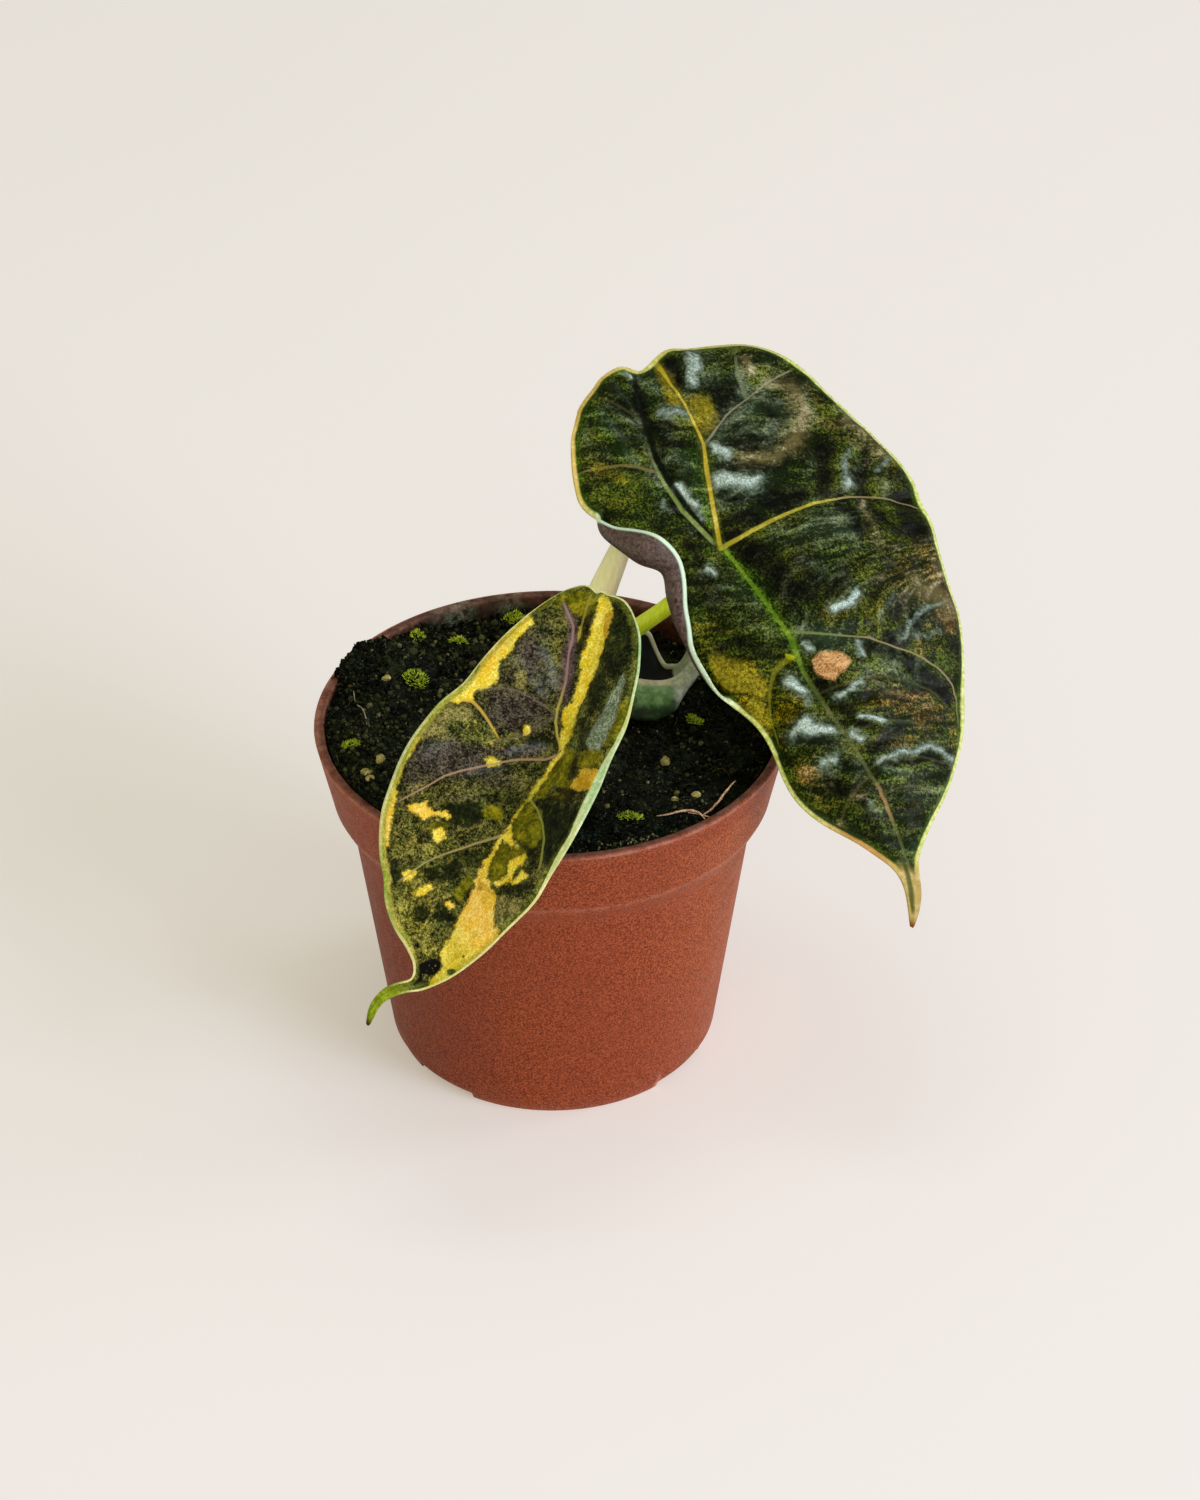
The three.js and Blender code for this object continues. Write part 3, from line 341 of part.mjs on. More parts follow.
const CUP = [
  11.6,12.6,69.2, 11.27,11.4,68.19, 11.47,11.24,66.69, 12.01,11.9,65.23, 12.66,13.17,64.35, 13.33,14.85,64.36, 14.01,16.76,65.21, 14.68,18.65,66.81, 15.24,20.23,68.99, 15.6,21.2,71.6,
  13.06,11.41,68.72, 12.62,9.96,67.39, 12.73,9.71,65.97, 13.22,10.52,64.74, 13.91,12.24,64, 14.68,14.6,63.99, 15.53,17.12,64.83, 16.33,19.39,66.46, 16.89,21.09,68.71, 17.01,21.88,71.37,
  14.68,10.71,68.35, 14.29,9.05,66.97, 14.33,8.85,65.59, 14.7,9.87,64.44, 15.33,11.83,63.77, 16.1,14.39,63.76, 16.94,17.03,64.5, 17.68,19.35,65.94, 18.16,21.02,67.95, 18.18,21.73,70.41,
  16.41,10.34,68.09, 16.15,8.53,66.81, 16.14,8.45,65.45, 16.38,9.66,64.29, 16.89,11.72,63.65, 17.57,14.2,63.65, 18.26,16.67,64.26, 18.83,18.8,65.41, 19.17,20.32,67.06, 19.19,20.95,69.17,
  18.2,10.14,67.98, 18.07,8.26,66.79, 18.05,8.27,65.44, 18.2,9.6,64.27, 18.56,11.66,63.63, 19.06,13.98,63.65, 19.54,16.18,64.16, 19.89,18,65.07, 20.08,19.26,66.38, 20.1,19.78,68.08,
  19.96,10.1,68.01, 19.92,8.24,66.88, 19.93,8.28,65.53, 20.01,9.6,64.36, 20.21,11.59,63.73, 20.5,13.74,63.76, 20.74,15.67,64.22, 20.9,17.16,64.99, 20.98,18.14,66.06, 20.96,18.52,67.4,
  21.59,10.41,68.24, 21.64,8.67,67.12, 21.62,8.69,65.79, 21.59,9.89,64.61, 21.61,11.67,63.98, 21.69,13.56,64, 21.78,15.21,64.41, 21.85,16.46,65.09, 21.87,17.27,65.99, 21.84,17.61,67.1,
  22.99,11.11,68.69, 23.18,9.56,67.61, 23.1,9.54,66.3, 22.91,10.52,65.13, 22.75,12,64.48, 22.69,13.56,64.46, 22.69,14.96,64.82, 22.71,16.06,65.43, 22.73,16.82,66.25, 22.72,17.23,67.23,
  24.13,12.04,69.42, 24.52,10.71,68.4, 24.47,10.64,67.13, 24.21,11.42,66, 23.92,12.63,65.35, 23.72,13.94,65.31, 23.61,15.15,65.67, 23.57,16.13,66.28, 23.55,16.85,67.06, 23.53,17.27,67.92,
  25.06,13.04,70.27, 25.68,11.94,69.35, 25.78,11.85,68.19, 25.56,12.46,67.13, 25.23,13.47,66.52, 24.91,14.63,66.48, 24.65,15.7,66.86, 24.47,16.57,67.53, 24.35,17.2,68.29, 24.28,17.55,69,
  25.85,13.95,70.96, 26.72,13.06,70.22, 27.05,13,69.24, 26.99,13.53,68.31, 26.68,14.41,67.77, 26.27,15.42,67.74, 25.85,16.34,68.15, 25.5,17.07,68.83, 25.21,17.57,69.57, 25.02,17.81,70.14,
  26.6,14.6,71.2, 27.68,13.89,70.77, 28.29,13.96,70.04, 28.47,14.54,69.31, 28.28,15.32,68.88, 27.82,16.11,68.89, 27.26,16.79,69.27, 26.71,17.32,69.87, 26.2,17.66,70.51, 25.8,17.8,71,
];
const points = (flat) => { const o = []; for (let i = 0; i < flat.length; i += 3) o.push([flat[i], flat[i + 1], flat[i + 2]]); return o; };

// ---- assembly
const root = new THREE.Group();
root.name = 'potted_alocasia';
root.add(fromManifold('nursery_pot', M.pot(), pot));
root.add(solid('potting_soil', M.soil(), sv, st));
root.add(sheet('large_leaf_blade', M.bladeBig(), points(BIG), BIG_ROWS, BIG_COLS, BLADE_T));
root.add(sheet('small_leaf_blade', M.bladeSmall(), points(SMALL), SMALL_ROWS, SMALL_COLS, BLADE_T));
root.add(sheet('juvenile_leaf', M.juvenile(), points(CUP), CUP_ROWS, CUP_COLS, 0.8));

const on = (x, y, lift = 0.5) => [x, y, soilTop(x, y) + lift];
root.add(stalk('large_leaf_petiole', M.lime(), [on(7.5, 15.5), [10.15, 8.97, 74.56], [15.49, 7.25, 81.70], [20.93, 5.30, 87.63], [25.80, 4.76, 93.85], [29.59, 4.04, 100.48]], [1.9, 1.75, 1.6, 1.55, 1.45, 1.3, 0.8], 15, 10));
root.add(stalk('small_leaf_petiole', M.pale(), [on(0.5, 12.5), [0.30, 4.00, 72.50], [0.50, -10.00, 78.50], [1.20, -23.00, 81.20], [2.75, -30.94, 82.43]], [1.7, 1.55, 1.45, 1.4, 1.3, 0.8], 13, 10));
root.add(stalk('new_leaf_spear', M.pale(), [on(3.0, 18.9), [6.72, 17.61, 74.71], [9.34, 18.72, 82.40], [12.31, 19.78, 90.03], [14.79, 20.92, 97.76], [16.73, 22.44, 105.17]], [2.9, 2.9, 2.8, 2.1, 1.45, 0.45], 15, 12));
root.add(stalk('juvenile_leaf_petiole', M.juvenile(), [on(9.8, 5.8), [9.90, 6.60, 64.90], [10.30, 8.00, 66.20], [10.80, 9.60, 66.90]], [0.95, 0.85, 0.8, 0.6], 8, 8));
root.add(stalk('root_twig', M.root(), [[18.60, -26.40, 65.20], [22.00, -26.10, 65.83], [25.40, -26.20, 65.48], [27.20, -25.00, 65.27], [30.00, -20.80, 65.04], [32.30, -17.60, 65.03]], [0.25, 0.4, 0.45, 0.45, 0.35, 0.2], 12, 6));
root.add(stalk('root_fibre', M.fibre(), [[-35.60, 7.90, 67.39], [-34.70, 4.60, 67.44], [-33.60, 1.40, 66.78], [-33.00, -1.70, 66.52]], [0.16, 0.22, 0.22, 0.16], 8, 5));

const MOSS = [ // x, y, half sizes
  [-25.0, 14.0, 2.1, 1.7, 1.1], [-17.6, 29.2, 1.4, 1.1, 0.9], [-25.2, 29.0, 1.1, 1.0, 0.8],
  [-35.4, -8.8, 1.3, 1.2, 0.9], [25.9, 5.3, 1.3, 1.0, 0.9], [13.9, -27.0, 2.0, 1.3, 0.8], [-7.5, 37.6, 1.8, 0.9, 1.1],
];
MOSS.forEach(([x, y, a, b, c], i) => root.add(lump(`moss_tuft_${i + 1}`, M.moss(), x, y, soilTop(x, y) + c * 1.2 + 0.75, a, b, c, 0.7 * i, 1)));
const CHIPS = [
  [-30.1, 12.6, 0.9, 0.7, 0.5], [-30.1, -11.6, 1.3, 0.8, 0.5], [-32.4, -15.3, 1.2, 0.9, 0.6], [-31.6, -18.6, 0.9, 0.7, 0.5],
  [20.3, -7.9, 1.2, 0.9, 0.6], [21.8, -21.3, 0.7, 0.6, 0.5], [25.5, -20.4, 0.9, 0.7, 0.5],
];
CHIPS.forEach(([x, y, a, b, c], i) => root.add(lump(`soil_chip_${i + 1}`, M.chip(), x, y, soilTop(x, y) + c * 1.2 + 0.65, a, b, c, 1.1 * i + 0.4, 0)));

export default root;
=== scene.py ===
import json
import math
import bpy
import numpy as np
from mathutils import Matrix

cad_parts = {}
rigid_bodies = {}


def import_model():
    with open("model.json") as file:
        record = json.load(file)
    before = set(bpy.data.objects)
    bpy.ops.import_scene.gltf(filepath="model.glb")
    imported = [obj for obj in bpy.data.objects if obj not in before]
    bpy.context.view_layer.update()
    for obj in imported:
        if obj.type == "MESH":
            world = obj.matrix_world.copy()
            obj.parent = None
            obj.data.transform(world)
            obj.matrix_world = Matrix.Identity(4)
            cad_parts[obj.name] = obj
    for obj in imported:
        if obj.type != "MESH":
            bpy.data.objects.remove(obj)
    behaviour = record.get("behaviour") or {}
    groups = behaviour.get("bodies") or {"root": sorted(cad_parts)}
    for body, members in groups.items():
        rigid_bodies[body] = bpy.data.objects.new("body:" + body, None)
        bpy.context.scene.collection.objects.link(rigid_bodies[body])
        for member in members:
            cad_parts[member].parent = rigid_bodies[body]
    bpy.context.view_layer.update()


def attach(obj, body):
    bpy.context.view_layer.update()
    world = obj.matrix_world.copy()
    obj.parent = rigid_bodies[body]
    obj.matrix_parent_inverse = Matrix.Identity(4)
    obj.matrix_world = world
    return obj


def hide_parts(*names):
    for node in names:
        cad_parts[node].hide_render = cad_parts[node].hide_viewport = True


# Looks for the potted plant: every piece is built here in the row frame.
# Lengths in this file are millimetres unless a name ends in _M; the mesh
# writer turns them into metres.

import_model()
MM = 0.001

# ------------------------------------------------------------------ numbers
RIM_R, POT_H = 42.5, 67.0
COLLAR_Z, COLLAR_R = 53.4, 39.6
NECK_Z, NECK_R = 48.5, 36.5
FOOT_R, WALL, LIP, FLOOR_T = 30.2, 1.3, 2.0, 2.0
NOTCH_A = (-132.6, -36.5, 59.5, 155.5)
HOLE_RING, HOLE_R = 23.8, 2.6

# the fixed front view in which marks on the blades are laid out: a plane
# 700 mm from this point, u to the right and v upwards
EYE = np.array([8.7125, -590.07, 472.56])
LOOK = np.array([0.0, 0.81954, -0.57301])
UPV = np.array([0.0, 0.57301, 0.81954])

# blade surfaces in mm, rows from the notch to the drip tip, columns from left margin to right
BIG_ROWS, BIG_COLS = 30, 28
BIG = [
    3.58,21.12,112.13, 3.74,21.71,112.52, 3.9,22.31,112.9, 4.06,22.9,113.29, 4.22,23.51,113.67, 4.38,24.12,114.05, 4.54,24.74,114.42, 4.7,25.36,114.79, 4.86,25.99,115.16, 5.7,27.43,116.02, 6.7,28.79,116.8, 7.74,30.16,117.55, 8.71,31.63,118.3, 10.73,33.31,119.12, 13.17,34.08,119.46, 15.49,33.16,119.07, 17.64,34.78,119.68, 20.53,37.81,120.73, 23.85,38.42,120.68, 27.18,39.24,120.61, 30.52,40.08,120.5, 33.87,40.82,120.28, 37.65,40.83,119.65, 41.23,39.87,118.68, 44.4,38.04,117.45, 47.18,35.54,115.96, 49.78,32.91,114.38, 52.49,30.54,112.78,
    3.8,18.14,110.22, 4.35,18.25,110.37, 4.9,18.36,110.53, 5.45,18.47,110.68, 5.99,18.58,110.84, 6.54,18.68,110.99, 7.09,18.79,111.15, 7.64,18.89,111.31, 8.19,18.99,111.46, 9.29,20.88,112.81, 10.55,22.44,113.88, 11.95,23.83,114.79, 13.53,25.11,115.57, 15.37,26.27,116.24, 17.41,27.28,116.76, 19.61,28.23,117.19, 22.06,29.45,117.61, 24.79,30.61,117.86, 27.7,31.46,117.88, 30.72,32.17,117.76, 33.81,32.64,117.48, 36.98,32.75,117.01, 40.16,32.39,116.32, 43.2,31.58,115.45, 46.09,30.49,114.43, 48.86,29.37,113.35, 51.64,28.59,112.31, 54.5,28.67,111.53,
    4.06,15.29,108.25, 4.72,15.29,108.36, 5.37,15.29,108.46, 6.02,15.29,108.57, 6.68,15.29,108.67, 7.33,15.29,108.78, 7.98,15.28,108.89, 8.64,15.28,108.99, 9.29,15.27,109.1, 10.96,16.82,110.51, 12.62,18.09,111.68, 14.35,19.22,112.67, 16.2,20.26,113.5, 18.2,21.27,114.18, 20.36,22.23,114.72, 22.68,23.16,115.13, 25.18,24.08,115.41, 27.83,24.91,115.53, 30.6,25.58,115.5, 33.46,26.08,115.32, 36.37,26.38,114.99, 39.31,26.44,114.5, 42.24,26.28,113.88, 45.1,26,113.13, 47.93,25.73,112.32, 50.75,25.66,111.51, 53.64,26.03,110.81, 56.65,27.09,110.3,
    4.66,12.57,106.28, 5.29,12.64,106.44, 5.92,12.71,106.61, 6.55,12.79,106.77, 7.17,12.86,106.93, 7.8,12.94,107.1, 8.43,13.01,107.26, 9.06,13.08,107.42, 9.69,13.15,107.59, 11.96,14.1,108.74, 14.06,14.96,109.8, 16.14,15.74,110.75, 18.25,16.51,111.56, 20.45,17.31,112.19, 22.76,18.1,112.68, 25.17,18.86,113.03, 27.69,19.56,113.25, 30.31,20.17,113.34, 33.01,20.68,113.29, 35.76,21.07,113.12, 38.56,21.34,112.82, 41.37,21.52,112.39, 44.18,21.67,111.85, 46.99,21.88,111.22, 49.81,22.23,110.56, 52.66,22.83,109.92, 55.59,23.81,109.37, 58.57,25.25,108.95,
    6.19,9.97,104.38, 6.72,10.2,104.67, 7.26,10.43,104.95, 7.79,10.66,105.24, 8.32,10.89,105.53, 8.86,11.12,105.81, 9.39,11.35,106.09, 9.93,11.59,106.38, 10.46,11.82,106.66, 12.98,11.87,107.16, 15.45,12.36,108.02, 17.82,12.91,108.86, 20.15,13.47,109.58, 22.51,14.05,110.17, 24.91,14.62,110.62, 27.38,15.16,110.95, 29.91,15.66,111.16, 32.5,16.11,111.25, 35.15,16.5,111.22, 37.83,16.83,111.09, 40.55,17.15,110.84, 43.29,17.5,110.47, 46.05,17.96,109.99, 48.84,18.53,109.45, 51.68,19.3,108.89, 54.58,20.33,108.35, 57.6,21.72,107.86, 60.84,23.59,107.47,
    10.25,5.26,104.25, 9.66,5.2,104.24, 9.1,5.36,104.1, 8.67,5.71,103.86, 8.46,6.19,103.55, 8.51,6.7,103.24, 8.8,7.16,102.97, 9.28,7.49,102.8, 9.87,7.62,102.77, 14.2,9.23,105.03, 17.07,9.88,106.12, 19.64,10.34,106.95, 22.09,10.76,107.62, 24.53,11.14,108.16, 26.97,11.51,108.58, 29.45,11.86,108.9, 31.97,12.18,109.12, 34.53,12.49,109.24, 37.13,12.8,109.25, 39.77,13.14,109.15, 42.43,13.54,108.94, 45.13,14.06,108.62, 47.87,14.72,108.21, 50.65,15.56,107.73, 53.5,16.6,107.22, 56.45,17.9,106.7, 59.57,19.51,106.2, 62.96,21.5,105.73,
    13.2,2.67,105.09, 12.36,2.06,104.63, 11.52,1.88,103.91, 10.85,2.16,103.07, 10.48,2.86,102.27, 10.49,3.83,101.67, 10.87,4.88,101.39, 11.55,5.81,101.48, 12.4,6.43,101.93, 16.34,7.35,103.54, 19.15,7.75,104.43, 21.69,8.02,105.11, 24.13,8.24,105.68, 26.55,8.43,106.16, 28.98,8.61,106.56, 31.44,8.78,106.89, 33.92,8.96,107.14, 36.45,9.17,107.29, 39,9.43,107.34, 41.6,9.79,107.28, 44.22,10.28,107.1, 46.89,10.93,106.81, 49.61,11.75,106.43, 52.38,12.77,105.98, 55.23,13.99,105.48, 58.19,15.43,104.95, 61.29,17.11,104.41, 64.6,19.04,103.87,
    17.27,-0.39,106.22, 16.03,-1.36,105.48, 14.8,-1.67,104.34, 13.83,-1.26,103.01, 13.29,-0.21,101.76, 13.31,1.27,100.83, 13.88,2.9,100.42, 14.89,4.35,100.6, 16.15,5.34,101.34, 19,5.62,102.17, 21.47,5.72,102.75, 23.83,5.77,103.25, 26.17,5.79,103.71, 28.52,5.81,104.15, 30.91,5.82,104.55, 33.32,5.84,104.9, 35.77,5.91,105.18, 38.26,6.04,105.38, 40.78,6.27,105.47, 43.34,6.66,105.44, 45.93,7.23,105.27, 48.57,7.99,104.99, 51.26,8.94,104.61, 54,10.07,104.16, 56.82,11.39,103.65, 59.72,12.88,103.1, 62.68,14.51,102.52, 65.64,16.17,101.94,
    20.27,-1.99,105.23, 19.01,-2.99,104.45, 17.76,-3.32,103.26, 16.78,-2.9,101.89, 16.25,-1.83,100.6, 16.27,-0.32,99.65, 16.86,1.35,99.23, 17.89,2.84,99.42, 19.16,3.86,100.19, 21.48,3.72,100.51, 23.66,3.58,100.85, 25.85,3.44,101.23, 28.08,3.32,101.65, 30.38,3.19,102.1, 32.72,3.07,102.53, 35.11,2.98,102.92, 37.53,2.97,103.25, 39.99,3.05,103.49, 42.48,3.27,103.61, 45,3.72,103.57, 47.56,4.38,103.39, 50.17,5.23,103.1, 52.82,6.26,102.71, 55.52,7.46,102.25, 58.28,8.82,101.73, 61.12,10.34,101.15, 64.06,12.01,100.54, 67.19,13.87,99.89,
    22.74,-2.29,101.46, 21.71,-2.82,101.14, 20.7,-2.9,100.53, 19.89,-2.52,99.76, 19.46,-1.74,98.97, 19.49,-0.72,98.33, 19.96,0.34,97.96, 20.8,1.23,97.93, 21.84,1.78,98.24, 23.57,1.47,98.33, 25.5,1.23,98.62, 27.6,1,99.04, 29.8,0.77,99.52, 32.09,0.55,100.02, 34.43,0.36,100.5, 36.81,0.22,100.94, 39.22,0.17,101.29, 41.65,0.25,101.54, 44.11,0.52,101.66, 46.6,1.03,101.6, 49.13,1.74,101.41, 51.68,2.63,101.12, 54.28,3.68,100.74, 56.92,4.9,100.27, 59.61,6.28,99.73, 62.36,7.8,99.12, 65.18,9.43,98.48, 68.05,11.13,97.83,
    23.59,-4.74,97.56, 22.56,-5.03,97.54, 21.54,-4.91,97.27, 20.74,-4.42,96.8, 20.31,-3.64,96.21, 20.33,-2.74,95.64, 20.81,-1.89,95.18, 21.65,-1.25,94.93, 22.68,-0.95,94.94, 24.7,-1,95.54, 26.83,-1.2,96.13, 29.06,-1.48,96.74, 31.36,-1.77,97.35, 33.7,-2.04,97.93, 36.07,-2.25,98.46, 38.46,-2.4,98.91, 40.86,-2.43,99.27, 43.28,-2.31,99.5, 45.71,-1.99,99.59, 48.15,-1.46,99.53, 50.62,-0.75,99.35, 53.12,0.14,99.06, 55.65,1.19,98.68, 58.21,2.41,98.2, 60.82,3.79,97.64, 63.47,5.28,97.03, 66.14,6.84,96.38, 68.81,8.41,95.72,
    23.75,-6.06,94.56, 22.92,-6.33,94.49, 22.11,-6.28,94.2, 21.47,-5.92,93.77, 21.12,-5.31,93.26, 21.14,-4.58,92.79, 21.52,-3.86,92.44, 22.2,-3.31,92.28, 23.02,-3.03,92.35, 25.57,-3.24,93.01, 28.03,-3.56,93.77, 30.47,-3.92,94.52, 32.89,-4.24,95.22, 35.31,-4.53,95.85, 37.72,-4.76,96.41, 40.11,-4.89,96.86, 42.5,-4.9,97.2, 44.88,-4.74,97.41, 47.26,-4.4,97.48, 49.65,-3.88,97.42, 52.05,-3.17,97.24, 54.48,-2.29,96.94, 56.93,-1.23,96.55, 59.42,-0.02,96.06, 61.94,1.34,95.49, 64.5,2.8,94.87, 67.08,4.32,94.23, 69.65,5.85,93.57,
    24.42,-7.97,91.15, 23.75,-8.1,91.22, 23.08,-7.97,91.12, 22.56,-7.62,90.87, 22.28,-7.1,90.53, 22.3,-6.52,90.15, 22.61,-6,89.82, 23.16,-5.64,89.59, 23.83,-5.51,89.52, 26.71,-5.6,90.57, 29.41,-5.91,91.51, 32.01,-6.28,92.38, 34.53,-6.64,93.16, 37,-6.95,93.82, 39.41,-7.19,94.38, 41.78,-7.32,94.83, 44.13,-7.31,95.14, 46.45,-7.14,95.32, 48.77,-6.8,95.37, 51.09,-6.27,95.29, 53.42,-5.57,95.09, 55.76,-4.68,94.78, 58.14,-3.63,94.36, 60.55,-2.42,93.86, 62.99,-1.07,93.29, 65.49,0.38,92.66, 68.02,1.91,92, 70.6,3.48,91.34,
    24.83,-9.78,88.68, 24.4,-9.66,88.55, 24.06,-9.42,88.34, 23.86,-9.08,88.09, 23.83,-8.69,87.83, 23.96,-8.3,87.59, 24.26,-7.97,87.41, 24.66,-7.74,87.3, 25.12,-7.64,87.29, 28.17,-7.83,88.42, 31.04,-8.19,89.47, 33.75,-8.6,90.4, 36.33,-9,91.2, 38.8,-9.34,91.87, 41.18,-9.59,92.41, 43.49,-9.72,92.82, 45.77,-9.72,93.09, 48.01,-9.55,93.24, 50.24,-9.21,93.26, 52.47,-8.68,93.15, 54.71,-7.97,92.92, 56.97,-7.08,92.58, 59.26,-6.02,92.14, 61.58,-4.81,91.62, 63.96,-3.45,91.03, 66.41,-1.99,90.38, 68.94,-0.41,89.71, 71.62,1.27,89.01,
    26.11,-11.81,86.58, 25.75,-11.74,86.33, 25.47,-11.54,86.04, 25.33,-11.24,85.75, 25.32,-10.87,85.49, 25.46,-10.48,85.3, 25.73,-10.11,85.2, 26.08,-9.83,85.2, 26.49,-9.66,85.31, 29.94,-10.03,86.51, 33,-10.46,87.64, 35.77,-10.91,88.6, 38.32,-11.34,89.37, 40.72,-11.72,90, 43.01,-12,90.48, 45.23,-12.16,90.84, 47.39,-12.16,91.07, 49.53,-12,91.17, 51.66,-11.65,91.14, 53.78,-11.12,90.99, 55.92,-10.4,90.73, 58.08,-9.5,90.35, 60.27,-8.43,89.88, 62.51,-7.2,89.33, 64.8,-5.84,88.71, 67.16,-4.37,88.05, 69.62,-2.79,87.37, 72.22,-1.13,86.67,
    27.87,-14.05,84.4, 27.58,-13.88,84.19, 27.38,-13.62,83.95, 27.31,-13.3,83.7, 27.36,-12.96,83.49, 27.54,-12.62,83.31, 27.82,-12.33,83.21, 28.17,-12.12,83.18, 28.56,-12,83.23, 32.3,-12.27,84.85, 35.4,-12.71,86.07, 38.07,-13.21,86.96, 40.49,-13.71,87.64, 42.74,-14.14,88.17, 44.88,-14.47,88.58, 46.95,-14.65,88.87, 48.98,-14.67,89.04, 50.99,-14.51,89.08, 53,-14.15,89.01, 55.01,-13.59,88.8, 57.04,-12.85,88.49, 59.09,-11.94,88.07, 61.17,-10.85,87.56, 63.3,-9.62,86.97, 65.48,-8.26,86.34, 67.73,-6.79,85.67, 70.05,-5.24,85, 72.48,-3.62,84.35,
    29.73,-16.06,82.5, 29.73,-15.75,82.29, 29.81,-15.44,82.1, 29.96,-15.13,81.94, 30.18,-14.85,81.82, 30.45,-14.6,81.74, 30.76,-14.39,81.7, 31.1,-14.24,81.72, 31.46,-14.14,81.78, 35.35,-14.35,83.79, 38.18,-14.93,84.78, 40.57,-15.57,85.42, 42.73,-16.17,85.92, 44.75,-16.67,86.32, 46.71,-17.03,86.64, 48.61,-17.24,86.86, 50.5,-17.25,86.97, 52.37,-17.06,86.95, 54.25,-16.66,86.8, 56.14,-16.07,86.54, 58.05,-15.31,86.17, 59.98,-14.38,85.71, 61.95,-13.3,85.16, 63.96,-12.07,84.54, 66.02,-10.73,83.88, 68.12,-9.29,83.2, 70.29,-7.77,82.56, 72.54,-6.17,82.01,
    33.23,-16.63,79.61, 33.6,-16.45,79.98, 33.98,-16.29,80.35, 34.35,-16.14,80.73, 34.73,-15.99,81.12, 35.1,-15.85,81.51, 35.48,-15.71,81.91, 35.85,-15.58,82.31, 36.23,-15.46,82.71, 38.89,-16.45,83.11, 41.05,-17.36,83.4, 43.01,-18.15,83.7, 44.86,-18.82,84.02, 46.65,-19.34,84.33, 48.41,-19.7,84.57, 50.16,-19.87,84.73, 51.9,-19.83,84.78, 53.65,-19.56,84.68, 55.4,-19.1,84.46, 57.17,-18.47,84.14, 58.95,-17.69,83.73, 60.76,-16.77,83.22, 62.61,-15.72,82.64, 64.49,-14.56,82, 66.41,-13.3,81.31, 68.38,-11.97,80.61, 70.4,-10.6,79.9, 72.46,-9.22,79.24,
    36.4,-18.82,77.45, 36.82,-18.75,77.85, 37.24,-18.7,78.26, 37.66,-18.65,78.68, 38.08,-18.61,79.09, 38.5,-18.58,79.51, 38.92,-18.54,79.93, 39.34,-18.51,80.35, 39.76,-18.47,80.77, 41.68,-19.51,80.87, 43.41,-20.36,81.12, 45.08,-21.07,81.43, 46.72,-21.64,81.76, 48.35,-22.06,82.06, 49.96,-22.3,82.27, 51.58,-22.35,82.36, 53.2,-22.21,82.34, 54.82,-21.88,82.2, 56.45,-21.4,81.94, 58.08,-20.77,81.59, 59.74,-20.01,81.15, 61.42,-19.13,80.63, 63.12,-18.16,80.04, 64.87,-17.1,79.39, 66.66,-15.97,78.7, 68.51,-14.79,77.99, 70.42,-13.58,77.26, 72.39,-12.37,76.55,
    38.62,-21.77,74.95, 39.1,-21.82,75.25, 39.58,-21.87,75.56, 40.06,-21.94,75.88, 40.54,-22.01,76.19, 41.02,-22.08,76.51, 41.5,-22.16,76.83, 41.98,-22.24,77.15, 42.46,-22.32,77.48, 43.89,-22.89,77.94, 45.36,-23.43,78.41, 46.86,-23.91,78.86, 48.37,-24.29,79.25, 49.88,-24.56,79.55, 51.4,-24.67,79.74, 52.9,-24.63,79.81, 54.4,-24.43,79.76, 55.89,-24.08,79.59, 57.39,-23.59,79.31, 58.89,-22.98,78.94, 60.4,-22.28,78.49, 61.93,-21.48,77.97, 63.48,-20.61,77.4, 65.07,-19.69,76.77, 66.7,-18.71,76.1, 68.4,-17.69,75.4, 70.17,-16.65,74.67, 72.06,-15.59,73.92,
    40.24,-24.73,72.04, 40.69,-24.76,72.34, 41.15,-24.81,72.64, 41.6,-24.86,72.95, 42.05,-24.91,73.25, 42.5,-24.97,73.57, 42.95,-25.03,73.88, 43.4,-25.09,74.19, 43.85,-25.15,74.5, 45.39,-25.59,75.2, 46.92,-26.01,75.81, 48.43,-26.37,76.32, 49.91,-26.65,76.73, 51.36,-26.82,77.02, 52.78,-26.87,77.18, 54.17,-26.77,77.21, 55.55,-26.52,77.12, 56.9,-26.14,76.91, 58.25,-25.66,76.6, 59.59,-25.1,76.23, 60.93,-24.47,75.79, 62.28,-23.78,75.3, 63.65,-23.05,74.76, 65.04,-22.28,74.17, 66.47,-21.47,73.55, 67.95,-20.64,72.9, 69.48,-19.8,72.22, 71.09,-18.95,71.53,
    42.29,-27.65,69.35, 42.68,-27.63,69.68, 43.07,-27.61,70.01, 43.46,-27.6,70.34, 43.85,-27.59,70.67, 44.25,-27.58,71.01, 44.64,-27.58,71.34, 45.03,-27.57,71.68, 45.42,-27.57,72.02, 47.1,-27.91,72.84, 48.68,-28.24,73.47, 50.18,-28.5,73.94, 51.59,-28.68,74.27, 52.94,-28.75,74.47, 54.24,-28.71,74.54, 55.49,-28.55,74.49, 56.71,-28.28,74.34, 57.89,-27.94,74.11, 59.06,-27.52,73.82, 60.21,-27.06,73.46, 61.35,-26.55,73.07, 62.49,-26,72.63, 63.64,-25.42,72.15, 64.81,-24.82,71.64, 66.01,-24.2,71.1, 67.24,-23.57,70.52, 68.51,-22.94,69.92, 69.84,-22.32,69.3,
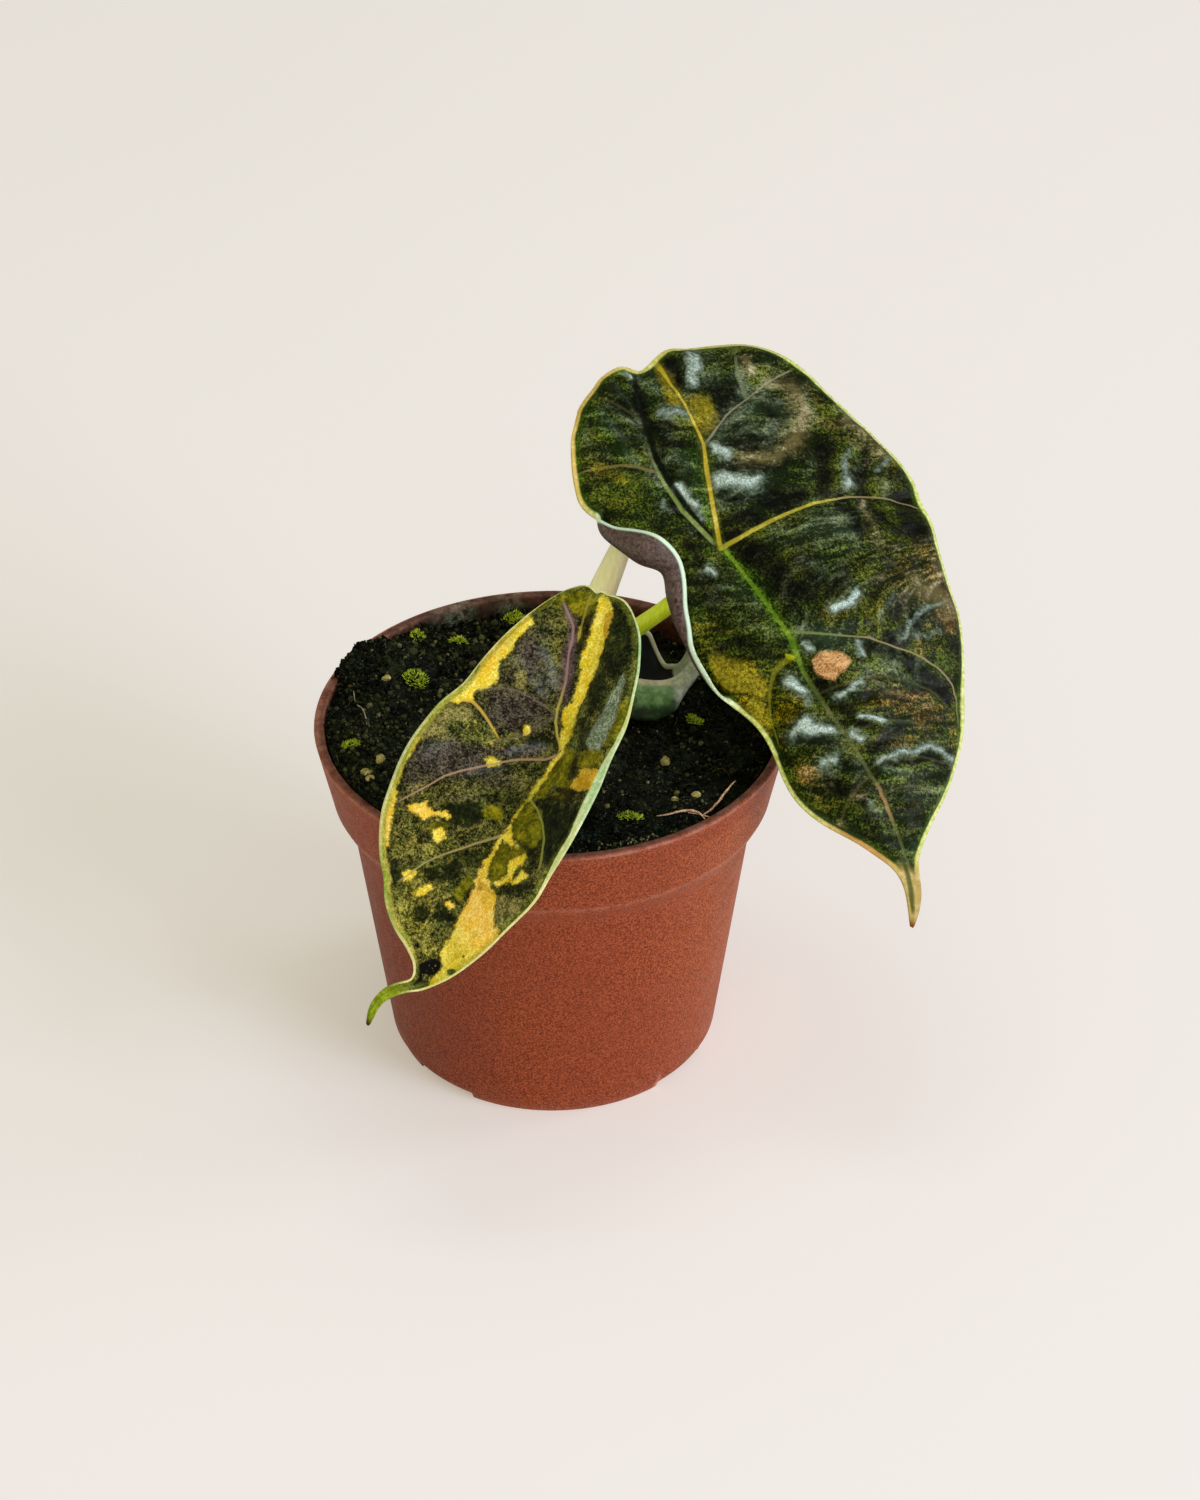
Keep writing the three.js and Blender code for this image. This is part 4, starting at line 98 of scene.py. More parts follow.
    45.38,-30.28,67.28, 45.65,-30.18,67.65, 45.93,-30.08,68.03, 46.2,-29.98,68.41, 46.47,-29.88,68.8, 46.74,-29.79,69.18, 47.02,-29.69,69.56, 47.29,-29.6,69.95, 47.56,-29.51,70.33, 49.32,-29.84,70.95, 50.86,-30.1,71.37, 52.25,-30.26,71.64, 53.52,-30.33,71.79, 54.71,-30.32,71.84, 55.82,-30.23,71.8, 56.87,-30.06,71.68, 57.88,-29.84,71.5, 58.86,-29.56,71.27, 59.81,-29.24,71, 60.74,-28.89,70.69, 61.66,-28.52,70.36, 62.57,-28.12,70, 63.49,-27.71,69.62, 64.41,-27.27,69.21, 65.35,-26.83,68.78, 66.31,-26.36,68.34, 67.32,-25.89,67.86, 68.38,-25.4,67.37,
    49.14,-32.27,65.68, 49.35,-32.15,66.06, 49.56,-32.03,66.44, 49.77,-31.91,66.83, 49.98,-31.79,67.21, 50.19,-31.68,67.59, 50.4,-31.56,67.98, 50.6,-31.45,68.36, 50.81,-31.33,68.74, 52.27,-31.54,68.99, 53.53,-31.68,69.13, 54.65,-31.75,69.18, 55.66,-31.76,69.17, 56.59,-31.71,69.11, 57.46,-31.61,68.98, 58.27,-31.45,68.81, 59.05,-31.26,68.61, 59.79,-31.06,68.4, 60.51,-30.84,68.16, 61.2,-30.62,67.92, 61.88,-30.38,67.66, 62.55,-30.14,67.4, 63.22,-29.9,67.13, 63.88,-29.64,66.85, 64.54,-29.38,66.56, 65.22,-29.11,66.27, 65.91,-28.82,65.96, 66.64,-28.53,65.65,
    53.11,-33.69,64.07, 53.28,-33.59,64.38, 53.45,-33.49,64.68, 53.62,-33.39,64.99, 53.79,-33.29,65.29, 53.97,-33.19,65.6, 54.14,-33.09,65.9, 54.31,-32.98,66.21, 54.48,-32.88,66.51, 55.48,-32.95,66.48, 56.35,-32.97,66.41, 57.13,-32.95,66.32, 57.83,-32.89,66.2, 58.48,-32.82,66.06, 59.07,-32.74,65.91, 59.64,-32.64,65.76, 60.17,-32.55,65.6, 60.67,-32.44,65.43, 61.16,-32.34,65.26, 61.62,-32.23,65.09, 62.07,-32.13,64.91, 62.51,-32.02,64.74, 62.94,-31.92,64.56, 63.36,-31.81,64.39, 63.77,-31.7,64.21, 64.19,-31.59,64.03, 64.6,-31.47,63.85, 65.01,-31.35,63.67,
    56.83,-34.92,61.91, 56.98,-34.83,62.1, 57.13,-34.74,62.29, 57.28,-34.64,62.48, 57.43,-34.55,62.67, 57.58,-34.45,62.86, 57.73,-34.35,63.04, 57.88,-34.25,63.23, 58.03,-34.15,63.41, 58.54,-34.12,63.33, 59.01,-34.09,63.23, 59.44,-34.06,63.13, 59.84,-34.02,63.02, 60.21,-33.99,62.91, 60.56,-33.96,62.8, 60.89,-33.93,62.68, 61.21,-33.9,62.56, 61.51,-33.87,62.43, 61.79,-33.84,62.31, 62.06,-33.82,62.19, 62.33,-33.8,62.06, 62.57,-33.78,61.93, 62.81,-33.76,61.81, 63.04,-33.75,61.68, 63.25,-33.73,61.56, 63.46,-33.73,61.43, 63.66,-33.72,61.31, 63.84,-33.72,61.18,
    59.57,-35.7,59.79, 59.69,-35.64,59.88, 59.8,-35.57,59.98, 59.92,-35.51,60.07, 60.03,-35.45,60.16, 60.15,-35.38,60.25, 60.26,-35.32,60.34, 60.38,-35.25,60.43, 60.49,-35.18,60.52, 60.75,-35.19,60.4, 61,-35.19,60.29, 61.23,-35.2,60.17, 61.44,-35.21,60.06, 61.65,-35.21,59.95, 61.84,-35.22,59.84, 62.03,-35.23,59.73, 62.21,-35.24,59.63, 62.38,-35.24,59.52, 62.55,-35.25,59.42, 62.71,-35.26,59.31, 62.86,-35.27,59.21, 63.01,-35.28,59.11, 63.16,-35.29,59.01, 63.3,-35.3,58.91, 63.43,-35.3,58.81, 63.56,-35.31,58.71, 63.69,-35.32,58.61, 63.82,-35.33,58.52,
    61.36,-36.75,56.88, 61.47,-36.72,56.91, 61.57,-36.69,56.93, 61.68,-36.65,56.95, 61.78,-36.62,56.98, 61.89,-36.59,57, 62,-36.56,57.03, 62.1,-36.53,57.05, 62.21,-36.49,57.07, 62.33,-36.5,56.98, 62.45,-36.51,56.9, 62.56,-36.52,56.82, 62.67,-36.53,56.73, 62.78,-36.53,56.65, 62.89,-36.54,56.57, 63,-36.55,56.49, 63.11,-36.55,56.41, 63.21,-36.56,56.33, 63.31,-36.56,56.25, 63.41,-36.56,56.18, 63.51,-36.57,56.1, 63.61,-36.57,56.02, 63.71,-36.57,55.95, 63.81,-36.57,55.87, 63.91,-36.57,55.8, 64.01,-36.57,55.73, 64.1,-36.57,55.65, 64.2,-36.57,55.58,
    62.16,-37.84,53.47, 62.23,-37.83,53.47, 62.3,-37.81,53.47, 62.37,-37.8,53.47, 62.44,-37.79,53.47, 62.5,-37.77,53.47, 62.57,-37.76,53.47, 62.64,-37.74,53.47, 62.71,-37.73,53.47, 62.78,-37.73,53.42, 62.85,-37.73,53.37, 62.92,-37.74,53.32, 62.99,-37.74,53.27, 63.05,-37.74,53.22, 63.12,-37.74,53.17, 63.18,-37.74,53.13, 63.25,-37.74,53.08, 63.31,-37.75,53.03, 63.37,-37.75,52.99, 63.44,-37.75,52.94, 63.5,-37.75,52.9, 63.56,-37.75,52.85, 63.62,-37.75,52.81, 63.68,-37.76,52.76, 63.74,-37.76,52.72, 63.8,-37.76,52.68, 63.86,-37.76,52.63, 63.92,-37.76,52.59,
    62.65,-38.98,50, 62.68,-38.97,50, 62.7,-38.97,50, 62.73,-38.96,50, 62.75,-38.96,50, 62.77,-38.95,50.01, 62.8,-38.95,50.01, 62.82,-38.94,50.01, 62.85,-38.94,50.01, 62.85,-38.94,50, 62.86,-38.94,49.98, 62.87,-38.94,49.97, 62.88,-38.95,49.96, 62.89,-38.95,49.95, 62.9,-38.95,49.94, 62.91,-38.96,49.93, 62.91,-38.96,49.92, 62.92,-38.96,49.91, 62.93,-38.96,49.89, 62.94,-38.97,49.88, 62.95,-38.97,49.87, 62.96,-38.97,49.86, 62.97,-38.97,49.85, 62.97,-38.98,49.84, 62.98,-38.98,49.83, 62.99,-38.98,49.82, 63,-38.99,49.8, 63.01,-38.99,49.79,
]
SMALL_ROWS, SMALL_COLS = 26, 18
SMALL = [
    -3.71,-10.97,96.1, -2.12,-10.16,97.01, -0.48,-9.45,97.92, 1.22,-8.89,98.81, 3.01,-8.55,99.66, 4.92,-8.59,100.41, 6.17,-8.96,100.75, 7.34,-9.85,100.81, 8.2,-10.99,100.62, 9.06,-11.21,100.97, 9.9,-12.06,101.01, 10.8,-12.83,101.15, 11.71,-13.59,101.34, 12.58,-14.51,101.45, 13.28,-15.57,101.42, 13.84,-16.77,101.27, 14.3,-17.98,101.09, 14.67,-19.24,100.86,
    -6.84,-12.96,94.21, -5.02,-13.22,94.46, -3.31,-13.29,94.84, -1.65,-13.3,95.3, -0.04,-13.34,95.81, 1.54,-13.48,96.32, 3.05,-13.74,96.79, 4.44,-14.17,97.19, 5.73,-14.75,97.51, 6.92,-15.4,97.8, 8.06,-16.13,98.07, 9.15,-16.93,98.33, 10.21,-17.81,98.59, 11.24,-18.77,98.83, 12.25,-19.81,99.07, 13.25,-20.93,99.32, 14.29,-22.12,99.6, 15.45,-23.38,99.97,
    -9.69,-15.04,92.07, -7.76,-15.5,92.27, -5.91,-15.84,92.5, -4.13,-16.1,92.78, -2.43,-16.35,93.11, -0.78,-16.64,93.48, 0.81,-17.01,93.89, 2.34,-17.48,94.31, 3.8,-18.07,94.73, 5.19,-18.76,95.15, 6.54,-19.54,95.57, 7.84,-20.4,95.99, 9.1,-21.35,96.41, 10.35,-22.37,96.84, 11.59,-23.47,97.28, 12.84,-24.64,97.74, 14.12,-25.87,98.24, 15.47,-27.17,98.77,
    -12.34,-17.16,89.7, -10.35,-17.63,89.9, -8.42,-18.05,90.11, -6.55,-18.42,90.33, -4.73,-18.77,90.58, -2.97,-19.12,90.86, -1.27,-19.53,91.18, 0.38,-20.03,91.56, 1.99,-20.65,91.99, 3.54,-21.39,92.48, 5.05,-22.27,93.01, 6.53,-23.25,93.58, 7.97,-24.33,94.18, 9.4,-25.5,94.81, 10.82,-26.72,95.44, 12.24,-28,96.1, 13.7,-29.34,96.77, 15.2,-30.72,97.47,
    -14.92,-19.28,87.31, -12.89,-19.74,87.48, -10.89,-20.17,87.65, -8.94,-20.56,87.83, -7.03,-20.95,88.03, -5.16,-21.34,88.26, -3.35,-21.75,88.51, -1.58,-22.22,88.83, 0.15,-22.81,89.21, 1.84,-23.54,89.69, 3.49,-24.44,90.26, 5.12,-25.55,90.96, 6.72,-26.8,91.74, 8.29,-28.15,92.56, 9.86,-29.55,93.4, 11.43,-30.97,94.25, 12.99,-32.41,95.1, 14.56,-33.85,95.93,
    -18.14,-20.76,85.22, -15.75,-21.56,85.22, -13.53,-22.15,85.27, -11.41,-22.61,85.36, -9.37,-23.02,85.48, -7.4,-23.4,85.63, -5.47,-23.8,85.82, -3.59,-24.26,86.08, -1.75,-24.81,86.42, 0.06,-25.52,86.87, 1.83,-26.43,87.45, 3.58,-27.55,88.18, 5.31,-28.88,89.05, 7.03,-30.37,90.03, 8.73,-31.96,91.06, 10.44,-33.58,92.12, 12.16,-35.18,93.18, 13.91,-36.7,94.25,
    -21.1,-22.89,82.67, -18.54,-23.68,82.76, -16.15,-24.3,82.83, -13.89,-24.8,82.89, -11.73,-25.21,82.96, -9.65,-25.57,83.05, -7.63,-25.92,83.17, -5.65,-26.32,83.35, -3.72,-26.81,83.62, -1.81,-27.44,84, 0.06,-28.26,84.54, 1.92,-29.35,85.26, 3.76,-30.72,86.18, 5.58,-32.32,87.26, 7.39,-34.08,88.45, 9.21,-35.92,89.69, 11.05,-37.78,90.94, 12.95,-39.66,92.16,
    -23.72,-25.2,79.9, -21.07,-26.01,80.1, -18.59,-26.64,80.24, -16.24,-27.16,80.35, -14,-27.58,80.43, -11.84,-27.95,80.52, -9.75,-28.26,80.6, -7.71,-28.6,80.73, -5.71,-29.03,80.94, -3.73,-29.59,81.26, -1.78,-30.33,81.74, 0.15,-31.29,82.38, 2.07,-32.56,83.25, 3.97,-34.17,84.39, 5.86,-36,85.68, 7.74,-37.96,87.08, 9.61,-39.95,88.49, 11.46,-41.86,89.82,
    -25.78,-27.79,76.95, -23.17,-28.53,77.26, -20.69,-29.15,77.5, -18.34,-29.65,77.68, -16.08,-30.06,77.81, -13.9,-30.42,77.92, -11.78,-30.74,78.03, -9.7,-31.07,78.15, -7.67,-31.46,78.34, -5.66,-31.98,78.63, -3.66,-32.69,79.08, -1.68,-33.65,79.72, 0.29,-34.89,80.58, 2.26,-36.41,81.67, 4.23,-38.16,82.96, 6.18,-40.06,84.4, 8.12,-42.04,85.92, 10,-43.97,87.39,
    -27.35,-30.62,73.86, -24.83,-31.26,74.3, -22.42,-31.81,74.65, -20.11,-32.29,74.93, -17.89,-32.68,75.14, -15.73,-33.01,75.29, -13.63,-33.32,75.43, -11.57,-33.66,75.59, -9.55,-34.06,75.79, -7.54,-34.56,76.07, -5.54,-35.23,76.48, -3.55,-36.11,77.05, -1.56,-37.32,77.87, 0.44,-38.87,78.97, 2.46,-40.65,80.28, 4.49,-42.57,81.76, 6.57,-44.51,83.36, 8.71,-46.36,85.08,
    -28.64,-33.52,70.73, -26.12,-34.07,71.28, -23.77,-34.54,71.73, -21.54,-34.95,72.1, -19.39,-35.33,72.4, -17.31,-35.65,72.63, -15.27,-35.97,72.83, -13.27,-36.31,73.03, -11.29,-36.73,73.27, -9.33,-37.26,73.58, -7.37,-37.96,74, -5.41,-38.86,74.56, -3.45,-40.01,75.31, -1.47,-41.47,76.28, 0.52,-43.23,77.48, 2.52,-45.22,78.89, 4.55,-47.36,80.44, 6.63,-49.4,82.02,
    -29.02,-36.67,67.62, -26.77,-36.98,68.3, -24.62,-37.29,68.82, -22.55,-37.6,69.25, -20.54,-37.91,69.61, -18.59,-38.22,69.91, -16.66,-38.54,70.18, -14.76,-38.9,70.44, -12.88,-39.34,70.73, -10.99,-39.89,71.07, -9.1,-40.59,71.5, -7.21,-41.5,72.06, -5.31,-42.64,72.78, -3.39,-44.05,73.66, -1.46,-45.73,74.74, 0.48,-47.68,75.99, 2.43,-49.84,77.37, 4.39,-52.06,78.78,
    -28.8,-39.46,64.9, -26.87,-39.69,65.54, -24.99,-39.92,66.07, -23.15,-40.16,66.51, -21.34,-40.43,66.89, -19.56,-40.71,67.23, -17.8,-41.02,67.54, -16.04,-41.38,67.85, -14.28,-41.83,68.17, -12.51,-42.37,68.54, -10.73,-43.05,68.97, -8.93,-43.89,69.49, -7.11,-44.97,70.16, -5.27,-46.27,70.96, -3.41,-47.81,71.9, -1.53,-49.57,72.98, 0.34,-51.59,74.19, 2.21,-53.73,75.44,
    -28.18,-41.86,62.56, -26.61,-42.09,63.04, -25.02,-42.3,63.49, -23.43,-42.52,63.89, -21.85,-42.77,64.26, -20.27,-43.03,64.61, -18.69,-43.34,64.94, -17.11,-43.69,65.26, -15.52,-44.13,65.6, -13.9,-44.66,65.98, -12.26,-45.31,66.42, -10.59,-46.11,66.93, -8.88,-47.09,67.54, -7.12,-48.27,68.26, -5.33,-49.66,69.1, -3.5,-51.25,70.06, -1.66,-53.02,71.12, 0.19,-54.89,72.25,
    -27.99,-44.08,60.04, -26.44,-44.29,60.53, -24.97,-44.48,60.96, -23.55,-44.67,61.35, -22.16,-44.88,61.7, -20.78,-45.13,62.03, -19.4,-45.42,62.35, -18.01,-45.77,62.68, -16.61,-46.18,63.02, -15.17,-46.68,63.38, -13.71,-47.29,63.8, -12.2,-48.02,64.28, -10.63,-48.9,64.83, -9.01,-49.94,65.48, -7.32,-51.19,66.23, -5.55,-52.66,67.11, -3.69,-54.37,68.09, -1.74,-56.3,69.15,
    -27.18,-46.23,57.62, -25.86,-46.35,58.13, -24.62,-46.48,58.55, -23.42,-46.63,58.92, -22.24,-46.82,59.25, -21.08,-47.04,59.55, -19.92,-47.31,59.85, -18.75,-47.63,60.14, -17.56,-48.01,60.45, -16.34,-48.46,60.78, -15.08,-49,61.15, -13.77,-49.64,61.57, -12.41,-50.39,62.05, -10.97,-51.29,62.61, -9.45,-52.33,63.26, -7.84,-53.56,64.02, -6.11,-55.01,64.89, -4.25,-56.7,65.88,
    -25.89,-48.2,55.63, -24.92,-48.22,56.09, -23.98,-48.3,56.45, -23.05,-48.42,56.76, -22.13,-48.58,57.02, -21.21,-48.77,57.26, -20.29,-49.01,57.49, -19.35,-49.3,57.73, -18.39,-49.64,57.97, -17.41,-50.03,58.24, -16.38,-50.49,58.53, -15.3,-51.02,58.86, -14.17,-51.65,59.24, -12.96,-52.38,59.68, -11.67,-53.23,60.2, -10.29,-54.22,60.82, -8.78,-55.36,61.55, -7.15,-56.67,62.41,
    -24.71,-49.55,54.42, -23.98,-49.68,54.63, -23.28,-49.82,54.82, -22.6,-49.98,54.98, -21.92,-50.16,55.12, -21.25,-50.35,55.25, -20.56,-50.57,55.39, -19.87,-50.82,55.52, -19.15,-51.1,55.67, -18.41,-51.42,55.83, -17.63,-51.79,56, -16.81,-52.2,56.2, -15.93,-52.68,56.44, -14.98,-53.24,56.72, -13.95,-53.9,57.06, -12.82,-54.67,57.47, -11.58,-55.58,57.98, -10.21,-56.65,58.58,
    -23.68,-50.95,53.15, -23.19,-51.1,53.22, -22.72,-51.26,53.27, -22.27,-51.43,53.32, -21.82,-51.6,53.37, -21.37,-51.78,53.41, -20.91,-51.97,53.45, -20.44,-52.18,53.49, -19.96,-52.41,53.54, -19.45,-52.65,53.59, -18.92,-52.92,53.66, -18.35,-53.22,53.73, -17.73,-53.56,53.82, -17.07,-53.94,53.94, -16.34,-54.39,54.09, -15.52,-54.91,54.28, -14.61,-55.53,54.53, -13.57,-56.28,54.87,
    -22.99,-52.37,51.73, -22.75,-52.5,51.71, -22.51,-52.63,51.69, -22.27,-52.76,51.66, -22.03,-52.89,51.64, -21.78,-53.04,51.62, -21.52,-53.18,51.6, -21.26,-53.34,51.58, -20.98,-53.51,51.56, -20.69,-53.68,51.54, -20.38,-53.87,51.52, -20.05,-54.08,51.51, -19.7,-54.31,51.5, -19.31,-54.56,51.5, -18.88,-54.84,51.5, -18.4,-55.16,51.53, -17.85,-55.53,51.57, -17.22,-55.97,51.64,
    -23.33,-53.59,50.05, -23.25,-53.66,50.02, -23.16,-53.73,49.99, -23.06,-53.8,49.96, -22.96,-53.88,49.93, -22.85,-53.96,49.89, -22.74,-54.05,49.85, -22.63,-54.15,49.8, -22.51,-54.25,49.76, -22.39,-54.36,49.71, -22.26,-54.47,49.65, -22.12,-54.59,49.6, -21.99,-54.72,49.54, -21.85,-54.86,49.47, -21.7,-55.01,49.41, -21.55,-55.16,49.33, -21.4,-55.33,49.26, -21.24,-55.5,49.18,
    -25.08,-53.57,49.14, -25,-53.65,49.09, -24.92,-53.73,49.04, -24.84,-53.8,48.99, -24.76,-53.88,48.94, -24.68,-53.97,48.89, -24.59,-54.05,48.84, -24.5,-54.13,48.79, -24.41,-54.21,48.75, -24.32,-54.3,48.7, -24.22,-54.39,48.65, -24.13,-54.47,48.6, -24.02,-54.57,48.56, -23.92,-54.66,48.51, -23.81,-54.76,48.46, -23.7,-54.86,48.41, -23.58,-54.96,48.36, -23.46,-55.07,48.32,
    -27.31,-53.43,48.08, -27.24,-53.52,48.03, -27.16,-53.59,47.97, -27.09,-53.67,47.92, -27.02,-53.75,47.87, -26.95,-53.83,47.82, -26.88,-53.9,47.76, -26.81,-53.97,47.71, -26.74,-54.05,47.67, -26.67,-54.12,47.62, -26.6,-54.19,47.57, -26.53,-54.26,47.52, -26.46,-54.33,47.48, -26.38,-54.4,47.43, -26.31,-54.47,47.39, -26.24,-54.54,47.35, -26.17,-54.61,47.31, -26.09,-54.68,47.26,
    -29.23,-53.73,46.47, -29.18,-53.8,46.41, -29.13,-53.87,46.35, -29.08,-53.94,46.29, -29.04,-54.01,46.24, -28.99,-54.07,46.18, -28.94,-54.14,46.13, -28.9,-54.2,46.07, -28.86,-54.27,46.02, -28.82,-54.33,45.97, -28.78,-54.39,45.92, -28.74,-54.45,45.87, -28.7,-54.51,45.82, -28.66,-54.57,45.76, -28.63,-54.62,45.72, -28.59,-54.68,45.67, -28.56,-54.74,45.62, -28.53,-54.79,45.57,
    -30.7,-54.62,44.26, -30.64,-54.67,44.22, -30.58,-54.73,44.19, -30.52,-54.79,44.16, -30.46,-54.84,44.13, -30.41,-54.9,44.11, -30.35,-54.95,44.08, -30.3,-55,44.05, -30.24,-55.05,44.02, -30.19,-55.1,44, -30.14,-55.15,43.97, -30.08,-55.2,43.95, -30.03,-55.25,43.92, -29.98,-55.3,43.9, -29.93,-55.34,43.87, -29.88,-55.39,43.85, -29.83,-55.44,43.83, -29.78,-55.48,43.8,
    -31.15,-56.13,42.05, -31.13,-56.14,42.05, -31.11,-56.16,42.05, -31.09,-56.17,42.04, -31.07,-56.18,42.04, -31.05,-56.2,42.04, -31.03,-56.21,42.04, -31.02,-56.22,42.03, -31,-56.23,42.03, -30.98,-56.25,42.03, -30.96,-56.26,42.03, -30.94,-56.27,42.02, -30.92,-56.29,42.02, -30.9,-56.3,42.02, -30.89,-56.31,42.02, -30.87,-56.33,42.01, -30.85,-56.34,42.01, -30.83,-56.35,42.01,
]
CUP_ROWS, CUP_COLS = 12, 10
CUP = [
    11.6,12.6,69.2, 11.27,11.4,68.19, 11.47,11.24,66.69, 12.01,11.9,65.23, 12.66,13.17,64.35, 13.33,14.85,64.36, 14.01,16.76,65.21, 14.68,18.65,66.81, 15.24,20.23,68.99, 15.6,21.2,71.6,
    13.06,11.41,68.72, 12.62,9.96,67.39, 12.73,9.71,65.97, 13.22,10.52,64.74, 13.91,12.24,64, 14.68,14.6,63.99, 15.53,17.12,64.83, 16.33,19.39,66.46, 16.89,21.09,68.71, 17.01,21.88,71.37,
    14.68,10.71,68.35, 14.29,9.05,66.97, 14.33,8.85,65.59, 14.7,9.87,64.44, 15.33,11.83,63.77, 16.1,14.39,63.76, 16.94,17.03,64.5, 17.68,19.35,65.94, 18.16,21.02,67.95, 18.18,21.73,70.41,
    16.41,10.34,68.09, 16.15,8.53,66.81, 16.14,8.45,65.45, 16.38,9.66,64.29, 16.89,11.72,63.65, 17.57,14.2,63.65, 18.26,16.67,64.26, 18.83,18.8,65.41, 19.17,20.32,67.06, 19.19,20.95,69.17,
    18.2,10.14,67.98, 18.07,8.26,66.79, 18.05,8.27,65.44, 18.2,9.6,64.27, 18.56,11.66,63.63, 19.06,13.98,63.65, 19.54,16.18,64.16, 19.89,18,65.07, 20.08,19.26,66.38, 20.1,19.78,68.08,
    19.96,10.1,68.01, 19.92,8.24,66.88, 19.93,8.28,65.53, 20.01,9.6,64.36, 20.21,11.59,63.73, 20.5,13.74,63.76, 20.74,15.67,64.22, 20.9,17.16,64.99, 20.98,18.14,66.06, 20.96,18.52,67.4,
    21.59,10.41,68.24, 21.64,8.67,67.12, 21.62,8.69,65.79, 21.59,9.89,64.61, 21.61,11.67,63.98, 21.69,13.56,64, 21.78,15.21,64.41, 21.85,16.46,65.09, 21.87,17.27,65.99, 21.84,17.61,67.1,
    22.99,11.11,68.69, 23.18,9.56,67.61, 23.1,9.54,66.3, 22.91,10.52,65.13, 22.75,12,64.48, 22.69,13.56,64.46, 22.69,14.96,64.82, 22.71,16.06,65.43, 22.73,16.82,66.25, 22.72,17.23,67.23,
    24.13,12.04,69.42, 24.52,10.71,68.4, 24.47,10.64,67.13, 24.21,11.42,66, 23.92,12.63,65.35, 23.72,13.94,65.31, 23.61,15.15,65.67, 23.57,16.13,66.28, 23.55,16.85,67.06, 23.53,17.27,67.92,
    25.06,13.04,70.27, 25.68,11.94,69.35, 25.78,11.85,68.19, 25.56,12.46,67.13, 25.23,13.47,66.52, 24.91,14.63,66.48, 24.65,15.7,66.86, 24.47,16.57,67.53, 24.35,17.2,68.29, 24.28,17.55,69,
    25.85,13.95,70.96, 26.72,13.06,70.22, 27.05,13,69.24, 26.99,13.53,68.31, 26.68,14.41,67.77, 26.27,15.42,67.74, 25.85,16.34,68.15, 25.5,17.07,68.83, 25.21,17.57,69.57, 25.02,17.81,70.14,
    26.6,14.6,71.2, 27.68,13.89,70.77, 28.29,13.96,70.04, 28.47,14.54,69.31, 28.28,15.32,68.88, 27.82,16.11,68.89, 27.26,16.79,69.27, 26.71,17.32,69.87, 26.2,17.66,70.51, 25.8,17.8,71,
]
ROLL = [0.0, 0.0, 0.0, 0.0, 0.0, 1.0, 1.0, 1.0, 1.0, 1.0, 1.0, 1.0, 1.0, 1.0, 1.0, 1.0, 0.97, 0.06, 0.0, 0.0, 0.0, 0.0, 0.0, 0.0, 0.0, 0.0, 0.0, 0.0, 0.0, 0.0]
CUP_SIGN = -1
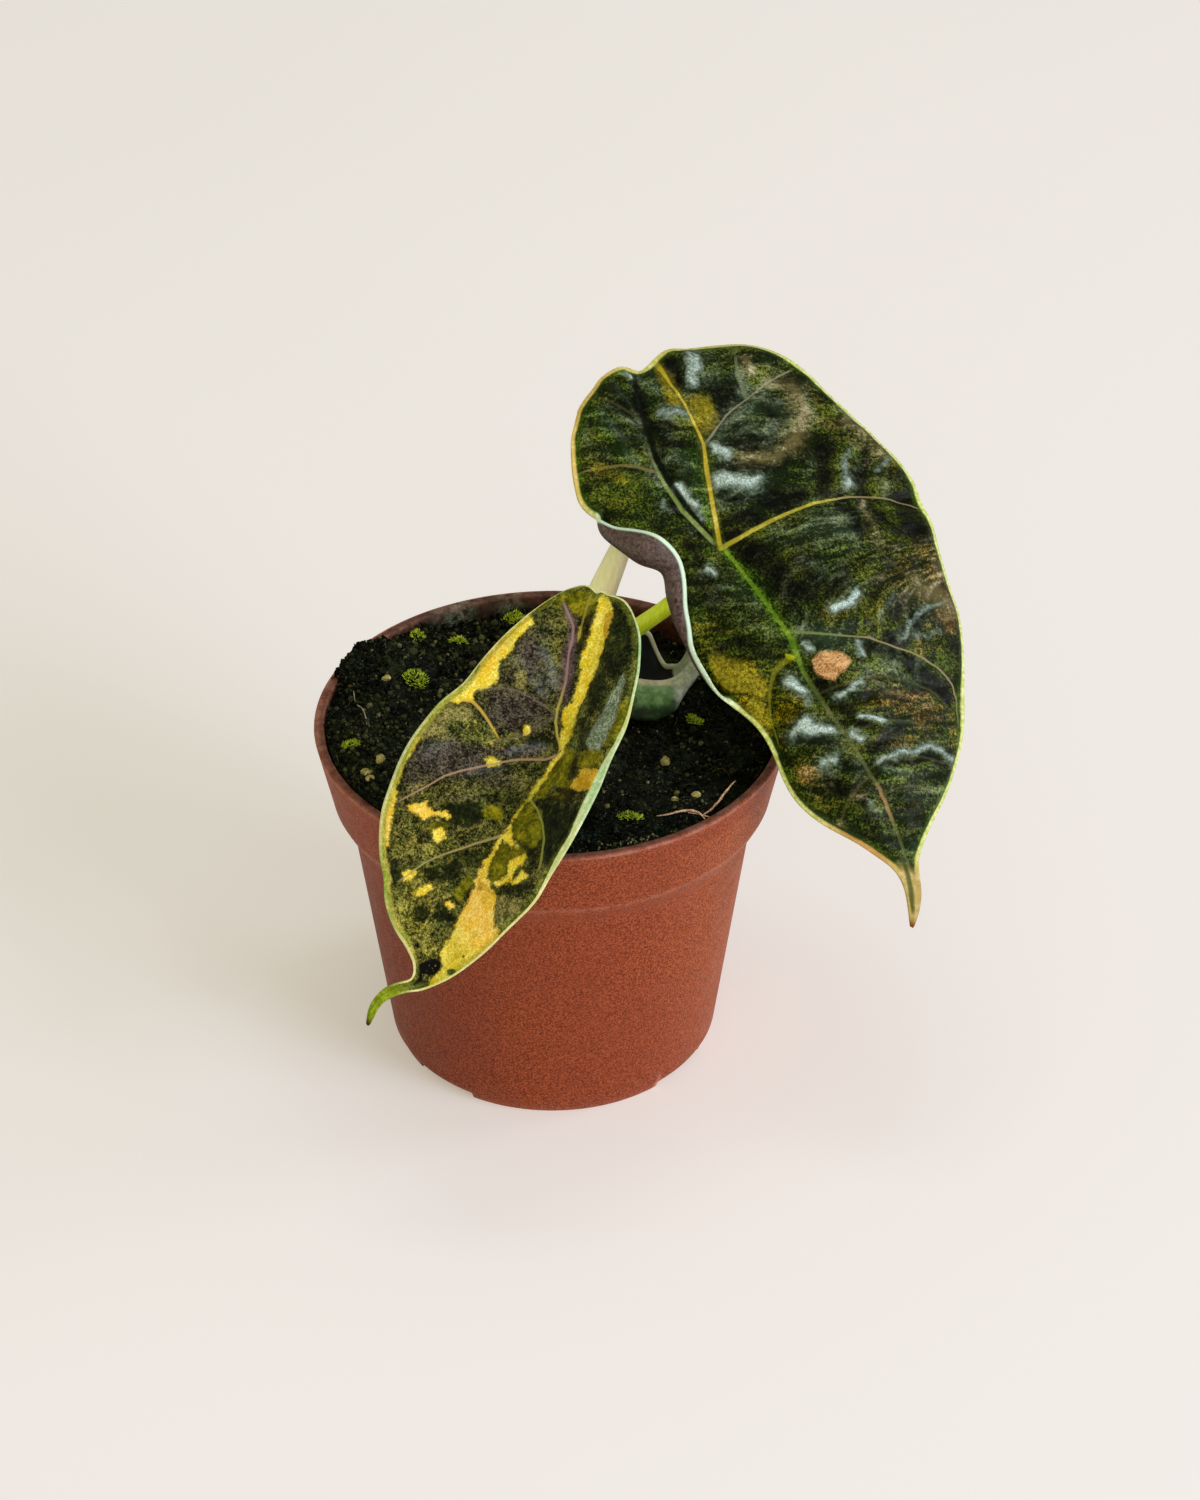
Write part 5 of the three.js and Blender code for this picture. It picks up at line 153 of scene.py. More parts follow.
# veins, patches, ridges and strokes of painted highlight and painted shade, laid out in the front view, mm
BIGM = {
    'mid': [(20.65,36.57),(21.7,35.17),(24.85,31.32),(28.35,26.77),(31.5,22.4),(33.77,19.25),(35.52,14.0),(38.26,9.52),(40.95,5.49),(43.57,1.92),(46.29,-2.54),(49.0,-7.0),(50.75,-11.46),(52.5,-15.92),(53.72,-19.6),(54.6,-22.75)],
    'rc': [(20.91,36.4),(19.51,44.1),(18.64,49.0),(18.11,53.38),(16.57,56.87),(14.61,60.72),(12.14,64.22),(9.62,67.9)],
    'lc': [(19.6,36.57),(14.61,41.65),(11.2,46.55),(9.1,50.75),(7.52,56.35),(6.3,61.6),(5.77,65.8)],
    'r1': [(21.7,35.52),(24.15,36.92),(27.3,38.67),(32.29,41.12),(37.19,43.05),(42.11,44.1),(46.02,44.27),(50.92,43.75),(55.12,42.44)],
    'r2': [(33.25,20.82),(35.88,20.47),(38.26,20.3),(42.7,19.95),(47.18,19.6),(49.0,18.9),(51.62,18.02),(54.25,17.15),(56.35,16.1),(58.62,14.52),(60.55,12.77),(61.77,10.85),(62.47,8.4),(62.65,4.9)],
    'ua': [(18.2,53.2),(19.42,54.6),(20.65,56.52),(22.05,58.45),(23.97,60.02),(26.25,61.77),(28.35,63.35),(31.15,65.1),(32.73,65.97)],
    'ua2': [(25.55,61.77),(24.67,63.35),(23.97,65.1),(23.62,67.2)],
    'll1': [(33.07,15.92),(31.85,15.05),(30.62,13.47),(29.92,11.38),(29.75,8.75),(29.92,5.25),(31.15,1.57)],
    'll2': [(47.42,-4.55),(45.85,-5.77),(44.27,-7.52),(43.22,-9.8),(42.52,-11.9),(42.17,-13.3)],
    'll3': [(44.1,1.4),(41.65,-0.35),(39.2,-3.15),(37.45,-6.3),(36.75,-8.75)],
    'lo1': [(9.62,48.65),(7.0,49.35),(3.85,49.7),(0.7,49.35),(-2.1,48.82),(-3.85,48.3)],
    'lo2': [(7.0,57.75),(4.38,59.5),(1.75,60.55),(-0.35,61.25)],
    'in1': [(14.52,42.35),(11.9,39.9),(9.1,38.85)],
    'r3': [(38.15,9.8),(42.0,11.2),(45.85,12.25),(49.88,12.42),(54.25,11.55),(58.1,9.8),(60.37,7.7)],
    'r4': [(43.57,2.1),(46.55,4.02),(49.7,5.07),(53.38,4.9),(56.87,3.85),(60.02,1.75)],
    'r5': [(46.9,-3.32),(49.35,-1.75),(52.5,-1.22),(56.0,-1.22),(59.15,-2.27)],
    'r6': [(49.35,-7.87),(52.15,-6.47),(54.95,-6.3),(57.75,-7.0)],
    'r7': [(45.85,38.5),(47.6,35.88),(49.7,33.25),(52.5,30.62),(56.0,28.35)],
    'olive': [(24.15,10.15,4.55,5.25,35,1.0),(25.38,14.35,3.85,2.1,0,0.75),(28.35,6.12,1.75,4.55,15,0.9),(33.25,6.12,4.2,3.5,0,0.8),(35.0,8.75,2.8,2.45,0,0.7),(32.38,1.4,2.1,1.75,0,0.7),(4.38,47.6,5.95,1.75,-8,0.49500000000000005),(0.0,49.0,2.8,2.1,0,0.7),(6.12,42.88,5.25,2.8,0,0.35),(8.75,49.0,3.5,1.4,0,0.5),(42.0,24.15,6.3,2.45,20,0.75),(47.25,24.15,3.85,2.45,40,0.5),(21.0,21.0,5.95,2.45,0,0.5),(15.75,61.25,1.75,1.05,0,0.9),(49.0,7.7,8.75,1.22,4,0.55),(52.5,2.62,5.95,1.22,4,0.4),(50.75,-6.12,5.25,0.7,4,0.5),(11.9,63.35,1.75,2.8,30,1.0),(53.38,52.5,2.45,4.55,35,0.6),(47.25,54.25,4.2,2.45,35,0.4),(31.5,47.25,3.5,1.4,10,0.4),(30.62,-2.62,1.4,4.2,30,0.5),(9.62,62.12,1.75,2.1,0,0.3),(38.5,56.0,4.55,2.8,0,0.2),(23.62,30.1,1.75,1.4,-30,0.5),(15.75,21.88,2.45,1.05,-20,0.5),(61.25,2.62,1.4,7.0,0,0.5),(42.0,31.5,7.0,2.8,10,0.2),(4.38,41.12,3.5,1.4,0,0.3),(24.85,10.5,5.25,5.95,0,0.75),(51.62,51.62,3.85,4.9,-40,0.7),(56.0,35.88,4.55,4.55,0,0.5),(18.38,19.25,4.2,4.55,0,0.45),(12.25,40.25,4.55,2.8,0,0.3)],
    'bronze': [(60.2,24.85,2.45,6.3,8,1.0),(56.87,18.9,3.85,4.2,0,0.55),(58.62,33.25,2.45,6.3,10,0.6),(53.38,30.62,5.25,4.2,0,0.55),(41.65,54.25,6.3,2.45,-40,0.45),(52.5,8.75,8.75,3.15,6,0.7),(56.87,6.12,4.55,3.5,0,0.7),(37.1,-3.85,3.5,2.8,0,0.8),(41.12,-8.75,4.55,2.45,0,0.45),(37.62,59.5,1.75,7.0,10,0.4),(50.75,0.88,8.75,1.75,4,0.5),(53.38,-10.5,3.85,3.85,0,0.4),(47.25,5.25,5.25,1.4,0,0.3),(45.5,33.25,5.25,1.75,0,0.3),(35.0,-1.75,2.1,2.45,0,0.5),(49.0,26.25,3.5,2.45,0,0.3),(53.38,49.0,4.55,5.95,-30,0.5),(56.87,33.25,3.5,7.0,10,0.6),(49.0,0.88,8.75,3.5,0,0.45)],
    'deep': [(25.38,30.62,3.85,10.5,38,0.9),(34.12,17.5,2.45,7.0,30,0.8),(18.55,47.25,2.1,10.5,6,0.7),(24.15,35.35,3.15,2.45,0,0.7),(43.75,5.25,5.25,3.5,40,0.35),(7.0,63.87,3.5,3.5,0,0.3),(17.5,33.25,3.5,2.45,0,0.4)],
    'mauve': [(50.75,13.12,7.0,3.5,0,0.5),(55.12,8.75,5.25,3.5,0,0.4),(47.25,36.75,4.2,5.25,0,0.35),(34.12,70.0,7.0,2.1,-20,0.2),(22.75,61.25,5.25,7.0,0,0.25),(52.5,14.87,3.5,3.15,0,0.4)],
    'olive_crisp': [[(17.32,61.25),(18.9,61.07),(19.42,59.5),(20.65,58.1),(20.47,56.7),(19.6,55.65),(18.55,55.3),(17.5,55.3),(16.8,56.35),(15.75,58.1),(15.05,59.5),(15.75,60.55)],[(10.5,67.2),(11.9,65.8),(13.3,63.35),(14.17,62.12),(14.7,60.37),(14.0,59.85),(12.6,59.67),(11.9,60.9),(11.2,62.65),(10.15,65.1),(9.62,66.85)],[(20.3,16.62),(21.88,16.62),(23.62,15.4),(26.95,14.52),(28.35,12.6),(29.4,10.85),(29.05,8.75),(29.4,6.12),(29.75,2.97),(28.35,3.15),(26.25,5.25),(23.62,7.7),(21.35,9.97),(19.95,11.9),(18.9,14.0)]],
    'blemish': [(38.15,16.8),(39.55,17.15),(41.65,16.97),(43.05,16.27),(43.92,15.05),(43.05,13.65),(41.65,12.95),(41.3,12.07),(39.9,12.07),(38.15,12.95),(37.45,14.35),(37.1,15.57)],
    'tanedge': [(46.38,-17.15,8.75,2.8,-28,1.0),(53.38,-23.62,2.45,5.25,-10,0.9),(54.6,-30.62,1.05,2.8,0,1.0)],
    'midl': [(21.7,35.0),(24.85,31.15),(28.35,26.6),(30.8,23.1),(32.9,19.95),(34.65,15.4),(37.27,10.15),(40.6,4.9)],
    # strokes of painted highlight (silvery, grey haze, warm), of painted shade in the creases (dark) and of green leaf
    # colour
    'silver': [([(15.4,68.95),(15.75,66.5),(15.4,63.7)],0.66,0.8400000000000001),([(16.97,68.6),(16.8,65.62),(16.27,63.17)],0.66,0.784),([(5.07,65.97),(5.95,64.75)],0.58,0.8960000000000001),([(10.85,58.45),(12.95,58.8),(15.22,58.62)],0.75,0.56),([(13.47,45.67),(15.05,44.1),(16.97,42.52)],0.75,0.8960000000000001),([(14.7,44.8),(16.27,42.35),(17.85,40.77)],0.66,0.6160000000000001),([(11.2,43.22),(11.72,42.35)],0.58,0.56),([(19.77,53.2),(20.82,52.15),(22.22,51.27)],0.66,0.8960000000000001),([(20.3,46.9),(22.4,46.55),(24.67,46.72)],1.16,1),([(24.15,46.38),(25.9,46.55),(27.47,46.55)],1.16,0.8400000000000001),([(43.05,46.9),(43.4,46.2)],0.58,0.8960000000000001),([(42.88,51.45),(42.35,49.0),(42.52,45.67)],0.46,0.56),([(48.3,48.47),(49.35,50.05)],0.6,0.5040000000000001),([(18.9,31.67),(19.95,31.32)],0.57,1),([(33.07,12.25),(34.3,11.2),(35.35,10.32)],0.66,0.9520000000000001),([(36.05,9.27),(37.1,8.22)],0.57,0.44800000000000006),([(35.88,18.38),(36.92,17.15)],0.5,0.7280000000000001),([(40.95,24.32),(42.88,25.72),(44.27,26.95)],0.66,1),([(41.65,9.45),(43.75,10.5),(45.85,11.38)],0.52,0.8400000000000001),([(33.95,2.62),(35.52,3.85),(36.92,4.55)],0.83,1),([(36.4,3.15),(38.32,3.5),(40.42,3.5)],1.0,1),([(39.2,-2.27),(41.3,-1.75)],0.76,0.8400000000000001),([(44.97,18.72),(45.15,16.27)],0.5,0.672),([(47.95,22.92),(49.35,24.67),(50.57,26.25)],0.37,0.336),([(53.02,19.77),(53.9,22.05),(55.65,23.8),(57.75,24.85),(59.5,25.72)],0.46,0.5376000000000001),([(54.77,20.12),(56.87,19.25),(58.62,20.47)],0.75,0.28224),([(45.15,5.25),(47.25,5.42),(49.17,4.9)],0.4,0.9520000000000001),([(43.75,2.62),(45.32,2.1)],0.55,0.8400000000000001),([(48.3,-2.1),(50.4,-1.05),(53.38,-0.35),(56.87,0.35),(59.15,-0.35),(60.55,-1.75)],0.55,0.6944),([(47.25,-8.75),(47.6,-9.27)],0.4,0.56),([(28.35,56.87),(29.75,56.35),(31.15,56.0)],0.26,0.392),([(30.1,60.37),(32.2,59.67)],0.25,0.392)],
    'painted_soft_highlight': [([(18.02,66.85),(19.77,67.2)],1.05,0.4),([(18.55,64.4),(20.3,65.1)],1.05,0.3),([(6.65,65.8),(8.05,63.87),(9.8,62.47)],1.22,0.5),([(2.62,63.7),(4.38,61.6),(6.3,58.45),(7.7,56.17)],0.42,0.4),([(1.4,60.37),(3.15,58.62),(5.77,57.05)],0.49,0.42),([(-2.27,55.12),(-1.57,52.32)],0.7,0.35),([(0.0,52.15),(2.1,50.4)],1.05,0.18),([(9.62,55.12),(12.6,54.6),(15.4,54.95)],0.7,0.25),([(11.9,50.22),(13.65,51.1),(15.4,49.7),(14.0,48.3)],0.96,0.55),([(15.75,48.3),(16.45,46.55)],0.7,0.3),([(14.35,39.38),(16.1,38.32)],0.52,0.25),([(19.6,54.25),(21.35,56.7),(23.62,58.8),(26.6,60.55)],1.4,0.42),([(21.7,56.0),(24.5,57.57),(27.3,58.97),(29.75,60.37)],1.57,0.34),([(24.15,64.58),(24.85,61.77)],0.56,0.6),([(25.2,61.6),(27.3,62.82),(29.4,63.87)],0.79,0.5),([(25.72,68.07),(26.07,65.97)],0.52,0.35),([(28.87,67.2),(30.62,66.15)],1.22,0.3),([(21.88,68.25),(23.62,66.15)],1.05,0.16),([(36.05,51.45),(36.05,47.42)],0.52,0.35),([(43.75,52.15),(44.27,48.82)],0.7,0.3),([(49.7,46.2),(49.88,44.97)],0.7,0.42),([(35.88,38.32),(38.15,40.07),(40.6,40.6),(42.17,39.2)],1.57,0.5),([(37.45,35.88),(40.25,35.35)],0.88,0.42),([(41.3,36.75),(44.27,35.7)],1.05,0.4),([(30.1,38.15),(33.25,38.15)],1.4,0.28),([(30.1,36.57),(30.97,36.92)],0.61,0.3),([(35.0,19.42),(38.15,18.9),(41.3,18.38),(43.75,18.9)],1.22,0.45),([(45.85,32.73),(48.3,33.25)],0.35,0.3),([(44.1,-4.55),(45.85,-3.5)],0.79,0.35),([(49.0,-3.32),(52.5,-4.2),(56.17,-4.55)],0.79,0.4),([(50.57,-8.75),(53.38,-8.4),(57.05,-8.75)],0.79,0.42),([(51.8,-11.02),(55.3,-10.5)],0.52,0.2),([(53.02,-14.87),(54.07,-17.5)],1.4,0.34),([(49.0,4.72),(51.8,4.38),(54.77,4.9)],0.42,0.4),([(45.85,1.22),(46.9,1.05)],0.42,0.35),([(49.88,15.4),(51.62,13.3),(53.02,11.2)],1.4,0.45),([(47.25,16.27),(48.47,15.05)],0.88,0.3),([(55.3,14.35),(54.6,10.32)],0.79,0.42),([(23.62,25.55),(27.12,26.25)],1.75,0.12),([(32.55,26.25),(35.0,24.15)],2.1,0.1),([(17.5,26.25),(21.0,25.2)],2.1,0.12),([(45.15,1.75),(47.25,-1.75)],1.4,0.14),([(42.88,-0.35),(45.85,-3.15)],0.88,0.25),([(53.38,10.5),(57.75,8.75)],1.05,0.15),([(45.5,10.15),(49.88,10.85)],0.7,0.2),([(35.88,20.65),(39.38,19.25),(42.0,19.6)],1.57,0.75),([(15.75,66.15),(18.9,64.05)],1.22,0.5),([(12.6,62.65),(15.75,61.6)],1.05,0.35),([(7.0,54.25),(8.75,52.15)],0.88,0.35),([(37.62,38.85),(41.65,37.45)],1.75,0.5),([(24.85,56.87),(28.35,55.65),(30.1,54.25)],2.27,0.42),([(29.75,59.85),(32.55,57.75),(32.2,54.6)],1.57,0.4),([(19.6,54.07),(21.35,56.0),(23.45,57.92),(25.9,59.85),(28.0,61.6)],1.22,0.75),([(23.97,65.1),(25.02,63.35),(25.9,62.3)],0.88,0.6),([(39.2,40.25),(41.3,38.5),(42.88,36.75)],1.22,0.6),([(20.65,42.88),(23.1,42.35),(25.2,42.52)],0.7,0.55),([(35.0,33.25),(40.25,30.62),(44.62,28.0)],1.4,0.25),([(24.5,26.25),(28.87,25.2)],1.4,0.3),([(20.12,28.0),(25.38,28.35)],1.05,0.3),([(35.0,62.12),(37.1,57.75)],1.05,0.3),([(0.0,58.62),(3.5,54.25),(6.12,49.88)],0.88,0.45),([(9.1,49.0),(11.9,45.5)],0.88,0.5),([(49.0,-7.0),(54.25,-6.65),(58.62,-7.35)],0.88,0.35),([(47.25,-10.5),(51.62,-10.85)],0.7,0.35),([(45.5,14.0),(49.0,10.5)],1.4,0.4),([(25.38,22.75),(29.75,20.65)],1.05,0.25)],
    'warm': [([(29.4,63.52),(32.55,63.0),(34.47,60.72),(35.35,57.92),(35.0,55.3),(33.95,53.2)],0.96,0.62),([(24.5,50.57),(27.65,50.4),(30.62,51.1),(33.25,52.32)],0.73,0.62),([(22.4,51.1),(24.85,50.57)],0.52,0.5),([(31.85,54.25),(33.25,52.67)],1.05,0.4),([(45.67,43.05),(46.55,40.25),(47.6,36.75),(49.17,35.17)],0.52,0.5),([(58.8,26.07),(60.2,26.42)],0.88,0.65),([(50.4,10.15),(51.8,9.27)],0.42,0.6),([(47.6,11.72),(48.12,11.38)],0.42,0.9),([(44.27,-8.22),(45.85,-7.7)],0.45,0.5),([(42.17,-12.77),(42.52,-13.12)],0.35,1.0),([(50.22,35.0),(50.92,34.82)],0.39,0.6),([(35.0,54.25),(37.1,56.0)],1.75,0.12),([(45.5,28.87),(49.0,29.75)],0.88,0.25),([(49.88,26.25),(53.38,28.35)],1.22,0.2),([(53.38,30.45),(56.87,31.15)],1.05,0.16),([(36.75,-3.85),(38.85,-4.55)],1.22,0.3),([(56.87,6.12),(58.62,4.9)],1.4,0.2),([(53.9,7.7),(55.65,8.4)],0.88,0.25),([(29.75,69.47),(32.38,67.9)],0.7,0.3),([(21.0,30.8),(23.1,29.75)],1.05,0.16),([(42.88,56.87),(45.5,54.25),(48.65,51.62)],1.4,0.55),([(55.12,28.0),(58.62,26.25),(60.37,24.15)],1.75,0.75),([(56.87,33.25),(59.15,29.75)],1.4,0.4),([(32.55,61.6),(34.3,58.62),(33.6,54.95)],1.75,0.4),([(32.9,62.65),(34.82,60.37),(35.52,57.75),(35.0,55.3),(33.6,53.2)],0.96,0.9),([(24.85,50.57),(28.0,50.4),(31.15,51.27),(33.25,52.67)],0.7,0.85),([(25.2,67.2),(25.9,65.8)],0.61,0.8)],
    'painted_crease_shade': [([(21.0,49.88),(24.5,49.17),(28.35,49.35)],0.88,0.9),([(21.35,54.25),(24.5,53.02),(29.05,52.5)],0.79,0.8),([(21.35,44.45),(24.5,43.92),(28.0,44.45)],0.52,0.7),([(23.97,55.3),(27.12,54.25),(30.8,54.6)],1.05,0.7),([(19.95,62.65),(21.52,60.72),(23.8,61.6)],1.75,1.0),([(12.6,67.9),(13.12,63.87)],0.7,0.9),([(42.88,43.05),(43.75,40.25),(45.15,37.45)],1.05,1.0),([(46.9,43.05),(49.35,39.9)],0.88,0.7),([(45.5,18.38),(50.05,17.32),(53.9,15.75)],1.05,1.0),([(53.55,15.05),(57.22,12.42),(60.37,9.27)],1.22,0.9),([(45.15,3.85),(47.6,3.67)],0.61,1.0),([(49.0,-2.62),(52.5,-1.92),(56.87,-1.4),(59.67,-2.8)],0.63,0.9),([(49.88,-6.12),(53.38,-6.47)],0.52,0.3),([(45.5,-8.4),(46.9,-11.38)],1.4,0.6),([(40.07,-4.38),(42.35,-7.35)],1.57,0.7),([(51.1,23.62),(52.85,25.72)],1.4,0.7),([(53.55,20.3),(54.77,22.05),(56.35,23.1)],0.59,0.8),([(6.3,63.35),(7.35,59.85),(8.75,56.0)],0.88,0.9),([(8.75,53.38),(9.8,50.4),(11.9,47.25)],0.7,0.8),([(15.75,35.88),(17.5,33.25)],1.57,0.6),([(8.75,34.12),(12.25,33.25)],1.4,0.5),([(30.62,49.0),(33.25,49.88)],1.05,0.5),([(38.85,51.62),(39.2,46.38)],1.4,0.4),([(46.02,51.62),(46.2,45.5)],0.88,0.5),([(35.0,66.5),(37.62,63.87)],0.88,0.5),([(41.12,7.87),(43.75,6.65)],1.22,0.8),([(39.9,10.5),(38.85,12.25)],0.88,0.8),([(29.75,30.62),(33.25,26.25),(35.0,22.75)],1.4,0.5),([(37.1,0.88),(39.38,2.1),(41.65,0.35)],0.88,0.6),([(42.35,-1.75),(43.4,-3.5)],0.7,0.6),([(23.62,35.88),(29.75,34.65)],1.22,0.5),([(7.0,47.25),(9.1,43.75)],1.4,0.35),([(2.1,56.0),(4.38,54.25)],1.4,0.4),([(9.62,56.87),(12.6,56.52)],0.7,0.7),([(10.5,52.85),(14.0,52.85)],0.7,0.8),([(16.27,42.35),(15.05,43.75)],0.26,0.8),([(12.95,42.88),(15.4,39.9),(17.85,37.1)],0.42,0.8),([(28.0,60.37),(30.1,58.45)],1.05,0.5),([(21.88,63.87),(23.27,65.1)],0.88,0.6),([(55.12,0.88),(57.75,1.4)],0.52,0.3),([(43.75,8.75),(46.9,8.75)],0.7,0.5),([(28.87,44.1),(32.38,42.88),(35.0,44.1)],1.75,0.85),([(38.5,52.15),(38.85,45.85)],1.92,0.8),([(45.15,47.6),(45.85,42.35)],1.57,0.8),([(53.02,43.22),(54.95,37.62)],2.45,0.8),([(21.35,39.9),(27.3,40.42)],1.22,0.85),([(32.02,29.05),(37.62,26.6)],1.75,0.7),([(17.5,28.87),(19.6,26.25)],1.4,0.5),([(-2.62,35.88),(0.0,33.25)],1.05,0.4),([(49.0,29.75),(46.9,26.25)],1.4,0.5),([(15.75,40.25),(16.45,37.1)],0.7,0.5),([(23.62,35.88),(28.87,33.25),(33.25,28.0)],2.45,0.8),([(21.35,49.35),(24.85,48.82),(28.7,49.17)],0.79,1.0),([(21.7,53.38),(25.2,52.32),(29.4,52.5)],0.7,1.0),([(20.65,43.92),(24.15,43.4),(27.65,43.92)],0.52,1.0),([(35.0,33.25),(39.38,28.0),(42.0,29.75)],2.45,0.55),([(24.15,61.25),(22.4,59.15),(20.3,56.35)],0.88,0.9),([(29.75,59.15),(30.8,56.35),(29.05,54.25)],1.22,0.7),([(41.65,43.75),(43.05,41.65),(44.8,38.5)],1.05,1.0),([(38.5,14.87),(42.0,10.5)],1.4,0.6),([(15.75,35.88),(18.55,30.62),(21.35,26.25)],1.4,0.55),([(21.0,16.62),(23.62,19.25),(28.87,17.5)],1.22,0.5),([(3.85,60.37),(7.0,56.87)],2.1,0.55),([(8.4,56.87),(11.2,54.25),(9.62,49.0)],1.4,0.65),([(52.5,47.25),(56.87,40.25)],2.45,0.5),([(45.5,43.75),(49.0,40.25),(53.38,36.75)],1.75,0.5),([(50.75,19.25),(51.45,19.25)],1.4,0.9),([(50.75,16.62),(54.6,22.4)],1.57,0.8),([(47.6,0.35),(51.1,3.5)],1.57,0.6)],
    'greens': [([(60.55,-5.77),(58.8,-9.27),(56.7,-12.95),(55.3,-16.45)],0.88,0.9),([(62.12,7.87),(62.3,2.62),(61.6,-1.75)],0.88,0.35),([(1.4,66.15),(3.5,66.33),(5.25,65.1)],1.22,0.7),([(14.0,69.47),(21.0,69.65)],0.88,0.5),([(-3.5,57.75),(-4.02,53.38),(-3.5,47.25),(-2.1,43.75)],0.88,0.5),([(35.0,66.15),(40.25,61.6),(43.75,58.1)],0.52,0.6),([(17.5,49.0),(18.38,43.75),(19.25,39.38)],1.05,0.9),([(15.75,54.25),(16.97,50.75)],0.88,0.5),([(0.0,43.75),(3.5,40.25),(7.0,38.85)],1.4,0.3),([(38.5,22.4),(42.0,23.1),(45.5,24.5)],1.22,0.45),([(25.38,19.25),(29.75,19.25)],1.4,0.25),([(41.65,6.65),(40.25,8.75)],1.05,0.5),([(53.38,56.87),(49.0,53.38)],0.52,0.3),([(1.75,54.25),(7.0,51.62)],1.75,0.3),([(7.0,43.75),(12.25,40.25)],1.57,0.25),([(19.25,35.35),(15.75,34.12)],1.22,0.7),([(38.5,26.25),(35.0,25.38)],1.75,0.2),([(56.0,28.0),(57.75,22.75)],0.7,0.15),([(-1.75,59.5),(1.75,54.25),(7.0,49.0),(11.38,43.75)],2.8,0.55),([(7.0,62.12),(9.62,60.37)],1.4,0.45),([(17.5,64.75),(18.55,62.65)],1.05,0.4),([(40.25,54.25),(43.75,43.75)],3.15,0.3),([(15.75,51.62),(16.97,43.75),(17.85,38.5)],1.22,0.7),([(15.4,51.62),(20.3,46.2)],2.1,0.8)],
    'nodes': [(20.65,35.88,1.05,0.88,0,0.5),(33.42,16.27,0.88,0.7,0,1.0),(32.2,15.05,0.52,0.88,-30,0.6),(18.2,53.2,0.88,0.88,0,0.3),(34.47,19.25,0.7,0.52,0,0.5)],
    'goldedge': [(-4.38,54.25,4.2,15.75,0,1.0),(0.0,63.87,7.0,5.25,40,0.9),(8.75,69.65,4.55,2.8,0,0.6),(20.12,69.65,8.75,2.45,0,0.45)],
    'goldside': [(23.62,8.75,5.95,10.5,40,1.0)],
    'lc_fold_shade': [(20.3,36.57),(15.75,41.65),(12.25,46.55),(9.97,50.75),(8.22,56.0),(6.65,61.25),(5.95,65.8)],
    'groove': [(53.02,-19.6),(53.72,-21.35),(54.25,-23.62),(54.42,-25.9),(54.6,-27.65)],
}
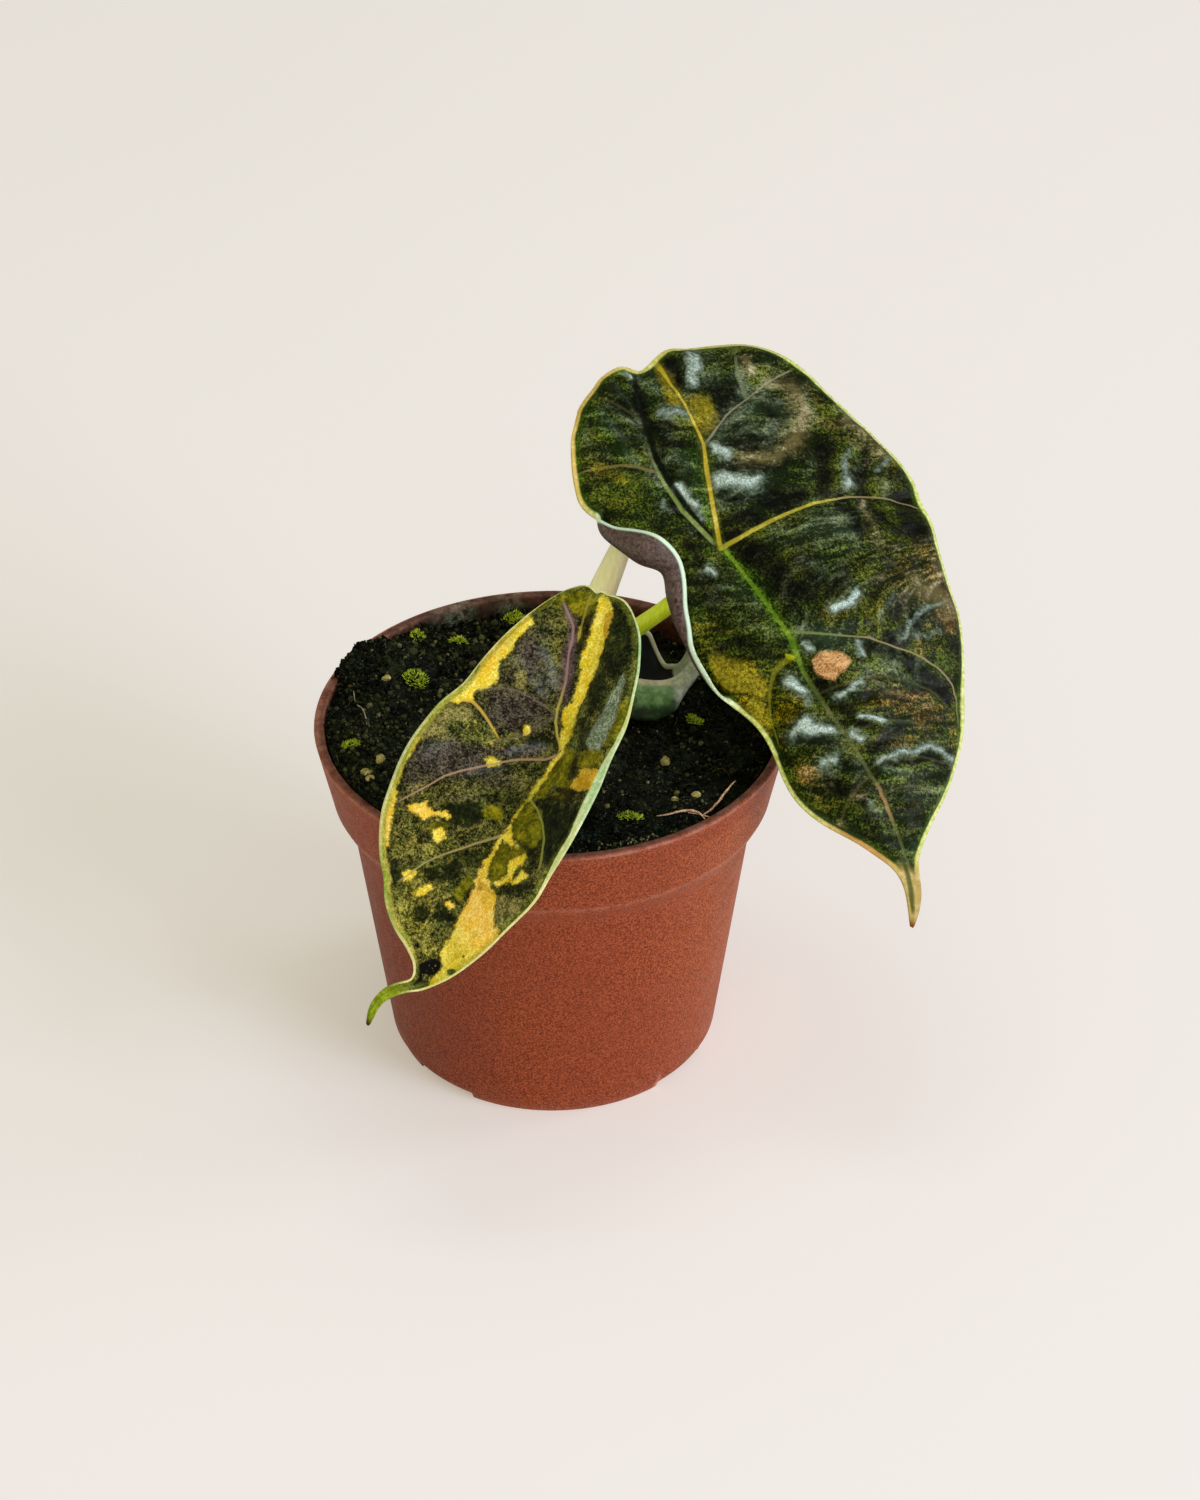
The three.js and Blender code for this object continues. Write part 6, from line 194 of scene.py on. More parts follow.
SMALLM = {
    'mid': [(-6.12,0.35),(-7.7,-1.75),(-9.27,-4.02),(-11.02,-6.3),(-12.6,-8.57),(-14.35,-10.85),(-15.92,-13.3),(-17.67,-15.75),(-19.25,-18.38),(-21.0,-21.52),(-23.1,-26.77),(-25.72,-32.02),(-27.82,-36.22),(-30.1,-39.9)],
    'rc': [(1.05,26.77),(0.0,21.0),(-1.4,15.75),(-2.97,10.5),(-4.72,5.25),(-6.3,0.35)],
    'lc': [(-5.95,24.85),(-5.25,23.27),(-4.55,21.52),(-4.72,19.25),(-5.42,16.62),(-5.6,14.35),(-5.77,12.25),(-6.47,9.62),(-7.35,7.0),(-7.7,4.9),(-7.35,2.62),(-6.82,0.7)],
    'vn': [(-1.4,26.6),(-2.1,24.32),(-2.8,22.05),(-3.5,19.95)],
    'A': [(-7.7,-1.22),(-9.45,-1.75),(-14.0,-1.75),(-16.1,-2.01),(-18.38,-2.45),(-21.0,-2.97),(-24.15,-3.67),(-27.12,-4.55),(-29.75,-6.12),(-32.38,-7.52),(-34.3,-8.57)],
    'B': [(-18.02,-15.4),(-20.12,-15.92),(-22.75,-16.8),(-25.38,-17.67),(-28.0,-18.55),(-30.62,-19.77),(-32.38,-21.0),(-34.3,-22.4)],
    'C': [(-7.52,5.95),(-9.62,7.7),(-12.25,9.27),(-14.87,10.5),(-17.5,10.85),(-20.3,10.5)],
    'D': [(-23.45,8.57),(-22.22,8.4),(-21.0,7.17),(-19.95,5.77),(-19.07,4.38),(-18.02,2.62)],
    'E': [(-11.72,-9.27),(-10.5,-10.85),(-9.62,-13.12),(-9.27,-15.75),(-9.45,-18.38),(-9.97,-20.65)],
    'F': [(-7.7,5.95),(-10.5,4.2),(-14.0,2.1),(-17.5,1.4)],
    'G': [(-4.38,0.35),(-1.75,2.45),(0.35,5.25),(1.75,8.75)],
    'H': [(-5.81,6.85),(-5.81,8.95)],
    'yellow': [[(0.0,26.6),(-0.35,24.15),(-1.22,21.0),(-2.1,18.38),(-2.97,15.75),(-3.32,13.12),(-4.02,10.5),(-4.72,8.4),(-5.95,7.0),(-6.3,5.25),(-6.47,2.97),(-7.0,0.88),(-6.82,-0.17),(-5.77,0.52),(-4.72,2.1),(-4.02,4.38),(-3.67,6.65),(-2.8,8.75),(-1.75,10.85),(-0.7,13.65),(0.35,16.1),(1.05,18.38),(1.75,20.65),(2.62,23.62),(1.92,25.2),(1.57,26.95),(0.52,27.3)],[(-11.72,23.8),(-12.07,22.75),(-11.38,21.88),(-13.3,19.95),(-14.7,18.38),(-15.22,16.97),(-16.27,16.1),(-17.5,15.4),(-17.85,14.0),(-17.67,12.95),(-18.2,11.55),(-19.6,10.85),(-21.0,10.5),(-22.05,9.62),(-22.22,8.57),(-23.45,8.22),(-25.38,8.05),(-26.42,8.57),(-25.38,9.8),(-23.97,10.85),(-22.75,12.07),(-21.35,13.82),(-20.47,15.57),(-19.25,17.67),(-18.02,19.25),(-16.62,20.47),(-14.87,22.05),(-13.12,23.45)],[(-37.45,-7.0),(-35.52,-6.65),(-35.52,-8.75),(-35.88,-10.85),(-36.22,-12.95),(-36.57,-15.05),(-36.75,-16.8),(-37.97,-16.8),(-38.67,-14.87),(-38.85,-12.25),(-38.15,-9.62)],[(-33.6,-9.8),(-32.38,-9.45),(-30.8,-9.27),(-29.75,-9.1),(-30.1,-10.15),(-28.52,-10.85),(-26.95,-10.85),(-26.07,-11.72),(-26.6,-12.25),(-28.0,-11.55),(-29.4,-11.9),(-30.62,-12.25),(-31.85,-11.38),(-33.25,-10.67)],[(-29.05,-14.35),(-28.0,-13.65),(-26.95,-14.0),(-26.77,-15.05),(-27.82,-16.62),(-28.7,-16.1),(-29.22,-15.22)],[(-34.47,-21.35),(-32.9,-20.82),(-31.67,-21.17),(-32.9,-22.75),(-34.3,-23.1)],[(-32.73,-25.02),(-30.8,-23.97),(-29.22,-23.62),(-29.05,-24.32),(-30.45,-25.38),(-32.2,-25.9)],[(-26.42,-26.77),(-25.38,-26.77),(-25.2,-27.82),(-26.25,-28.0)],[(-18.02,-16.8),(-19.6,-18.9),(-21.0,-21.35),(-21.88,-23.62),(-22.75,-25.72),(-23.97,-28.35),(-25.2,-30.8),(-26.25,-33.07),(-27.65,-35.35),(-27.82,-36.57),(-27.12,-37.97),(-28.0,-38.85),(-29.4,-40.07),(-30.1,-41.47),(-27.65,-41.65),(-25.38,-40.6),(-23.1,-39.02),(-20.12,-36.75),(-17.5,-34.47),(-17.5,-31.85),(-17.85,-30.1),(-18.02,-27.65),(-17.67,-25.72),(-18.55,-24.32),(-19.42,-22.4),(-19.25,-20.65),(-18.72,-18.9),(-17.67,-17.15)],[(-6.12,0.52),(-7.35,-1.05),(-8.75,-2.97),(-10.32,-5.07),(-11.72,-7.17),(-13.12,-9.1),(-14.52,-11.02),(-15.92,-13.3),(-17.5,-15.4),(-18.2,-17.15),(-17.15,-16.1),(-16.27,-14.7),(-15.22,-12.95),(-14.0,-11.02),(-12.6,-9.27),(-11.2,-8.05),(-10.5,-6.82),(-9.1,-4.55),(-7.7,-2.45),(-5.95,-0.52)],[(-2.97,-5.07),(-4.02,-6.12),(-4.38,-7.0),(-2.62,-7.52),(-0.88,-7.0),(0.0,-4.9),(0.17,-3.85),(-1.75,-3.67),(-2.97,-3.85)],[(-8.22,-8.22),(-7.0,-8.75),(-5.95,-9.1),(-4.72,-8.75),(-5.95,-8.22)],[(-15.4,-12.77),(-16.1,-14.0),(-16.97,-15.4),(-16.62,-16.27),(-15.22,-17.15),(-13.65,-17.32),(-14.7,-15.75),(-15.22,-14.35)],[(-12.42,-18.38),(-12.07,-19.25),(-13.3,-20.65),(-14.35,-21.35),(-14.7,-22.75),(-16.1,-23.62),(-17.5,-23.97),(-18.02,-23.45),(-15.57,-22.4),(-15.57,-21.0),(-15.05,-19.95),(-13.82,-19.07)],[(-12.95,-21.52),(-11.9,-22.4),(-13.65,-23.45),(-14.7,-23.8),(-14.17,-22.75)],[(-3.5,21.17),(-2.8,21.17),(-2.97,19.25),(-3.67,19.07)],[(-20.12,-1.75),(-18.9,-1.4),(-17.32,-2.1),(-17.67,-2.8),(-19.6,-2.97)],[(-31.5,2.62),(-32.73,0.52),(-34.12,-1.4),(-35.0,-3.15),(-35.35,-5.77),(-34.82,-5.95),(-34.3,-3.32),(-33.42,-1.57),(-32.2,0.35),(-30.97,2.27)],[(-12.77,4.02),(-11.9,4.38),(-11.9,3.15),(-12.6,2.27),(-13.3,2.27)]],
    'olive': [[(-5.6,0.35),(-4.38,0.0),(-3.85,-1.75),(-4.55,-3.5),(-5.07,-4.9),(-4.38,-6.12),(-3.5,-6.82),(-4.55,-7.52),(-6.12,-7.0),(-7.7,-6.47),(-8.75,-7.35),(-8.22,-8.22),(-10.15,-8.75),(-11.55,-8.75),(-10.32,-6.65),(-8.92,-4.38),(-7.52,-2.1)],[(-3.15,-0.88),(-1.75,-0.35),(1.22,-0.35),(0.7,-2.62),(0.0,-3.85),(-2.97,-3.85),(-3.5,-2.62)],[(-11.72,-9.27),(-13.12,-10.15),(-14.52,-11.9),(-15.22,-13.65),(-15.22,-15.05),(-14.0,-16.1),(-12.77,-16.8),(-11.55,-17.5),(-10.32,-17.15),(-9.62,-15.75),(-9.62,-13.65),(-10.32,-11.9),(-11.2,-10.15)],[(-18.55,-17.5),(-17.5,-16.27),(-16.1,-16.62),(-14.87,-17.5),(-13.3,-17.5),(-12.25,-17.85),(-13.3,-18.9),(-14.7,-19.6),(-15.4,-20.65),(-15.05,-22.05),(-16.62,-23.45),(-18.2,-23.45),(-19.25,-22.05),(-19.07,-19.95)],[(-20.3,-24.85),(-19.25,-25.38),(-19.42,-27.12),(-19.95,-28.87),(-20.82,-27.12)],[(-22.75,-31.5),(-21.7,-32.38),(-22.05,-34.12),(-21.35,-35.0),(-22.75,-35.88),(-24.15,-37.62),(-25.9,-38.15),(-26.6,-36.75),(-25.9,-35.0),(-24.15,-34.65),(-23.45,-33.25)],[(-7.0,26.6),(-4.38,27.3),(-1.75,27.65),(-0.35,26.25),(-0.7,24.15),(-2.1,22.75),(-3.85,23.45),(-5.95,24.15),(-7.7,24.85)],[(3.5,6.65),(4.9,8.75),(5.6,7.35),(4.9,4.9),(3.5,2.62),(2.1,0.35),(1.05,0.0),(2.1,2.1),(3.15,4.2)],[(-20.3,-10.85),(-18.9,-9.8),(-16.97,-10.5),(-16.45,-11.9),(-17.85,-12.6),(-19.77,-12.25)],[(-29.75,-12.95),(-27.3,-12.6),(-26.42,-12.95),(-26.42,-14.35),(-28.0,-15.05),(-29.75,-14.35)],[(-22.75,-21.88),(-24.15,-23.62),(-25.38,-25.38),(-24.5,-26.6),(-23.1,-24.85),(-22.05,-23.1)],[(-9.62,25.55),(-7.0,26.6),(-5.25,27.65),(-7.7,26.25),(-10.5,24.15),(-11.55,23.45)]],
    'silver': [[(4.72,12.95),(4.02,12.25),(3.5,10.5),(2.1,8.75),(1.22,6.65),(0.0,4.9),(-1.05,3.15),(-1.75,0.88),(-1.22,-0.17),(0.52,-0.35),(1.57,1.4),(2.27,3.15),(3.5,5.25),(3.85,7.87),(4.38,9.62),(4.9,11.38)]],
    'ink': [[(-31.5,-37.8),(-30.1,-36.75),(-28.7,-36.4),(-27.65,-37.1),(-27.82,-38.5),(-29.05,-39.38),(-30.45,-39.2),(-31.15,-40.25),(-30.1,-40.95),(-30.8,-41.65),(-32.38,-42.0),(-32.55,-40.95),(-31.85,-39.55)],[(-26.6,-38.67),(-26.07,-38.32),(-25.2,-38.5),(-25.02,-39.2),(-25.72,-39.55),(-26.6,-39.38)],[(-23.62,-35.88),(-23.1,-35.88),(-23.1,-36.4),(-23.62,-36.4)],[(-35.0,-33.42),(-33.6,-33.25),(-32.9,-34.3),(-33.95,-35.0)],[(-32.2,-33.95),(-31.32,-33.77),(-31.32,-34.65),(-32.2,-34.65)]],
    'dkstreak': [[(-3.5,-1.22),(-4.02,-2.1),(-4.55,-4.38),(-4.9,-5.6),(-4.38,-5.77),(-3.67,-4.9),(-3.5,-3.5),(-2.97,-2.1)],[(-11.2,-8.57),(-9.62,-8.05),(-8.4,-8.57),(-7.0,-9.45),(-4.9,-9.62),(-3.85,-8.4),(-2.8,-8.22),(-4.2,-7.17),(-6.47,-7.0),(-7.87,-7.35),(-5.95,-7.87),(-7.0,-8.22),(-9.62,-7.87)],[(-1.4,24.5),(-0.7,23.97),(-2.1,19.95),(-3.15,16.62),(-4.02,16.27),(-3.5,19.25),(-2.45,22.4)]],
    'purple': [(-14.87,6.65,7.0,4.2,0,1.0),(-12.25,3.85,3.85,2.8,0,0.7),(-17.5,8.75,2.8,2.45,0,0.8),(-28.0,-1.75,8.75,4.2,0,0.9),(-22.75,-2.1,7.0,3.5,0,0.9),(-14.87,-0.35,7.0,1.22,0,0.9),(-19.25,-5.25,8.75,3.15,0,0.55),(-24.5,-8.75,7.0,1.75,0,0.5),(-4.72,15.75,1.22,8.75,-6,1.0),(-5.25,8.75,1.4,5.25,-10,0.8),(-32.38,-4.38,3.5,3.85,0,0.7),(-10.5,9.62,2.8,2.1,0,0.5),(-14.87,14.87,1.75,1.75,0,0.5),(-35.0,-7.0,1.4,3.5,0,0.4),(-12.6,17.5,3.5,7.0,20,0.8),(-15.75,12.25,2.8,3.5,0,0.6),(-9.62,10.5,2.1,3.5,0,0.4)],
    'dgreen': [(3.15,19.25,3.85,8.75,0,1.0),(0.0,10.5,2.45,7.0,-10,0.7),(-7.0,-15.75,4.2,7.0,0,0.9),(-15.75,-8.75,7.0,2.45,0,0.6),(-23.62,-11.38,5.25,2.45,0,0.9),(-2.62,-12.25,3.5,4.2,0,0.7),(-7.7,24.15,3.5,1.75,0,0.5),(-22.75,-19.25,5.25,2.45,0,0.7),(-25.38,-23.62,4.2,2.45,0,0.5),(-17.5,-3.5,7.0,1.4,0,0.4),(-7.0,0.88,1.75,1.75,0,0.6),(-1.75,2.62,2.45,3.5,0,0.6),(-28.0,-14.0,5.25,1.75,0,0.5)],
    'fleck': [(-29.75,-14.0,8.75,4.55,0,1.0),(-28.0,-24.5,8.75,7.0,0,0.8),(-29.75,-7.87,6.3,2.45,0,0.8),(-20.12,0.88,3.5,1.75,0,0.9),(-15.75,2.62,5.25,2.45,0,0.5),(-11.38,21.0,4.55,3.5,0,0.5),(-7.87,15.75,1.75,5.25,0,0.5),(-12.25,-19.25,2.8,3.5,0,0.6),(-1.75,-3.5,2.8,3.5,0,0.4),(0.0,16.62,2.1,2.1,0,0.6),(-31.5,-33.25,5.25,5.25,0,0.8),(-17.5,-8.75,5.25,1.75,0,0.3),(-21.88,-1.75,5.25,1.05,0,0.4),(-4.38,-14.87,3.85,4.55,0,0.8),(0.0,-8.75,2.8,2.45,0,0.7),(3.5,19.25,2.45,7.0,0,0.35)],
    'sheen': [([(-9.62,16.62),(-8.22,14.87),(-7.7,11.38)],0.88,0.3),([(-11.38,12.25),(-9.62,9.62)],0.88,0.22),([(-15.75,-0.35),(-12.25,0.35),(-9.62,0.35)],0.7,0.28),([(0.0,23.1),(0.35,22.75)],0.26,0.3),([(-29.75,-0.35),(-26.25,1.05)],1.22,0.14),([(-22.75,-3.85),(-17.5,-3.15)],0.7,0.16),([(-14.0,15.75),(-12.25,13.65)],1.05,0.1)],
    'mintedge': [(2.1,-7.0,4.55,12.25,-25,1.0),(7.0,15.75,1.75,15.75,0,0.8),(-2.62,-17.5,3.5,8.75,-30,0.8),(-37.1,-1.75,4.2,8.75,-30,0.5),(-35.88,0.88,2.8,7.0,-30,0.5)],
    'limetip': [(-37.1,-43.4,4.2,3.85,0,1.0),(-34.12,-41.3,1.75,1.22,0,0.8)],
    'lcu': [(-4.38,21.88),(-4.72,17.5),(-5.07,13.12)],
    'ochre': [[(-2.97,-5.07),(-4.02,-6.12),(-4.38,-7.0),(-2.62,-7.52),(-0.88,-7.0),(0.0,-4.9),(0.17,-3.85),(-1.75,-3.67),(-2.97,-3.85)],[(1.05,24.15),(2.62,23.8),(1.92,21.35),(1.22,19.25),(0.7,20.3)],[(-21.0,-22.75),(-18.9,-24.15),(-17.85,-25.72),(-19.6,-24.85),(-21.35,-24.5)]],
    'pale': [[(-30.8,3.85),(-29.4,5.25),(-27.3,7.0),(-25.38,7.87),(-23.45,7.7),(-22.05,5.95),(-22.75,4.9),(-25.38,4.9),(-27.12,3.15),(-29.75,2.1),(-31.32,1.57)],[(-17.5,-25.9),(-15.75,-25.72),(-15.4,-27.12),(-16.1,-28.87),(-16.27,-30.62),(-16.97,-31.67),(-17.67,-31.5),(-17.85,-28.87)],[(-14.87,-26.6),(-12.6,-26.25),(-13.65,-28.35),(-15.05,-29.4),(-15.4,-27.65)],[(-14.7,12.95),(-14.0,13.65),(-12.77,13.3),(-12.6,11.9),(-13.3,10.85),(-14.52,11.2)],[(-2.1,14.87),(-0.35,15.4),(0.7,14.35),(-0.7,13.3)]],
    'darkg': [[(-26.42,-9.1),(-23.1,-9.45),(-20.65,-9.8),(-20.65,-12.6),(-22.75,-13.65),(-25.38,-13.3),(-26.6,-12.6)],[(-36.4,-19.6),(-35.0,-19.25),(-34.47,-21.0),(-34.47,-22.4),(-35.7,-23.45),(-36.57,-22.05)],[(-30.62,-21.0),(-28.0,-20.3),(-25.2,-19.6),(-23.45,-20.3),(-24.15,-22.05),(-26.25,-23.1),(-28.7,-23.1),(-30.45,-22.4)],[(-32.38,-27.65),(-30.62,-26.77),(-29.05,-28.0),(-29.75,-29.75),(-31.85,-29.75)],[(-28.52,-27.12),(-26.6,-28.0),(-24.85,-29.4),(-25.9,-31.5),(-27.3,-30.8),(-28.7,-29.4)],[(-9.45,-8.4),(-7.0,-9.8),(-4.02,-9.8),(-2.8,-10.85),(-3.85,-14.35),(-5.95,-17.5),(-8.4,-20.3),(-9.1,-17.5),(-8.92,-14.0),(-9.8,-10.85),(-11.2,-9.45)],[(-16.62,-24.15),(-14.7,-23.8),(-12.6,-23.45),(-11.55,-24.15),(-13.3,-25.72),(-15.75,-25.55)],[(-11.2,-17.15),(-10.32,-17.5),(-10.5,-20.65),(-11.9,-22.75),(-11.55,-20.3),(-12.25,-18.9)],[(-7.0,25.9),(-4.38,26.25),(-4.55,25.2),(-6.65,25.2)],[(-14.0,1.4),(-9.62,2.62),(-7.7,1.4),(-8.75,0.0),(-12.25,0.35)]],
    'blue': [(-9.62,19.25,2.45,3.85,0,0.5249999999999999),(-9.1,12.25,2.45,4.55,0,0.6000000000000001),(-11.38,10.5,2.8,1.75,0,0.30000000000000004),(-13.12,-0.88,5.25,1.4,0,0.375),(-22.75,-0.88,3.5,1.75,0,0.30000000000000004),(-12.25,-4.38,4.2,1.4,0,0.26249999999999996),(-28.0,-32.38,3.5,2.1,0,0.30000000000000004),(0.0,24.5,1.05,0.7,0,0.07500000000000001)],
    'lightol': [(-32.38,-28.87,4.55,5.95,0,1.0),(-29.75,-35.0,4.2,3.15,0,0.8),(-30.62,-23.62,4.55,2.8,0,0.8),(-28.87,-17.5,7.0,2.1,0,0.6),(-35.0,-17.5,2.8,2.45,0,0.6),(-26.25,1.75,4.55,2.1,0,0.5),(-7.0,25.38,4.2,2.45,0,0.6),(-21.88,4.38,2.8,2.45,0,0.6),(-17.5,16.62,1.75,2.45,0,0.4),(-15.4,19.25,1.4,3.85,30,0.5)],
    'limeedge': [(-37.8,-22.75,1.75,5.95,0,1.0),(-36.4,-28.87,2.45,4.2,0,0.7),(-28.0,8.75,3.85,4.55,-45,0.8),(-22.75,14.87,3.5,3.5,-45,0.4),(-7.0,27.12,4.2,1.4,0,0.8)],
    'wide': [(0.0,-8.75,4.55,9.8,-25,1.0),(4.38,0.88,1.75,5.25,-20,0.6),(-4.38,-17.5,3.15,7.0,-30,0.7)],
    'creamy': [(-20.65,-28.87,4.55,13.12,25,1.0),(-20.12,17.5,3.85,6.3,-30,0.55),(-37.1,-12.25,1.57,7.7,0,0.8),(-30.62,-10.85,4.2,1.75,0,0.7)],
    'limey': [(-12.25,-8.75,7.7,4.55,-40,0.8),(-5.25,2.62,2.1,3.5,0,0.4),(-35.0,-2.62,1.4,7.0,-20,0.7),(-24.15,-36.4,2.8,2.1,0,0.3)],
}
# half widths along each vein, mm
BIG_WIDTHS = {'mid': [0.315, 0.315, 0.315, 0.35, 0.367, 0.35, 0.315, 0.28, 0.262], 'midw': [0.787, 0.875, 0.919, 0.875, 0.744, 0.438, 0.306], 'rc': [0.385, 0.367, 0.35, 0.402, 0.262, 0.21, 0.193, 0.262, 0.525], 'lc': [0.402, 0.367, 0.297, 0.245, 0.193, 0.175], 'lc_fold_shade': [0.262, 0.394, 0.438, 0.481, 0.525, 0.525, 0.438], 'r1': [0.385, 0.367, 0.315, 0.262, 0.158, 0.131, 0.114], 'r2': [0.262, 0.193, 0.158, 0.158, 0.158, 0.14, 0.122], 'ua': [0.262, 0.175, 0.158, 0.158, 0.175], 'ua2': [0.438, 0.35, 0.262], 'll1': [0.525, 0.35, 0.193, 0.14], 'll2': [0.262, 0.262, 0.219], 'll3': [0.262, 0.219, 0.175], 'lo1': [0.262, 0.262, 0.219, 0.175], 'lo2': [0.262, 0.219, 0.175], 'in1': [0.262, 0.219], 'r3': [0.262, 0.219, 0.175], 'r4': [0.262, 0.219, 0.175], 'r5': [0.262, 0.219, 0.175], 'r6': [0.262, 0.219, 0.175], 'r7': [0.262, 0.219, 0.175], 'midl': [0.21, 0.21, 0.193, 0.193], 'rcw': [0.787, 0.787, 0.875, 1.05, 0.787, 0.525, 0.438, 0.612, 0.875], 'groove': [0.262, 0.438, 0.438, 0.262]}
BIG_SOURCE = {'midw': 'mid', 'rcw': 'rc'}
SMALL_WIDTHS = {'lc': [0.227, 0.21, 0.21, 0.245, 0.245, 0.193], 'lcw': [0.525, 0.787, 1.05, 1.05, 0.875, 0.525], 'A': [0.245, 0.193, 0.175, 0.175, 0.158, 0.14], 'B': [0.227, 0.193, 0.175, 0.158, 0.158], 'C': [0.21, 0.193, 0.175, 0.158], 'D': [0.297, 0.262, 0.175], 'E': [0.21, 0.193, 0.175], 'F': [0.262, 0.262], 'G': [0.262, 0.262], 'vn': [0.21, 0.21, 0.175]}
SMALL_SOURCE = {'lcw': 'lc'}
# stalk centre lines
LP = [[10.15, 8.97, 74.56], [15.49, 7.25, 81.70], [20.93, 5.30, 87.63], [25.80, 4.76, 93.85], [29.59, 4.04, 100.48]]
SP = [[0.30, 4.00, 72.50], [0.50, -10.00, 78.50], [1.20, -23.00, 81.20], [2.75, -30.94, 82.43]]
NS = [[6.72, 17.61, 74.71], [9.34, 18.72, 82.40], [12.31, 19.78, 90.03], [14.79, 20.92, 97.76], [16.73, 22.44, 105.17]]
JP = [[9.90, 6.60, 64.90], [10.30, 8.00, 66.20], [10.80, 9.60, 66.90]]
TWIG = [(18.4,-26.4,0.0),(20.5,-26.8,0.1),(23,-26.2,0.15),(25.6,-26.4,0.1),(27.0,-27.8,0.0)]
TWIG_FORK = [(26.4,-27.0,0.05),(28.3,-24.2,0.2),(30.2,-21.0,0.5),(31.6,-19.0,0.8),(32.6,-17.4,1.3)]
TWIG_HAIR = [(24.0,-26.3,0.1),(26.5,-26.8,0.1),(29.0,-27.2,0.05),(31.0,-25.6,0.1)]
FIBRE = [(-35.8,8.2,0.0),(-35.2,5.4,0.3),(-34.0,2.6,0.4),(-33.2,0.4,0.2),(-33.0,-1.9,0.0)]


# ------------------------------------------------------------------ helpers
def front(p):
    d = p - EYE
    z = d @ LOOK
    return np.stack([d[..., 0] / z, (d @ UPV) / z], -1) * 700.0


def smooth01(a):
    t = np.clip(a, 0, 1)
    return t * t * (3 - 2 * t)


def hash3(i, j, k, seed):
    h = (i.astype(np.int64) * 374761393 + j.astype(np.int64) * 668265263 + k.astype(np.int64) * 2147483647 + seed * 974634777) & 0xFFFFFFFF
    h = ((h ^ (h >> 13)) * 1274126177) & 0xFFFFFFFF
    h = (h ^ (h >> 16)) & 0xFFFFFFFF
    return h / 4294967295.0


def vnoise(p, seed=0):
    """smooth value noise in -1..1 for points (n, 3)"""
    f = np.floor(p)
    i = f.astype(np.int64)
    t = p - f
    t = t * t * (3 - 2 * t)
    out = 0
    for a in (0, 1):
        for b in (0, 1):
            for c in (0, 1):
                w = (t[:, 0] if a else 1 - t[:, 0]) * (t[:, 1] if b else 1 - t[:, 1]) * (t[:, 2] if c else 1 - t[:, 2])
                out = out + w * hash3(i[:, 0] + a, i[:, 1] + b, i[:, 2] + c, seed)
    return out * 2 - 1


def fbm(p, octaves=4, seed=0):
    out, amp = 0, 1.0
    for o in range(octaves):
        out = out + amp * vnoise(p * 2**o + 17.3 * o, seed + o)
        amp *= 0.5
    return out


def spline(y, x):
    """natural cubic spline along axis 0 of y at positions x in 0..n-1"""
    n = len(y)
    Y = y.reshape(n, -1)
    A = np.eye(n)
    for i in range(1, n - 1):
        A[i, i - 1], A[i, i], A[i, i + 1] = 1, 4, 1
    r = np.zeros_like(Y)
    r[1:-1] = 6 * (Y[2:] - 2 * Y[1:-1] + Y[:-2])
    M = np.linalg.solve(A, r)
    i = np.clip(np.floor(x).astype(int), 0, n - 2)
    t = (x - i)[:, None]
    s = 1 - t
    out = s * Y[i] + t * Y[i + 1] + (s**3 - s) * M[i] / 6 + (t**3 - t) * M[i + 1] / 6
    return out.reshape((len(x),) + y.shape[1:])


def seg_dist(q, a, b):
    d = b - a
    t = np.clip((q - a) @ d / max(d @ d, 1e-9), 0, 1)
    return np.hypot(*(q - a - t[:, None] * d).T)


def line_dist(q, line):
    line = np.asarray(line, float)
    out = np.full(len(q), 1e9)
    for a, b in zip(line[:-1], line[1:]):
        out = np.minimum(out, seg_dist(q, a, b))
    return out


def line_field(q, line, widths, fade=1.5):
    """signed offset from a line over its half width there, how present it is, and place along it 0..1"""
    line = np.asarray(line, float)
    seg = np.diff(line, axis=0)
    L = np.hypot(seg[:, 0], seg[:, 1])
    cum = np.r_[0, np.cumsum(L)]
    best = np.full(len(q), 1e9)
    s = np.zeros(len(q))
    a = np.zeros(len(q))
    for i in range(len(seg)):
        t = (q - line[i]) @ seg[i] / L[i] ** 2
        lo = -9 if i == 0 else 0
        hi = 9 if i == len(seg) - 1 else 1
        tc = np.clip(t, lo, hi)
        off = q - line[i] - tc[:, None] * seg[i]
        dist = np.hypot(off[:, 0], off[:, 1])
        sg = np.sign(seg[i][0] * off[:, 1] - seg[i][1] * off[:, 0])
        m = dist < best
        best[m] = dist[m]
        s[m] = (sg * dist)[m]
        a[m] = (cum[i] + tc * L[i])[m]
    total = cum[-1]
    w = np.interp(a / total, np.linspace(0, 1, len(widths)), widths)
    k = smooth01((a + fade) / fade) * smooth01((total - a + fade) / fade)
    return np.stack([s / w, k, np.clip(a / total, 0, 1)], -1)


def poly_field(q, poly):
    """distance to a closed outline, negative inside"""
    poly = np.asarray(poly, float)
    d = line_dist(q, np.vstack([poly, poly[:1]]))
    inside = np.zeros(len(q), bool)
    n = len(poly)
    for i in range(n):
        a, b = poly[i], poly[(i + 1) % n]
        if a[1] == b[1]:
            continue
        c = ((a[1] > q[:, 1]) != (b[1] > q[:, 1])) & (q[:, 0] < (b[0] - a[0]) * (q[:, 1] - a[1]) / (b[1] - a[1]) + a[0])
        inside ^= c
    return np.where(inside, -d, d)


